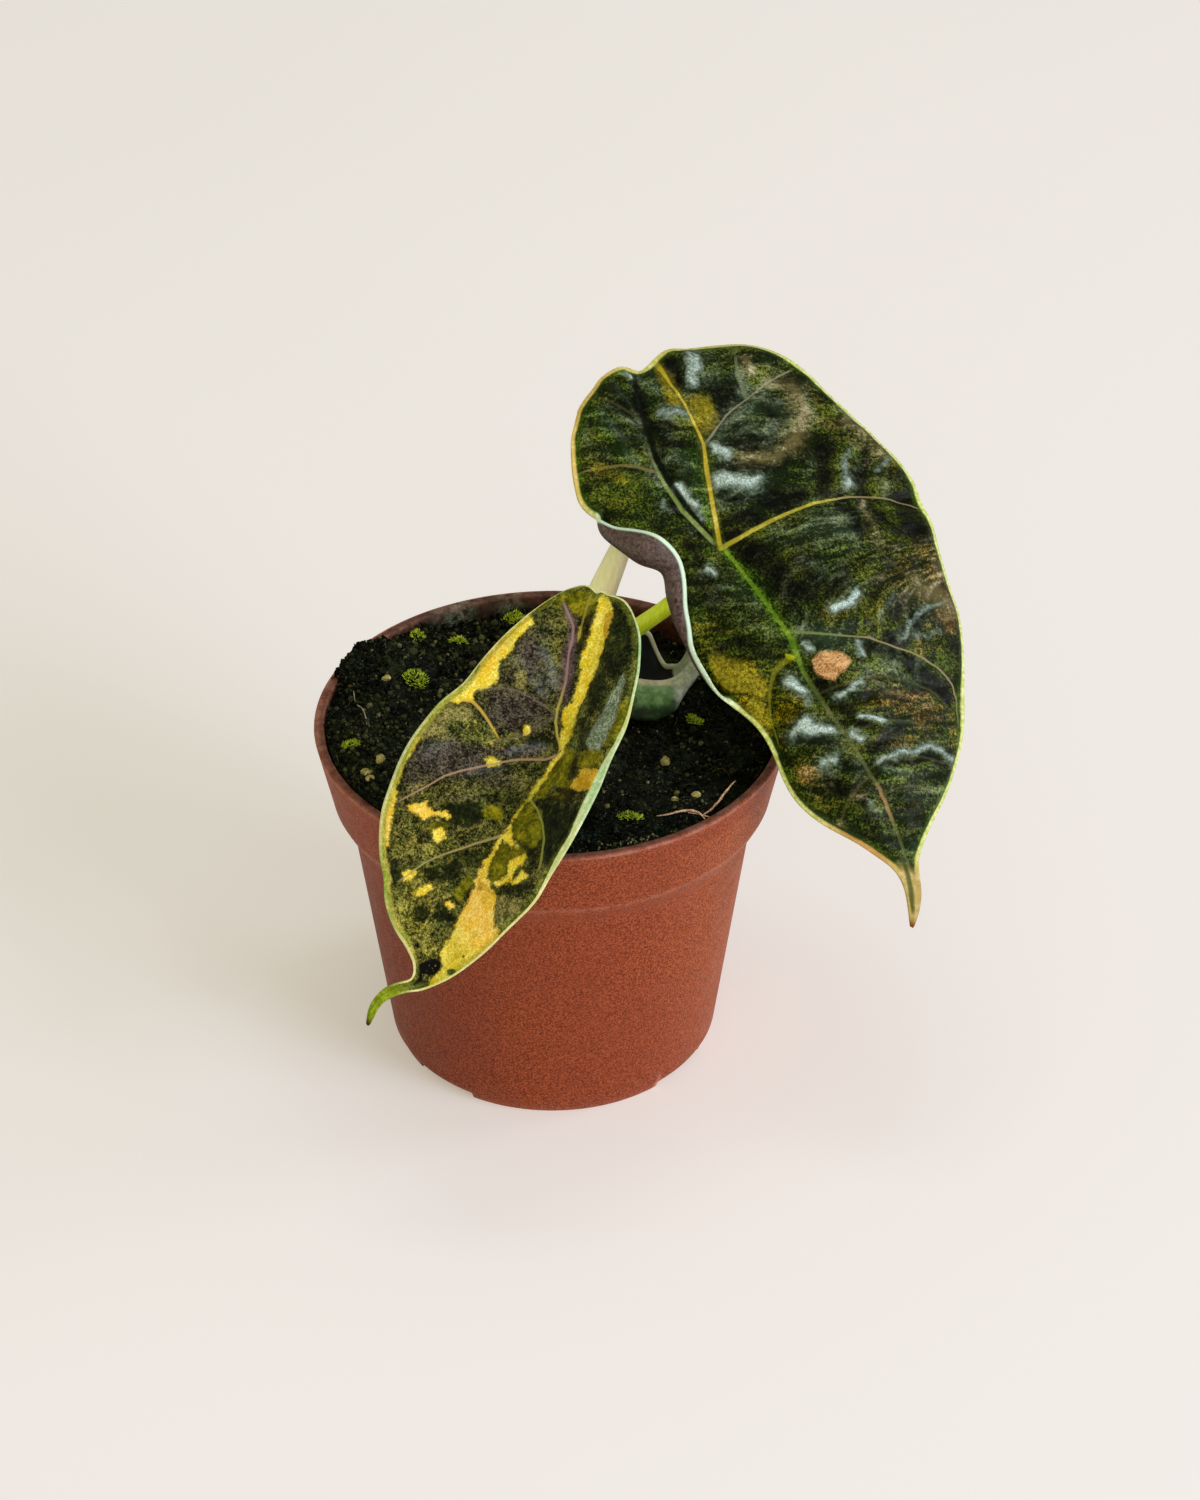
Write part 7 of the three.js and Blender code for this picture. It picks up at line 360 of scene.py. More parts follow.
def blobs(q, rows):
    out = np.zeros(len(q))
    for x, y, rx, ry, deg, k in rows:
        a = math.radians(deg)
        dx, dy = q[:, 0] - x, q[:, 1] - y
        u = dx * math.cos(a) + dy * math.sin(a)
        v = -dx * math.sin(a) + dy * math.cos(a)
        out = np.maximum(out, k * np.exp(-((u / rx) ** 2 + (v / ry) ** 2) ** 1.2))
    return out


def strokes(q, rows, grow=1.0):
    out = np.zeros(len(q))
    for line, w, k in rows:
        out = np.maximum(out, k * np.exp(-((line_dist(q, line) / (w * grow)) ** 2)))
    return out


def cones(q, rows, grow=1.0, far=-0.35):
    """like strokes, but falling off in a straight line so that it interpolates cleanly"""
    out = np.full(len(q), far)
    for line, w, k in rows:
        out = np.maximum(out, np.maximum(k * (1 - line_dist(q, line) / (1.75 * w * grow)), far))
    return out


def mesh_object(name, verts, faces, mats, mat_index=None, attrs=None, smooth=True, flat_from=None):
    me = bpy.data.meshes.new(name)
    verts = np.asarray(verts, float) * MM
    me.from_pydata(verts.tolist(), [], faces if isinstance(faces, list) else faces.tolist())
    for m in mats:
        me.materials.append(m)
    if mat_index is not None:
        me.polygons.foreach_set("material_index", np.asarray(mat_index, np.int32))
    me.polygons.foreach_set("use_smooth", np.full(len(me.polygons), smooth, bool))
    for key, val in (attrs or {}).items():
        val = np.asarray(val, np.float32)
        if val.ndim == 1:
            me.attributes.new(key, "FLOAT", "POINT").data.foreach_set("value", val)
        else:
            me.attributes.new(key, "FLOAT_VECTOR", "POINT").data.foreach_set("vector", val.ravel())
    me.validate()
    me.update()
    ob = bpy.data.objects.new(name, me)
    bpy.context.scene.collection.objects.link(ob)
    return ob


def flip_outward(verts, faces):
    """faces as tuples; turned over if the closed body faces in"""
    v = np.asarray(verts, float)
    vol = 0.0
    for f in faces:
        for i in range(1, len(f) - 1):
            vol += v[f[0]] @ np.cross(v[f[i]], v[f[i + 1]])
    return [tuple(reversed(f)) for f in faces] if vol < 0 else faces


# ------------------------------------------------------------------ node materials
class Nodes:
    def __init__(self, name):
        self.mat = bpy.data.materials.new(name)
        self.mat.use_nodes = True
        self.t = self.mat.node_tree
        self.bsdf = self.t.nodes["Principled BSDF"]
        self.x = 0

    def new(self, kind, **props):
        n = self.t.nodes.new(kind)
        for k, v in props.items():
            setattr(n, k, v)
        return n

    def put(self, sock, v):
        if isinstance(v, bpy.types.NodeSocket):
            self.t.links.new(v, sock)
        elif v is not None:
            if isinstance(v, (tuple, list)) and len(v) == 3 and sock.type == "RGBA":
                v = (*v, 1.0)
            sock.default_value = v

    def attr(self, name, out="Fac"):
        return self.new("ShaderNodeAttribute", attribute_name=name).outputs[out]

    def coord(self):
        return self.new("ShaderNodeTexCoord").outputs["Object"]

    def scaled(self, v, sx, sy, sz):
        n = self.new("ShaderNodeMapping")
        self.put(n.inputs["Vector"], v)
        n.inputs["Scale"].default_value = (sx, sy, sz)
        return n.outputs["Vector"]

    def math(self, op, a, b=None, c=None, clamp=False):
        n = self.new("ShaderNodeMath", operation=op, use_clamp=clamp)
        self.put(n.inputs[0], a)
        if b is not None:
            self.put(n.inputs[1], b)
        if c is not None:
            self.put(n.inputs[2], c)
        return n.outputs[0]

    def noise(self, vec, scale, detail=2.0, rough=0.5, out="Fac", distortion=0.0):
        n = self.new("ShaderNodeTexNoise")
        self.put(n.inputs["Vector"], vec)
        n.inputs["Scale"].default_value = scale
        n.inputs["Detail"].default_value = detail
        n.inputs["Roughness"].default_value = rough
        n.inputs["Distortion"].default_value = distortion
        return n.outputs[out]

    def voronoi(self, vec, scale, feature="F1", out="Distance"):
        n = self.new("ShaderNodeTexVoronoi", feature=feature)
        self.put(n.inputs["Vector"], vec)
        n.inputs["Scale"].default_value = scale
        return n.outputs[out]

    def step(self, v, lo, hi, a=0.0, b=1.0):
        """smooth ramp of v from lo..hi to a..b"""
        n = self.new("ShaderNodeMapRange", interpolation_type="SMOOTHSTEP", clamp=True)
        self.put(n.inputs["Value"], v)
        n.inputs["From Min"].default_value = lo
        n.inputs["From Max"].default_value = hi
        n.inputs["To Min"].default_value = a
        n.inputs["To Max"].default_value = b
        return n.outputs["Result"]

    def mix(self, fac, a, b, blend="MIX"):
        n = self.new("ShaderNodeMix", data_type="RGBA", blend_type=blend)
        self.put(n.inputs[0], fac)
        self.put(n.inputs[6], a)
        self.put(n.inputs[7], b)
        return n.outputs[2]

    def sep(self, v):
        n = self.new("ShaderNodeSeparateXYZ")
        self.put(n.inputs[0], v)
        return n.outputs

    def bump(self, height, strength, distance, normal=None):
        n = self.new("ShaderNodeBump")
        n.inputs["Strength"].default_value = strength
        n.inputs["Distance"].default_value = distance
        self.put(n.inputs["Height"], height)
        if normal is not None:
            self.put(n.inputs["Normal"], normal)
        return n.outputs["Normal"]

    def finish(self, color=None, rough=None, normal=None, **kw):
        b = self.bsdf.inputs
        if color is not None:
            self.put(b["Base Color"], color)
        if rough is not None:
            self.put(b["Roughness"], rough)
        if normal is not None:
            self.put(b["Normal"], normal)
        for k, v in kw.items():
            self.put(b[k], v)
        return self.mat


def srgb(r, g, b, k=1.0):
    f = lambda c: ((c / 255) / 12.92 if c / 255 <= 0.04045 else ((c / 255 + 0.055) / 1.055) ** 2.4) * k
    return (f(r), f(g), f(b))


def vein_mask(m, name, soft=0.35):
    """1 on the vein whose field was stored under name"""
    x, y, z = m.sep(m.attr(name, "Vector"))
    across = m.math("ABSOLUTE", x)
    return m.math("MULTIPLY", m.step(across, 1.0 + soft, 1.0 - soft, 0.0, 1.0), y), z


# ------------------------------------------------------------------ materials
def mat_pot():
    m = Nodes("pot_plastic")
    c = m.coord()
    fine = m.noise(c, 2600, 2, 0.6)
    mid = m.noise(c, 420, 3, 0.55)
    big = m.noise(c, 45, 3, 0.5)
    grain = m.math("ADD", m.math("MULTIPLY", m.noise(c, 2900, 1, 0.5), 0.6), m.math("MULTIPLY", m.noise(c, 4700, 1, 0.5), 0.4))
    col = m.mix(m.step(fine, 0.3, 0.7), (0.190, 0.023, 0.002), (0.285, 0.046, 0.008))
    col = m.mix(m.step(mid, 0.35, 0.75, 0.0, 0.35), col, (0.35, 0.074, 0.022))
    col = m.mix(m.step(grain, 0.40, 0.62), m.mix(0.6, col, (0.115, 0.010, 0.001)), m.mix(0.8, col, (0.50, 0.110, 0.034)))
    col = m.mix(m.step(big, 0.3, 0.75, 0.0, 0.25), col, (0.26, 0.050, 0.022))
    # painted shade: the lower left of the wall, away from the lamps, is darker and duller
    col = m.mix(m.math("MULTIPLY", m.attr("painted_left_shade"), 0.5), col, m.mix(1.0, col, (0.55, 0.46, 0.36), "MULTIPLY"))
    # painted light: the right side of the wall, towards the lamps, is lighter and paler
    col = m.mix(m.attr("painted_right_light"), col, m.mix(1.0, col, (1.18, 1.40, 1.32), "MULTIPLY"))
    # peat dust and smears towards the inside and the lip, which also stand in as painted shade on the inner wall
    peat_dirt_and_shade = m.attr("peat_dirt_and_shade")
    smears_and_shade = m.math("MULTIPLY", peat_dirt_and_shade, m.step(m.noise(c, 260, 5, 0.65), 0.12, 0.38))
    col = m.mix(m.math("MULTIPLY", smears_and_shade, 0.92), col, m.mix(m.step(m.noise(c, 900, 3, 0.6), 0.4, 0.7), (0.020, 0.012, 0.006), (0.085, 0.050, 0.028)))
    al = m.math("MULTIPLY", m.attr("algae"), m.step(m.noise(c, 700, 4, 0.65), 0.34, 0.6))
    col = m.mix(al, col, m.mix(m.step(fine, 0.35, 0.7), srgb(92, 112, 78), srgb(176, 186, 158)))
    # pale scuffing on edges, and painted highlights along the lip and the foot rim
    scuffs_and_highlights = m.math("MULTIPLY", m.attr("edge"), m.step(m.noise(c, 500, 3, 0.6), 0.36, 0.62, 0.25, 0.85))
    col = m.mix(scuffs_and_highlights, col, (0.60, 0.27, 0.17))
    h = m.math("ADD", m.math("MULTIPLY", fine, 0.6), m.math("MULTIPLY", mid, 0.5))
    nrm = m.bump(h, 0.35, 0.00012)
    rough = m.step(mid, 0.3, 0.7, 0.50, 0.62)
    return m.finish(col, rough, nrm, **{"Specular IOR Level": 0.20, "Specular Tint": (1.0, 0.86, 0.70, 1.0)})


def mat_soil():
    m = Nodes("peat")
    c = m.coord()
    tone = m.attr("tone")
    n1 = m.noise(c, 900, 4, 0.65)
    n2 = m.noise(c, 160, 3, 0.6)
    col = m.mix(m.step(tone, 0.1, 0.8), (0.0005, 0.0008, 0.0005), (0.0110, 0.0120, 0.0055))
    col = m.mix(m.step(tone, 0.62, 0.86), col, (0.070, 0.076, 0.024))
    col = m.mix(m.step(tone, 0.88, 0.93), col, (0.190, 0.185, 0.060))
    col = m.mix(m.step(tone, 0.975, 0.99), col, (0.30, 0.25, 0.13))
    col = m.mix(m.step(m.math("ADD", m.math("MULTIPLY", n1, 0.6), m.math("MULTIPLY", n2, 0.4)), 0.50, 0.64, 0.0, 0.8), col, (0.026, 0.030, 0.011))
    spk = m.noise(c, 1700, 3, 0.7)
    col = m.mix(m.step(spk, 0.57, 0.67, 0.0, 0.85), col, (0.085, 0.100, 0.030))
    teal = m.math("MULTIPLY", m.step(m.noise(c, 210, 4, 0.65), 0.50, 0.66), m.step(m.noise(c, 1100, 3, 0.6), 0.44, 0.62))
    col = m.mix(m.math("MULTIPLY", teal, 0.75), col, (0.018, 0.040, 0.020))
    col = m.mix(m.step(m.noise(c, 2300, 2, 0.6), 0.71, 0.76, 0.0, 0.9), col, (0.30, 0.27, 0.13))
    green = m.math("MULTIPLY", m.step(n2, 0.55, 0.72), m.step(m.noise(c, 1500, 3, 0.6), 0.45, 0.65))
    col = m.mix(m.math("MULTIPLY", green, 0.7), col, (0.026, 0.044, 0.008))
    nrm = m.bump(n1, 0.6, 0.0003)
    return m.finish(col, m.step(n2, 0.3, 0.7, 0.86, 1.0), nrm, **{"Specular IOR Level": 0.08})


def leaf_base(m, c):
    """fine mottling shared by the blades: 0..1"""
    a = m.noise(c, 1500, 4, 0.7)
    b = m.noise(c, 520, 3, 0.6)
    return a, b


def speckled(m, attr, noise, gain=1.1, lo=0.22, hi=0.85):
    """an attribute broken up by noise, 0..1"""
    return m.step(m.math("ADD", m.attr(attr), m.math("MULTIPLY", m.math("SUBTRACT", noise, 0.5), gain)), lo, hi)


def mat_blade_big():
    m = Nodes("dark_blade")
    c = m.coord()
    fine, mid = leaf_base(m, c)
    grain = m.math("ADD", m.math("MULTIPLY", m.noise(c, 2500, 2, 0.6), 0.55), m.math("MULTIPLY", m.noise(c, 4200, 1, 0.5), 0.45))
    wide = m.noise(c, 150, 3, 0.55)
    flow = m.noise(m.attr("flow", "Vector"), 1.05, 3, 0.5)
    band = m.noise(m.attr("flow", "Vector"), 0.36, 2, 0.5)
    mott = m.math("ADD", m.math("MULTIPLY", flow, 0.17), m.math("ADD", m.math("MULTIPLY", band, 0.33), m.math("ADD", m.math("MULTIPLY", grain, 0.28), m.math("MULTIPLY", fine, 0.22))))
    mott = m.step(mott, 0.455, 0.655)
    col = m.mix(mott, srgb(17, 24, 3), srgb(98, 106, 26))
    col = m.mix(m.step(wide, 0.38, 0.68, 0.0, 0.7), col, m.mix(mott, srgb(13, 26, 3), srgb(76, 102, 26)))
    col = m.mix(speckled(m, "bronze", flow, 1.3, 0.3, 1.0), col, m.mix(mott, srgb(58, 38, 2), srgb(166, 122, 48)))
    col = m.mix(speckled(m, "olive", flow, 1.2, 0.3, 0.95), col, m.mix(mott, srgb(64, 57, 0), srgb(150, 133, 14)))
    col = m.mix(m.math("MULTIPLY", speckled(m, "mauve", flow, 1.0, 0.3, 1.0), 0.6), col, m.mix(mott, srgb(36, 28, 24), srgb(116, 100, 84)))
    col = m.mix(m.math("MULTIPLY", speckled(m, "deep", flow, 0.8, 0.3, 1.1), 0.7), col, m.mix(mott, srgb(8, 32, 3), srgb(40, 82, 14)))
    col = m.mix(m.math("MULTIPLY", speckled(m, "greens", flow, 0.9, 0.2, 0.95), 0.85), col, m.mix(mott, srgb(24, 50, 2), srgb(96, 130, 22)))
    # crisp olive sectors with ragged edges
    rag = m.math("MULTIPLY", m.math("SUBTRACT", m.noise(c, 700, 4, 0.65), 0.5), 2.6)
    oc = m.step(m.math("ADD", m.attr("f_olive"), rag), 0.9, -0.7)
    col = m.mix(m.math("MULTIPLY", oc, 0.85), col, m.mix(mott, srgb(88, 80, 2), srgb(164, 150, 26)))
    # painted shade: near-black in the creases beside the ridges
    col = m.mix(speckled(m, "painted_crease_shade", flow, 0.7, 0.05, 0.62), col, m.mix(mott, srgb(2, 4, 1), srgb(30, 34, 8)))
    # small dark pits and light flecks over the whole face
    pit = m.math("ADD", m.math("MULTIPLY", fine, 0.25), m.math("MULTIPLY", grain, 0.75))
    col = m.mix(1.0, col, m.mix(m.step(pit, 0.41, 0.60), (0.40, 0.41, 0.36), (1.78, 1.76, 1.62)), "MULTIPLY")
    col = m.mix(m.math("MULTIPLY", oc, 0.45), col, m.mix(m.step(fine, 0.35, 0.65), srgb(92, 86, 8), srgb(164, 150, 40)))
    # painted highlights: a grey haze of soft highlight, warmer highlights and silvery highlights on the ridges
    streaky = m.math("ADD", m.math("MULTIPLY", flow, 0.5), m.math("MULTIPLY", fine, 0.5))
    col = m.mix(m.math("MULTIPLY", speckled(m, "painted_soft_highlight", streaky, 1.0, 0.0, 0.80), 0.9), col, m.mix(mott, srgb(40, 56, 34), srgb(154, 170, 134)))
    col = m.mix(m.math("MULTIPLY", speckled(m, "warm", streaky, 1.0, 0.02, 0.8), 0.92), col, m.mix(mott, srgb(92, 84, 46), srgb(206, 196, 150)))
    soft = m.math("ADD", m.math("MULTIPLY", flow, 0.45), m.math("ADD", m.math("MULTIPLY", fine, 0.35), m.math("MULTIPLY", grain, 0.2)))
    col = m.mix(m.math("MULTIPLY", speckled(m, "silver", soft, 0.9, -0.02, 0.50), 0.9), col, m.mix(m.step(fine, 0.35, 0.7), srgb(70, 86, 70), srgb(128, 142, 124)))
    col = m.mix(speckled(m, "silver", soft, 0.8, 0.34, 0.90), col, m.mix(m.step(grain, 0.42, 0.60), srgb(138, 162, 148), srgb(206, 222, 208)))
    # orange-brown blemish
    bl = m.step(m.math("ADD", m.attr("f_blemish"), m.math("MULTIPLY", rag, 0.5)), 0.3, -0.5)
    col = m.mix(bl, col, m.mix(m.step(m.math("ADD", m.math("MULTIPLY", flow, 0.4), m.math("MULTIPLY", grain, 0.6)), 0.40, 0.60), srgb(146, 98, 50), srgb(222, 176, 118)))
    # faint secondary veins
    for k in ("v_r3", "v_r4", "v_r5", "v_r6", "v_r7", "v_lo2"):
        mk, _ = vein_mask(m, k, 0.5)
        col = m.mix(m.math("MULTIPLY", mk, 0.16), col, srgb(112, 108, 64))
    for k, colour, amt in (("v_ua", srgb(168, 160, 128), 0.5), ("v_ua2", srgb(150, 162, 116), 0.28), ("v_lo1", srgb(140, 124, 70), 0.5), ("v_ll1", srgb(140, 136, 34), 0.5), ("v_ll2", srgb(126, 104, 66), 0.16), ("v_ll3", srgb(90, 94, 50), 0.25)):
        mk, _ = vein_mask(m, k, 0.45)
        col = m.mix(m.math("MULTIPLY", mk, amt), col, colour)
    mk, al = vein_mask(m, "v_r2", 0.4)
    col = m.mix(m.math("MULTIPLY", mk, 0.8), col, m.mix(m.step(al, 0.1, 0.5), srgb(112, 128, 70), srgb(144, 130, 92)))
    # left costa: pale line in a fold, the fold darkened as painted shade
    mk, al = vein_mask(m, "v_lc_fold_shade", 0.6)
    col = m.mix(m.math("MULTIPLY", mk, 0.9), col, srgb(5, 12, 4))
    mk, al = vein_mask(m, "v_lc", 0.45)
    col = m.mix(m.math("MULTIPLY", mk, m.step(al, 0.66, 0.34, 0.0, 0.9)), col, m.mix(mott, srgb(118, 136, 70), srgb(184, 196, 128)))
    # midrib: green band, two bright lines, paling to tan at the tip
    mk, al = vein_mask(m, "v_midw", 0.4)
    col = m.mix(m.math("MULTIPLY", mk, m.step(al, 0.48, 0.24, 0.0, 0.72)), col, m.mix(m.step(m.math("ADD", m.math("MULTIPLY", fine, 0.6), m.math("MULTIPLY", pit, 0.4)), 0.42, 0.60), srgb(8, 32, 1), srgb(98, 130, 24)))
    mk, al = vein_mask(m, "v_mid", 0.5)
    orange = m.math("MULTIPLY", m.step(al, 0.72, 0.77, 0.0, 0.7), m.step(al, 0.86, 0.81))
    warm = m.mix(m.step(al, 0.30, 0.46), m.mix(mott, srgb(84, 120, 14), srgb(160, 184, 60)), m.mix(orange, m.mix(mott, srgb(72, 82, 38), srgb(126, 128, 78)), srgb(176, 134, 88)))
    col = m.mix(m.math("MULTIPLY", mk, 0.8), col, warm)
    mk, al = vein_mask(m, "v_midl", 0.5)
    col = m.mix(m.math("MULTIPLY", mk, m.step(al, 0.95, 0.55, 0.0, 0.8)), col, m.mix(mott, srgb(70, 108, 14), srgb(144, 170, 58)))
    node = m.attr("nodey")
    col = m.mix(m.step(m.math("ADD", node, m.math("MULTIPLY", m.math("SUBTRACT", fine, 0.5), 0.5)), 0.3, 0.75), col, m.mix(mott, srgb(146, 150, 4), srgb(200, 204, 30)))
    # yellow veins
    mk, al = vein_mask(m, "v_r1", 0.4)
    col = m.mix(m.math("MULTIPLY", mk, m.step(al, 0.5, 0.75, 0.95, 0.6)), col, m.mix(m.step(al, 0.5, 0.72), m.mix(mott, srgb(150, 140, 34), srgb(210, 198, 88)), srgb(150, 136, 92)))
    mk, al = vein_mask(m, "v_rcw", 0.6)
    col = m.mix(m.math("MULTIPLY", mk, 0.55), col, m.mix(mott, srgb(60, 66, 8), srgb(132, 130, 40)))
    mk, al = vein_mask(m, "v_rc", 0.4)
    col = m.mix(m.math("MULTIPLY", mk, 0.95), col, m.mix(mott, srgb(170, 150, 34), srgb(226, 210, 104)))
    # rim of the blade
    dm = m.attr("margin")
    rim = m.step(m.math("ADD", dm, m.math("MULTIPLY", m.math("SUBTRACT", mid, 0.5), 0.25)), 0.92, 0.42)
    inner = m.step(m.math("ADD", dm, m.math("MULTIPLY", m.math("SUBTRACT", mid, 0.5), 1.2)), 2.0, 0.9, 0.0, 0.6)
    inner = m.math("MULTIPLY", inner, m.math("SUBTRACT", 1.0, m.attr("goldside")))
    col = m.mix(inner, col, m.mix(mott, srgb(34, 62, 2), srgb(92, 122, 18)))
    rc = m.mix(m.attr("mint"), m.mix(m.step(fine, 0.35, 0.68), srgb(176, 190, 78), srgb(232, 234, 160)), m.mix(m.step(fine, 0.35, 0.68), srgb(176, 196, 142), srgb(232, 238, 204)))
    rc = m.mix(m.attr("goldedge"), rc, m.mix(mott, srgb(206, 174, 84), srgb(244, 222, 140)))
    rc = m.mix(m.attr("tanedge"), rc, m.mix(mott, srgb(186, 136, 70), srgb(230, 188, 118)))
    col = m.mix(rim, col, rc)
    # drip tip: cream with a green groove
    col = m.mix(m.attr("tail"), col, m.mix(mott, srgb(176, 152, 86), srgb(222, 204, 142)))
    mk, al = vein_mask(m, "v_groove", 0.6)
    col = m.mix(m.math("MULTIPLY", mk, 0.85), col, srgb(58, 76, 22))
    col = m.mix(m.attr("tipend"), col, srgb(120, 64, 20))
    h = m.math("ADD", m.math("MULTIPLY", fine, 0.4), m.math("MULTIPLY", mid, 0.6))
    h = m.math("ADD", h, m.math("MULTIPLY", flow, 1.1))
    nrm = m.bump(h, 0.45, 0.00022)
    rough = m.step(mid, 0.3, 0.7, 0.30, 0.44)
    rough = m.math("ADD", rough, m.math("MULTIPLY", rim, 0.18))
    return m.finish(col, rough, nrm, **{"Specular IOR Level": 0.09, "Specular Tint": (1.0, 0.98, 0.80, 1.0)})


def mat_underside():
    m = Nodes("blade_underside")
    c = m.coord()
    fine, mid = leaf_base(m, c)
    grain = m.noise(c, 2600, 2, 0.6)
    col = m.mix(m.step(fine, 0.35, 0.65), srgb(56, 38, 34), srgb(104, 82, 74))
    col = m.mix(1.0, col, m.mix(m.step(grain, 0.38, 0.62), (0.72, 0.72, 0.72), (1.26, 1.26, 1.24)), "MULTIPLY")
    col = m.mix(m.step(mid, 0.35, 0.75, 0.0, 0.5), col, srgb(98, 92, 74))
    rib = m.attr("under")
    col = m.mix(m.step(rib, 0.2, 0.9, 0.0, 0.8), col, srgb(148, 150, 96))
    dm = m.attr("margin")
    rim = m.step(dm, 0.75, 0.35)
    col = m.mix(rim, col, m.mix(m.attr("mint"), srgb(178, 190, 110), srgb(206, 232, 200)))
    nrm = m.bump(m.math("ADD", fine, mid), 0.4, 0.0002)
    return m.finish(col, m.step(mid, 0.3, 0.7, 0.45, 0.6), nrm, **{"Specular IOR Level": 0.35})


def mat_blade_small():
    m = Nodes("variegated_blade")
    c = m.coord()
    fine, mid = leaf_base(m, c)
    grain = m.math("ADD", m.math("MULTIPLY", m.noise(c, 2500, 2, 0.6), 0.55), m.math("MULTIPLY", m.noise(c, 4200, 1, 0.5), 0.45))
    wide = m.noise(c, 170, 3, 0.55)
    flow = m.noise(m.attr("flow", "Vector"), 1.5, 4, 0.62)
    patch = m.noise(c, 420, 4, 0.62)
    mott = m.math("ADD", m.math("MULTIPLY", fine, 0.34), m.math("ADD", m.math("MULTIPLY", grain, 0.40), m.math("MULTIPLY", patch, 0.42)))
    mott = m.step(mott, 0.49, 0.71)
    mix2 = m.math("ADD", m.math("MULTIPLY", mid, 0.6), m.math("MULTIPLY", flow, 0.4))
    col = m.mix(mott, srgb(16, 20, 5), srgb(116, 112, 54))
    col = m.mix(m.step(wide, 0.4, 0.7, 0.0, 0.6), col, m.mix(mott, srgb(15, 28, 6), srgb(102, 118, 46)))
    col = m.mix(speckled(m, "lightol", mix2, 1.3, 0.25, 0.9), col, m.mix(mott, srgb(60, 60, 8), srgb(158, 152, 70)))
    col = m.mix(speckled(m, "blue", mix2, 1.1, 0.2, 0.9), col, m.mix(mott, srgb(20, 28, 20), srgb(98, 104, 88)))
    col = m.mix(m.math("MULTIPLY", speckled(m, "purple", mix2, 1.1, 0.2, 0.85), 0.85), col, m.mix(mott, srgb(24, 17, 16), srgb(92, 80, 76)))
    col = m.mix(speckled(m, "dgreen", mix2, 1.0, 0.2, 0.75), col, m.mix(mott, srgb(5, 11, 1), srgb(44, 54, 14)))
    rag = m.math("MULTIPLY", m.math("SUBTRACT", m.noise(c, 620, 5, 0.7), 0.5), 2.4)
    rag2 = m.math("MULTIPLY", m.math("SUBTRACT", m.noise(c, 1500, 4, 0.7), 0.5), 1.8)
    pit = m.math("ADD", m.math("MULTIPLY", fine, 0.32), m.math("MULTIPLY", grain, 0.68))
    pits = m.step(pit, 0.41, 0.60)
    col = m.mix(1.0, col, m.mix(pits, (0.46, 0.46, 0.42), (1.50, 1.50, 1.44)), "MULTIPLY")
    # flecks of yellow and olive
    fl = m.math("MULTIPLY", m.step(m.noise(c, 900, 4, 0.72), 0.54, 0.64), m.step(m.attr("fleck"), 0.1, 0.9))
    col = m.mix(m.math("MULTIPLY", fl, 0.8), col, m.mix(mott, srgb(124, 116, 30), srgb(214, 192, 88)))
    dk = m.step(m.math("ADD", m.attr("f_darkg"), m.math("MULTIPLY", rag, 0.9)), 0.45, -0.35)
    col = m.mix(m.math("MULTIPLY", dk, m.step(m.math("ADD", m.math("MULTIPLY", fine, 0.5), m.math("MULTIPLY", patch, 0.5)), 0.64, 0.52, 0.35, 0.92)), col, m.mix(mott, srgb(5, 10, 2), srgb(38, 46, 16)))
    pl = m.step(m.math("ADD", m.attr("f_pale"), m.math("MULTIPLY", rag, 0.8)), 0.5, -0.4)
    col = m.mix(m.math("MULTIPLY", pl, m.step(mid, 0.35, 0.65, 0.35, 0.85)), col, m.mix(pits, srgb(96, 90, 34), srgb(184, 172, 104)))
    ol = m.step(m.math("ADD", m.attr("f_olive"), m.math("MULTIPLY", rag, 0.8)), 0.35, -0.35)
    col = m.mix(m.math("MULTIPLY", ol, 0.94), col, m.mix(m.step(m.math("ADD", mid, m.math("MULTIPLY", m.math("SUBTRACT", wide, 0.5), 0.6)), 0.4, 0.62), m.mix(mott, srgb(66, 68, 0), srgb(128, 128, 12)), m.mix(mott, srgb(100, 94, 4), srgb(168, 156, 24))))
    ye = m.step(m.math("ADD", m.math("ADD", m.attr("f_yellow"), m.math("MULTIPLY", rag, 0.8)), m.math("MULTIPLY", rag2, 0.95)), 0.3, -0.3)
    yc = m.mix(m.step(mid, 0.35, 0.7), m.mix(mott, srgb(232, 194, 26), srgb(255, 236, 104)), m.mix(mott, srgb(216, 198, 40), srgb(250, 236, 112)))
    yc = m.mix(m.attr("creamy"), yc, m.mix(mott, srgb(246, 190, 60), srgb(255, 224, 124)))
    yc = m.mix(m.step(m.math("ADD", wide, m.math("MULTIPLY", m.math("SUBTRACT", mid, 0.5), 0.5)), 0.58, 0.72, 0.0, 0.5), yc, srgb(170, 152, 24))
    yc = m.mix(m.attr("limey"), yc, m.mix(mott, srgb(128, 124, 8), srgb(184, 176, 44)))
    yc = m.mix(1.0, yc, m.mix(pits, (0.86, 0.85, 0.66), (1.12, 1.16, 1.32)), "MULTIPLY")
    seam = m.step(m.math("ADD", m.math("ADD", m.attr("f_yellow"), m.math("MULTIPLY", rag, 0.7)), m.math("MULTIPLY", rag2, 0.5)), 1.5, 0.2, 0.0, 0.45)
    col = m.mix(seam, col, m.mix(mott, srgb(22, 24, 2), srgb(66, 64, 14)))
    col = m.mix(ye, col, yc)
    oc = m.step(m.math("ADD", m.attr("f_ochre"), m.math("MULTIPLY", rag, 0.8)), 0.3, -0.3)
    col = m.mix(m.math("MULTIPLY", oc, 0.8), col, m.mix(mott, srgb(160, 112, 8), srgb(210, 164, 40)))
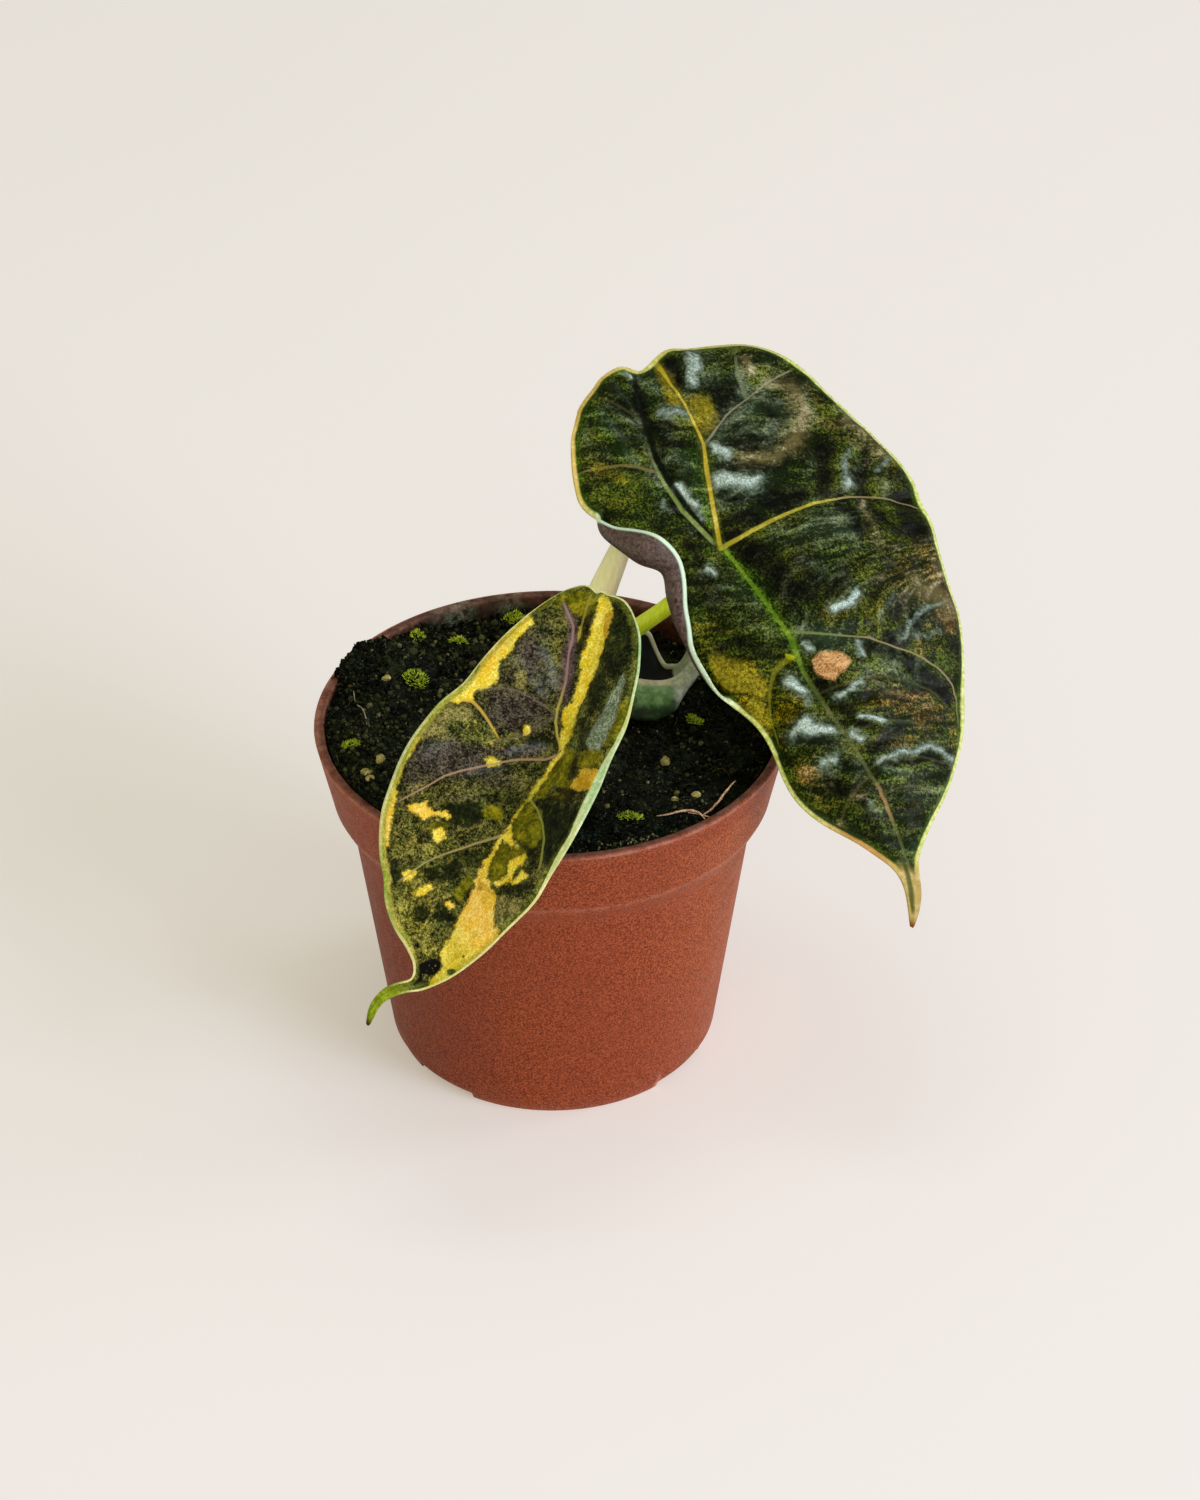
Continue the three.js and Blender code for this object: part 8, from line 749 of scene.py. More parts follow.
    # painted reflection: a silvery patch on the right half of the blade
    sv = m.step(m.math("ADD", m.attr("f_silver"), m.math("MULTIPLY", rag2, 0.5)), 0.3, -0.3)
    col = m.mix(m.math("MULTIPLY", sv, 0.9), col, m.mix(m.math("ADD", m.math("MULTIPLY", mott, 0.6), m.step(wide, 0.4, 0.7, 0.0, 0.4)), m.mix(pits, srgb(72, 90, 62), srgb(140, 156, 124)), m.mix(pits, srgb(112, 130, 104), srgb(196, 208, 186))))
    dk = m.step(m.math("ADD", m.attr("f_dkstreak"), m.math("MULTIPLY", rag, 0.5)), 0.3, -0.3)
    col = m.mix(m.math("MULTIPLY", dk, 0.9), col, m.mix(mott, srgb(12, 14, 2), srgb(52, 44, 8)))
    sh = m.math("MULTIPLY", m.attr("sheen"), m.step(fine, 0.3, 0.6))
    col = m.mix(sh, col, srgb(150, 156, 160))
    # veins
    mk, al = vein_mask(m, "v_lcw", 0.5)
    col = m.mix(m.math("MULTIPLY", mk, m.step(al, 0.75, 0.5, 0.0, 0.8)), col, m.mix(mott, srgb(58, 42, 46), srgb(124, 100, 102)))
    for k, colour, amt in (("v_C", srgb(122, 100, 98), 0.5), ("v_F", srgb(120, 112, 96), 0.3), ("v_G", srgb(70, 74, 60), 0.2), ("v_E", srgb(160, 164, 70), 0.6), ("v_D", srgb(206, 172, 66), 0.75), ("v_A", srgb(172, 140, 112), 0.75), ("v_B", srgb(168, 152, 96), 0.75), ("v_vn", srgb(146, 138, 52), 0.7)):
        mk, _ = vein_mask(m, k, 0.45)
        col = m.mix(m.math("MULTIPLY", mk, amt), col, colour)
    mk, al = vein_mask(m, "v_lc", 0.45)
    col = m.mix(m.math("MULTIPLY", mk, 0.8), col, m.mix(m.step(al, 0.5, 0.75), srgb(158, 128, 114), srgb(188, 174, 84)))
    ink = m.step(m.math("ADD", m.attr("f_ink"), m.math("MULTIPLY", rag, 0.5)), 0.22, -0.22)
    col = m.mix(ink, col, m.mix(m.step(m.noise(c, 1800, 2, 0.5), 0.64, 0.72), (0.003, 0.003, 0.002), srgb(140, 130, 80)))
    dm = m.attr("margin")
    dd = m.math("DIVIDE", dm, m.attr("rimw"))
    rim = m.step(m.math("ADD", dd, m.math("MULTIPLY", m.math("SUBTRACT", mid, 0.5), 0.3)), 1.1, 0.78)
    inner = m.step(m.math("ADD", dm, m.math("MULTIPLY", m.math("SUBTRACT", mid, 0.5), 1.2)), 1.5, 0.6, 0.0, 0.38)
    col = m.mix(m.math("MULTIPLY", inner, m.math("SUBTRACT", 1.0, m.attr("limetip"))), col, m.mix(mott, srgb(84, 96, 12), srgb(146, 156, 56)))
    band = m.step(m.math("ADD", m.math("DIVIDE", dm, 1.5), m.math("MULTIPLY", m.math("SUBTRACT", mid, 0.5), 0.9)), 1.15, 0.75)
    col = m.mix(m.math("MULTIPLY", m.math("MULTIPLY", band, m.attr("leftrim")), 0.85), col, m.mix(m.step(mid, 0.4, 0.65), m.mix(pits, srgb(132, 140, 34), srgb(196, 196, 84)), m.mix(pits, srgb(190, 176, 54), srgb(236, 220, 118))))
    rc = m.mix(m.attr("mint"), m.mix(mott, srgb(206, 206, 118), srgb(240, 232, 172)), m.mix(mott, srgb(140, 184, 128), srgb(192, 222, 178)))
    rc = m.mix(m.attr("limeedge"), rc, m.mix(mott, srgb(120, 150, 30), srgb(182, 200, 92)))
    col = m.mix(rim, col, rc)
    col = m.mix(m.attr("limetip"), col, m.mix(mott, srgb(104, 122, 8), srgb(160, 176, 44)))
    col = m.mix(m.attr("tipend"), col, srgb(70, 40, 14))
    h = m.math("ADD", m.math("MULTIPLY", fine, 0.6), m.math("ADD", m.math("MULTIPLY", mid, 0.7), m.math("MULTIPLY", flow, 0.5)))
    nrm = m.bump(h, 0.5, 0.0002)
    rough = m.math("ADD", m.step(mid, 0.3, 0.7, 0.40, 0.52), m.math("MULTIPLY", ink, 0.3))
    return m.finish(col, rough, nrm, **{"Specular IOR Level": 0.10, "Specular Tint": (1.0, 0.98, 0.82, 1.0)})


def mat_stalk(name, lo, hi, tint=None, streak=0.35, rough=(0.38, 0.5)):
    m = Nodes(name)
    c = m.coord()
    along, round_ = m.attr("along"), m.attr("round")
    n1 = m.noise(m.scaled(c, 1.0, 1.0, 0.18), 1400, 3, 0.6)
    n2 = m.noise(c, 300, 3, 0.5)
    col = m.mix(m.step(n1, 0.35, 0.7, 0.0, 1.0), lo, hi)
    if tint is not None:
        colour, a, b = tint
        col = m.mix(m.step(along, a, b), col, colour)
    col = m.mix(m.step(n2, 0.45, 0.75, 0.0, streak), col, lo)
    nrm = m.bump(n1, 0.25, 0.00015)
    return m, c, col, nrm, along, round_, m.step(n2, 0.3, 0.7, *rough)


def mat_lime():
    m, c, col, nrm, along, rnd, rough = mat_stalk("lime_stalk", srgb(216, 240, 34), srgb(240, 255, 72), tint=(srgb(206, 226, 84), 0.75, 1.0))
    col = m.mix(m.step(along, 0.16, 0.0), col, srgb(176, 178, 110))
    return m.finish(col, rough, nrm, **{"Specular IOR Level": 0.4, "Subsurface Weight": 0.0})


def mat_pale():
    m, c, col, nrm, along, rnd, rough = mat_stalk("pale_stalk", srgb(244, 226, 176), srgb(255, 246, 212))
    # green on one flank, cream on the other
    col = m.mix(m.step(rnd, 0.25, 0.85, 0.0, 0.45), col, srgb(196, 208, 132))
    col = m.mix(m.step(along, 0.22, 0.0), col, srgb(196, 178, 142))
    return m.finish(col, rough, nrm, **{"Specular IOR Level": 0.4})


def mat_petiole_small():
    m, c, col, nrm, along, rnd, rough = mat_stalk("small_stalk", srgb(120, 132, 60), srgb(158, 164, 90), tint=(srgb(128, 96, 84), 0.55, 1.0))
    col = m.mix(m.step(along, 0.2, 0.0), col, srgb(176, 164, 120))
    return m.finish(col, rough, nrm, **{"Specular IOR Level": 0.4})


def mat_cup_out():
    m = Nodes("juvenile_outer")
    c = m.coord()
    n1 = m.noise(c, 700, 4, 0.6)
    n2 = m.noise(c, 220, 3, 0.6)
    col = m.mix(m.step(n1, 0.35, 0.7), srgb(70, 124, 52), srgb(150, 192, 122))
    col = m.mix(m.step(n2, 0.4, 0.75, 0.0, 0.6), col, srgb(150, 176, 134))
    lobe = m.attr("lobe")
    # painted shade: beyond its first columns the outer face darkens towards near black
    low = m.step(m.math("ADD", m.attr("low"), m.math("MULTIPLY", m.math("SUBTRACT", n2, 0.5), 0.7)), 0.1, 1.0, 0.0, 0.9)
    col = m.mix(low, col, m.mix(m.step(n1, 0.35, 0.7), srgb(8, 18, 4), srgb(32, 56, 20)))
    col = m.mix(m.step(lobe, 0.45, 0.85), col, m.mix(m.step(n1, 0.35, 0.65), srgb(150, 166, 136), srgb(208, 216, 188)))
    rim = m.step(m.math("MULTIPLY", m.attr("margin"), m.math("SUBTRACT", 1.0, m.math("MULTIPLY", lobe, 0.6))), 1.7, 0.7)
    rc = m.mix(m.step(n1, 0.35, 0.65), srgb(196, 192, 150), srgb(228, 222, 190))
    col = m.mix(rim, col, m.mix(m.math("MULTIPLY", lobe, 0.8), rc, m.mix(m.step(n1, 0.35, 0.65), srgb(150, 168, 134), srgb(206, 216, 186))))
    return m.finish(col, m.step(n2, 0.3, 0.7, 0.45, 0.6), m.bump(n1, 0.4, 0.0002), **{"Specular IOR Level": 0.35})


def mat_cup_in():
    m = Nodes("juvenile_inner")
    c = m.coord()
    n1 = m.noise(c, 700, 4, 0.6)
    # near black: painted shade inside the cup
    col = m.mix(m.step(n1, 0.35, 0.7), (0.0015, 0.002, 0.0015), srgb(20, 26, 16))
    lobe = m.attr("lobe")
    col = m.mix(m.step(lobe, 0.55, 0.9), col, m.mix(m.step(n1, 0.35, 0.65), srgb(160, 170, 144), srgb(196, 202, 174)))
    rim = m.step(m.attr("margin"), 0.8, 0.35)
    col = m.mix(rim, col, m.mix(lobe, srgb(214, 212, 176), srgb(176, 190, 152)))
    return m.finish(col, m.step(n1, 0.3, 0.7, 0.5, 0.65), m.bump(n1, 0.4, 0.0002), **{"Specular IOR Level": 0.3})


def mat_simple(name, a, b, c2=None, scale=900, rough=(0.7, 0.9), attr="tone"):
    m = Nodes(name)
    c = m.coord()
    n1 = m.noise(c, scale, 4, 0.65)
    col = m.mix(m.step(n1, 0.35, 0.68), a, b)
    if c2 is not None:
        col = m.mix(m.step(m.attr(attr), 0.2, 0.9), col, c2)
    return m.finish(col, m.step(n1, 0.3, 0.7, *rough), m.bump(n1, 0.5, 0.0002), **{"Specular IOR Level": 0.3})


# ------------------------------------------------------------------ blades
def blade(name, ctrl, rows, cols, raise_fn, mark_fn, thick, bead, mats, sign):
    """a closed leaf blade on a grid of surface points: rows from notch to tip, columns from left margin to right"""
    P = spline(ctrl, rows)
    P = spline(np.swapaxes(P, 0, 1), cols)
    P = np.swapaxes(P, 0, 1)
    nr, nc = P.shape[:2]
    du, dv = np.gradient(P, axis=0), np.gradient(P, axis=1)
    n = np.cross(dv, du) * sign
    n /= np.linalg.norm(n, axis=-1, keepdims=True) + 1e-12
    R = np.repeat(rows[:, None], nc, 1).ravel()
    Cc = np.repeat(cols[None], nr, 0).ravel()
    V = P.reshape(-1, 3)
    N = n.reshape(-1, 3)
    q = front(V)
    # distance to the outline
    rim = np.concatenate([P[0], P[1:, -1], P[-1, ::-1][1:], P[::-1, 0][1:-1]])
    dm = np.full(len(V), 1e9)
    for a in range(0, len(rim)):
        b = (a + 1) % len(rim)
        if a % 1 == 0:
            d = rim[b] - rim[a]
            t = np.clip((V - rim[a]) @ d / max(d @ d, 1e-9), 0, 1)
            dm = np.minimum(dm, ((V - rim[a] - t[:, None] * d) ** 2).sum(1))
    dm = np.sqrt(dm)
    marks = mark_fn(q, V, R, Cc)
    h = raise_fn(q, V, R, Cc, dm)
    t = thick + (bead - thick) * np.exp(-((dm / 0.55) ** 2))
    # slim down at the very tip
    slim = np.interp(R, [rows[-1] - 5, rows[-1]], [1.0, 0.75])
    t = t * slim
    top = V + N * (h + t / 2)[:, None]
    bot = V + N * (h - t / 2)[:, None]
    K = nr * nc
    idx = np.arange(K).reshape(nr, nc)
    a, b, c, d = idx[:-1, :-1].ravel(), idx[:-1, 1:].ravel(), idx[1:, 1:].ravel(), idx[1:, :-1].ravel()
    ftop = np.stack([a, d, c, b], 1)
    fbot = np.stack([a, b, c, d], 1) + K
    loop = np.concatenate([idx[0, :-1], idx[:-1, -1], idx[-1, :0:-1], idx[:0:-1, 0]])
    inner = np.concatenate([idx[1, :-1], idx[:-1, -2], idx[-2, :0:-1], idx[:0:-1, 1]])
    out = V[loop] - V[inner]
    out /= np.linalg.norm(out, axis=1, keepdims=True) + 1e-9
    edge = V[loop] + N[loop] * h[loop][:, None] + out * (bead * 0.42)
    m0 = 2 * K
    L = len(loop)
    nx = np.roll(np.arange(L), -1)
    f1 = np.stack([loop, loop[nx], m0 + nx, m0 + np.arange(L)], 1)
    f2 = np.stack([m0 + np.arange(L), m0 + nx, loop[nx] + K, loop + K], 1)
    verts = np.vstack([top, bot, edge])
    faces = np.vstack([ftop, fbot, f1, f2])
    # face outward
    tri = faces[:, :3]
    w = verts[tri]
    vol = np.einsum("ij,ij->i", w[:, 0], np.cross(w[:, 1], w[:, 2])).sum()
    w2 = verts[faces[:, [0, 2, 3]]]
    vol += np.einsum("ij,ij->i", w2[:, 0], np.cross(w2[:, 1], w2[:, 2])).sum()
    if vol < 0:
        faces = faces[:, ::-1]
    mi = np.r_[np.zeros(len(ftop)), np.ones(len(fbot)), np.zeros(2 * L)]
    attrs = {}
    marks["margin"] = dm
    for k, v in marks.items():
        attrs[k] = np.concatenate([v, v, v[loop]])
    attrs["margin"][m0:] = -0.3
    return mesh_object(name, verts, faces, mats, mi, attrs)


def refine(n, steps):
    """positions 0..n-1 with the given number of steps in each interval"""
    out = []
    for i, s in enumerate(steps):
        out.extend(i + np.arange(s) / s)
    out.append(n - 1)
    return np.array(out, float)


big = np.array(BIG, float).reshape(BIG_ROWS, BIG_COLS, 3)
small = np.array(SMALL, float).reshape(SMALL_ROWS, SMALL_COLS, 3)
cup = np.array(CUP, float).reshape(CUP_ROWS, CUP_COLS, 3)
# the outer face swells forwards over the peat, and the far edge dips in a hook
cup[:, :, 1] -= 6.2 * np.interp(np.arange(CUP_ROWS), [0, 4, 6, 8, 11], [1, 1, 0.75, 0.2, 0])[:, None] * np.interp(np.arange(CUP_COLS), [0, 1, 2, 3, 4, 5, 6, 9], [0, 0.42, 0.82, 1, 0.85, 0.45, 0.1, 0])[None, :]
cup[:, :, 2] -= np.interp(np.arange(CUP_ROWS), [0, 2, 3, 4, 5, 6, 11], [0, 0.2, 1.4, 1.9, 1.5, 0.6, 0])[:, None] * np.interp(np.arange(CUP_COLS), [0, 6, 7, 8, 9], [0, 0, 0.2, 0.6, 1])[None, :]


def big_flat(R, Cc):
    """1 where the blade lies open, 0 where its left edge is rolled up"""
    roll = np.interp(R, np.arange(BIG_ROWS), ROLL)
    band = smooth01((8.5 - Cc) / 1.5)
    return 1 - roll * band


def warp(q, amount, scale, seed):
    """shift mark positions a little so their outlines wander"""
    z = np.zeros(len(q))
    a = fbm(np.c_[q * scale, z + 0.5], 3, seed)
    b = fbm(np.c_[q * scale, z + 7.5], 3, seed + 1)
    return q + amount * np.c_[a, b]


def big_marks(q, V, R, Cc):
    flat = big_flat(R, Cc)
    out = {}
    for k, w in BIG_WIDTHS.items():
        f = line_field(q, BIGM[BIG_SOURCE.get(k, k)], w)
        f[:, 1] *= flat
        out["v_" + k] = f
    for k in ("olive", "bronze", "deep", "mauve"):
        out[k] = blobs(q, BIGM[k]) * flat
    w = warp(q, 0.75, 0.5, 61)
    shut = -0.35 * (1 - flat)
    # strokes of painted highlight and of painted crease shade, and green leaf colour
    for k in ("silver", "painted_soft_highlight", "warm", "painted_crease_shade", "greens"):
        out[k] = cones(w, BIGM[k]) * flat + shut
    # painted soft highlight: a grey haze around its own strokes and around the silvery highlights
    out["painted_soft_highlight"] = np.maximum(np.maximum(out["painted_soft_highlight"], 0.5 * cones(w, BIGM["painted_soft_highlight"], 2.0, -0.2)), 0.66 * cones(w, BIGM["silver"], 2.1, -0.2)) * flat + shut
    # warm strokes: painted highlights in a warmer tint
    out["warm"] = np.maximum(out["warm"], 0.5 * cones(w, BIGM["warm"], 2.0, -0.2)) * flat + shut
    out["silver"] = np.where(flat > 0.5, out["silver"], -0.35)
    out["f_olive"] = np.minimum.reduce([poly_field(q, p) for p in BIGM["olive_crisp"]]) + 20 * (1 - flat)
    out["f_blemish"] = poly_field(q, BIGM["blemish"]) + 20 * (1 - flat)
    out["nodey"] = blobs(warp(q, 0.5, 1.6, 77), BIGM["nodes"]) * flat
    out["goldedge"] = blobs(q, BIGM["goldedge"]) * flat
    out["goldside"] = blobs(q, BIGM["goldside"]) * flat
    roll = np.interp(R, np.arange(BIG_ROWS), ROLL) * smooth01((10 - Cc) / 4)
    out["mint"] = np.clip(roll, 0, 1)
    out["tanedge"] = blobs(q, BIGM["tanedge"]) * flat
    out["tail"] = smooth01((R - 25.6) / 1.0)
    out["tipend"] = smooth01((R - 28.5) / 0.45)
    # streaks run out from the midrib, steepest in the middle of the right half
    midx = 21.0 + 0.86 * (36.0 - q[:, 1])
    right = smooth01((q[:, 0] - midx) / 5)
    k = 0.05 + right * (0.62 * np.exp(-(((q[:, 1] - 27) / 11) ** 2)) - 0.10 * np.exp(-(((q[:, 1] - 12) / 8) ** 2))) - 0.05 * (1 - right)
    out["flow"] = np.stack([q[:, 0] * 0.34, q[:, 1] - k * (q[:, 0] - midx) * 0.9, V[:, 1] * 0.1], -1)
    under = np.zeros(len(q))
    for k in ("mid", "rc", "lc", "r1", "r2"):
        under = np.maximum(under, np.exp(-((line_dist(q, BIGM[k]) / 0.7) ** 2)))
    out["under"] = under * flat
    return out


def big_raise(q, V, R, Cc, dm):
    flat = big_flat(R, Cc)
    d = np.full(len(q), 1e9)
    for k in ("mid", "rc", "lc", "r1", "r2", "ua", "ll1", "lo1"):
        d = np.minimum(d, line_dist(q, BIGM[k]))
    h = 1.15 * (1 - np.exp(-((d / 2.6) ** 1.3)))
    d2 = np.full(len(q), 1e9)
    for k in ("r3", "r4", "r5", "r6", "r7", "ll2", "ll3", "ua2", "lo2", "in1"):
        d2 = np.minimum(d2, line_dist(q, BIGM[k]))
    h -= 0.38 * np.exp(-((d2 / 0.75) ** 2))
    # ridges raised under the painted highlight strokes, grooves under the painted shade strokes
    h += 0.50 * strokes(q, BIGM["silver"], 1.25) + 0.32 * strokes(q, BIGM["painted_soft_highlight"], 1.2) + 0.32 * strokes(q, BIGM["warm"], 1.2)
    h -= 0.30 * strokes(q, BIGM["painted_crease_shade"], 1.1)
    # light corrugation across the blade, running out from the midrib
    ph = q[:, 1] * 1.0 - 0.22 * q[:, 0]
    wob = vnoise(np.c_[q * 0.22, np.zeros(len(q))], 5)
    h += 0.10 * np.sin(ph * 2.1 + 2.2 * wob) * np.exp(-((d / 9) ** 2))
    h += 0.16 * vnoise(np.c_[q * 0.45, np.full(len(q), 3.0)], 9)
    h -= 0.55 * (1 - smooth01(dm / 2.6))
    return h * smooth01(dm / 1.6) * flat


def small_marks(q, V, R, Cc):
    out = {}
    for k, w in SMALL_WIDTHS.items():
        out["v_" + k] = line_field(q, SMALLM[SMALL_SOURCE.get(k, k)], w)
    for k in ("purple", "dgreen", "fleck", "blue", "lightol", "creamy", "limey", "limeedge"):
        out[k] = blobs(q, SMALLM[k])
    for k in ("yellow", "olive", "silver", "ochre", "pale", "ink", "dkstreak", "darkg"):
        out["f_" + k] = np.minimum.reduce([poly_field(q, p) for p in SMALLM[k]])
    out["sheen"] = strokes(q, SMALLM["sheen"])
    out["mint"] = blobs(q, SMALLM["mintedge"])
    tail = smooth01((R - 20.5) / 1.5)
    out["limetip"] = tail
    out["tipend"] = smooth01((R - 24.4) / 0.5)
    for k in ("f_yellow", "f_pale", "f_ink"):
        out[k] = out[k] + 6 * smooth01((R - 21.5) / 1.5)
    right = smooth01((Cc - 9) / 3)
    out["rimw"] = 0.20 + right * 1.2 * blobs(q, SMALLM["wide"]) + 0.34 * smooth01((3.2 - Cc) / 2.0) * smooth01((R - 3) / 4) * (1 - tail)
    out["leftrim"] = smooth01((3.6 - Cc) / 2.0) * smooth01((R - 2) / 3) * (1 - smooth01((R - 17.5) / 2.0))
    out["flow"] = np.stack([(q[:, 0] + 0.3 * q[:, 1]) * 0.2, q[:, 1] - 0.3 * q[:, 0], V[:, 1] * 0.1], -1)
    under = np.zeros(len(q))
    for k in ("mid", "rc", "lc", "A", "B"):
        under = np.maximum(under, np.exp(-((line_dist(q, SMALLM[k]) / 0.7) ** 2)))
    out["under"] = under
    return out


def small_raise(q, V, R, Cc, dm):
    d = np.full(len(q), 1e9)
    for k in ("mid", "rc", "lc", "A", "B", "C"):
        d = np.minimum(d, line_dist(q, SMALLM[k]))
    h = 0.8 * (1 - np.exp(-((d / 2.4) ** 1.3)))
    d2 = np.full(len(q), 1e9)
    for k in ("D", "E", "F", "G"):
        d2 = np.minimum(d2, line_dist(q, SMALLM[k]))
    h -= 0.22 * np.exp(-((d2 / 0.7) ** 2))
    h += 0.12 * vnoise(np.c_[q * 0.5, np.full(len(q), 1.0)], 21)
    h -= 0.4 * (1 - smooth01(dm / 2.2))
    return h * smooth01(dm / 1.4)


# ------------------------------------------------------------------ round stalks
def stalk(name, ctrl, radii, rings, seg, mats, shape=None, twist=0.0, cap=0.5):
    ctrl = np.array(ctrl, float)
    chord = np.r_[0, np.cumsum(np.sqrt(np.linalg.norm(np.diff(ctrl, axis=0), axis=1)))]
    fine = spline_nu(chord, ctrl, np.linspace(0, chord[-1], 400))
    arc = np.r_[0, np.cumsum(np.linalg.norm(np.diff(fine, axis=0), axis=1))]
    s = np.linspace(0, 1, rings)
    C = np.stack([np.interp(s * arc[-1], arc, fine[:, k]) for k in range(3)], 1)
    T = np.gradient(C, axis=0)
    T /= np.linalg.norm(T, axis=1, keepdims=True)
    r = np.interp(s, np.linspace(0, 1, len(radii)), radii)
    # rounded ends
    end = np.clip((1 - s) * arc[-1] / (radii[-1] * cap + 1e-6), 0, 1)
    r = r * np.sqrt(1 - (1 - end) ** 2 * 0.999)
    nrm = np.array([1.0, 0, 0])
    verts, along, rnd = [], [], []
    for i in range(rings):
        nrm = nrm - T[i] * (nrm @ T[i])
        nrm /= np.linalg.norm(nrm)
        bi = np.cross(T[i], nrm)
        for j in range(seg):
            a = 2 * math.pi * j / seg
            k = 1.0 if shape is None else shape(a + twist * s[i], s[i])
            verts.append(C[i] + r[i] * k * (math.cos(a) * nrm + math.sin(a) * bi))
            along.append(s[i])
            rnd.append(0.5 - 0.5 * math.cos(a))
    faces = []
    for i in range(rings - 1):
        for j in range(seg):
            k = (j + 1) % seg
            faces.append((i * seg + j, i * seg + k, (i + 1) * seg + k, (i + 1) * seg + j))
    faces.append(tuple(range(seg))[::-1])
    faces.append(tuple((rings - 1) * seg + j for j in range(seg)))
    faces = flip_outward(verts, faces)
    return mesh_object(name, verts, faces, mats, None, {"along": along, "round": rnd})


def spline_nu(x, y, xs):
    """natural cubic spline with uneven knots"""
    n = len(x)
    h = np.diff(x)
    A = np.eye(n)
    r = np.zeros_like(y)
    for i in range(1, n - 1):
        A[i, i - 1], A[i, i], A[i, i + 1] = h[i - 1], 2 * (h[i - 1] + h[i]), h[i]
        r[i] = 6 * ((y[i + 1] - y[i]) / h[i] - (y[i] - y[i - 1]) / h[i - 1])
    M = np.linalg.solve(A, r)
    i = np.clip(np.searchsorted(x, xs) - 1, 0, n - 2)
    hi = h[i][:, None]
    a = (x[i + 1] - xs)[:, None] / hi
    b = 1 - a
    return a * y[i] + b * y[i + 1] + ((a**3 - a) * M[i] + (b**3 - b) * M[i + 1]) * hi**2 / 6


# ------------------------------------------------------------------ soil
def soil_top(x, y):
    calm = 1 - np.exp(-((x - 6) ** 2 + (y - 14) ** 2) / 90)
    return (62.6 + 3.2 * smooth01((-x - 8) / 27) + 2.4 * smooth01((-y - 10) / 27)
            - 1.6 * np.exp(-((x - 26) ** 2 + (y - 24) ** 2) / 220)
            + 3.7 * np.exp(-((x + 36) ** 2 + (y - 18.5) ** 2) / 46)
            + calm * (0.45 * np.sin(0.45 * x + 1) * np.cos(0.38 * y) + 0.25 * np.sin(1.1 * x) * np.sin(0.9 * y + 2)))


def soil_fine(x, y):
    p = np.c_[x, y, np.zeros(len(x))]
    z = soil_top(x, y) + 0.25
    z += 0.75 * fbm(p * 0.33, 3, 3) + 0.38 * np.abs(fbm(p * 1.15, 3, 8))
    return z


def inner_r(z):
    return np.interp(z, [FLOOR_T, NECK_Z, COLLAR_Z, POT_H], [FOOT_R - WALL, NECK_R - WALL, COLLAR_R - WALL, RIM_R - LIP])


ICO_V, ICO_F = None, None


def ico(sub):
    t = (1 + 5**0.5) / 2
    v = [(-1, t, 0), (1, t, 0), (-1, -t, 0), (1, -t, 0), (0, -1, t), (0, 1, t), (0, -1, -t), (0, 1, -t), (t, 0, -1), (t, 0, 1), (-t, 0, -1), (-t, 0, 1)]
    f = [(0, 11, 5), (0, 5, 1), (0, 1, 7), (0, 7, 10), (0, 10, 11), (1, 5, 9), (5, 11, 4), (11, 10, 2), (10, 7, 6), (7, 1, 8), (3, 9, 4), (3, 4, 2), (3, 2, 6), (3, 6, 8), (3, 8, 9), (4, 9, 5), (2, 4, 11), (6, 2, 10), (8, 6, 7), (9, 8, 1)]
    v = [np.array(p) / np.linalg.norm(p) for p in v]
    for _ in range(sub):
        cache, nf = {}, []

        def midp(a, b):
            k = (min(a, b), max(a, b))
            if k not in cache:
                m = (v[a] + v[b]) / 2
                v.append(m / np.linalg.norm(m))
                cache[k] = len(v) - 1
            return cache[k]

        for a, b, c in f:
            x, y, z = midp(a, b), midp(b, c), midp(c, a)
            nf += [(a, x, z), (b, y, x), (c, z, y), (x, y, z)]
        f = nf
    return np.array(v), np.array(f)


def rotations(rng, n):
    q = rng.normal(size=(n, 4))
    q /= np.linalg.norm(q, axis=1, keepdims=True)
    w, x, y, z = q.T
    return np.stack([np.stack([1 - 2 * (y * y + z * z), 2 * (x * y - z * w), 2 * (x * z + y * w)], 1),
                     np.stack([2 * (x * y + z * w), 1 - 2 * (x * x + z * z), 2 * (y * z - x * w)], 1),
                     np.stack([2 * (x * z - y * w), 2 * (y * z + x * w), 1 - 2 * (x * x + y * y)], 1)], 1)


def scatter(rng, n, sub, centre, size, jitter, squash=(0.55, 1.0)):
    """n jittered lumps: centres (n,3), sizes (n,)"""
    V, F = ico(sub)
    R = rotations(rng, n)
    sc = rng.uniform(*squash, size=(n, 1, 3)) * size[:, None, None]
    j = 1 + rng.uniform(-jitter, jitter, size=(n, len(V), 1))
    P = V[None] * j * sc
    P = np.einsum("nij,nkj->nki", R, P) + centre[:, None]
    faces = (F[None] + (np.arange(n) * len(V))[:, None, None]).reshape(-1, 3)
    return P.reshape(-1, 3), faces, len(V)


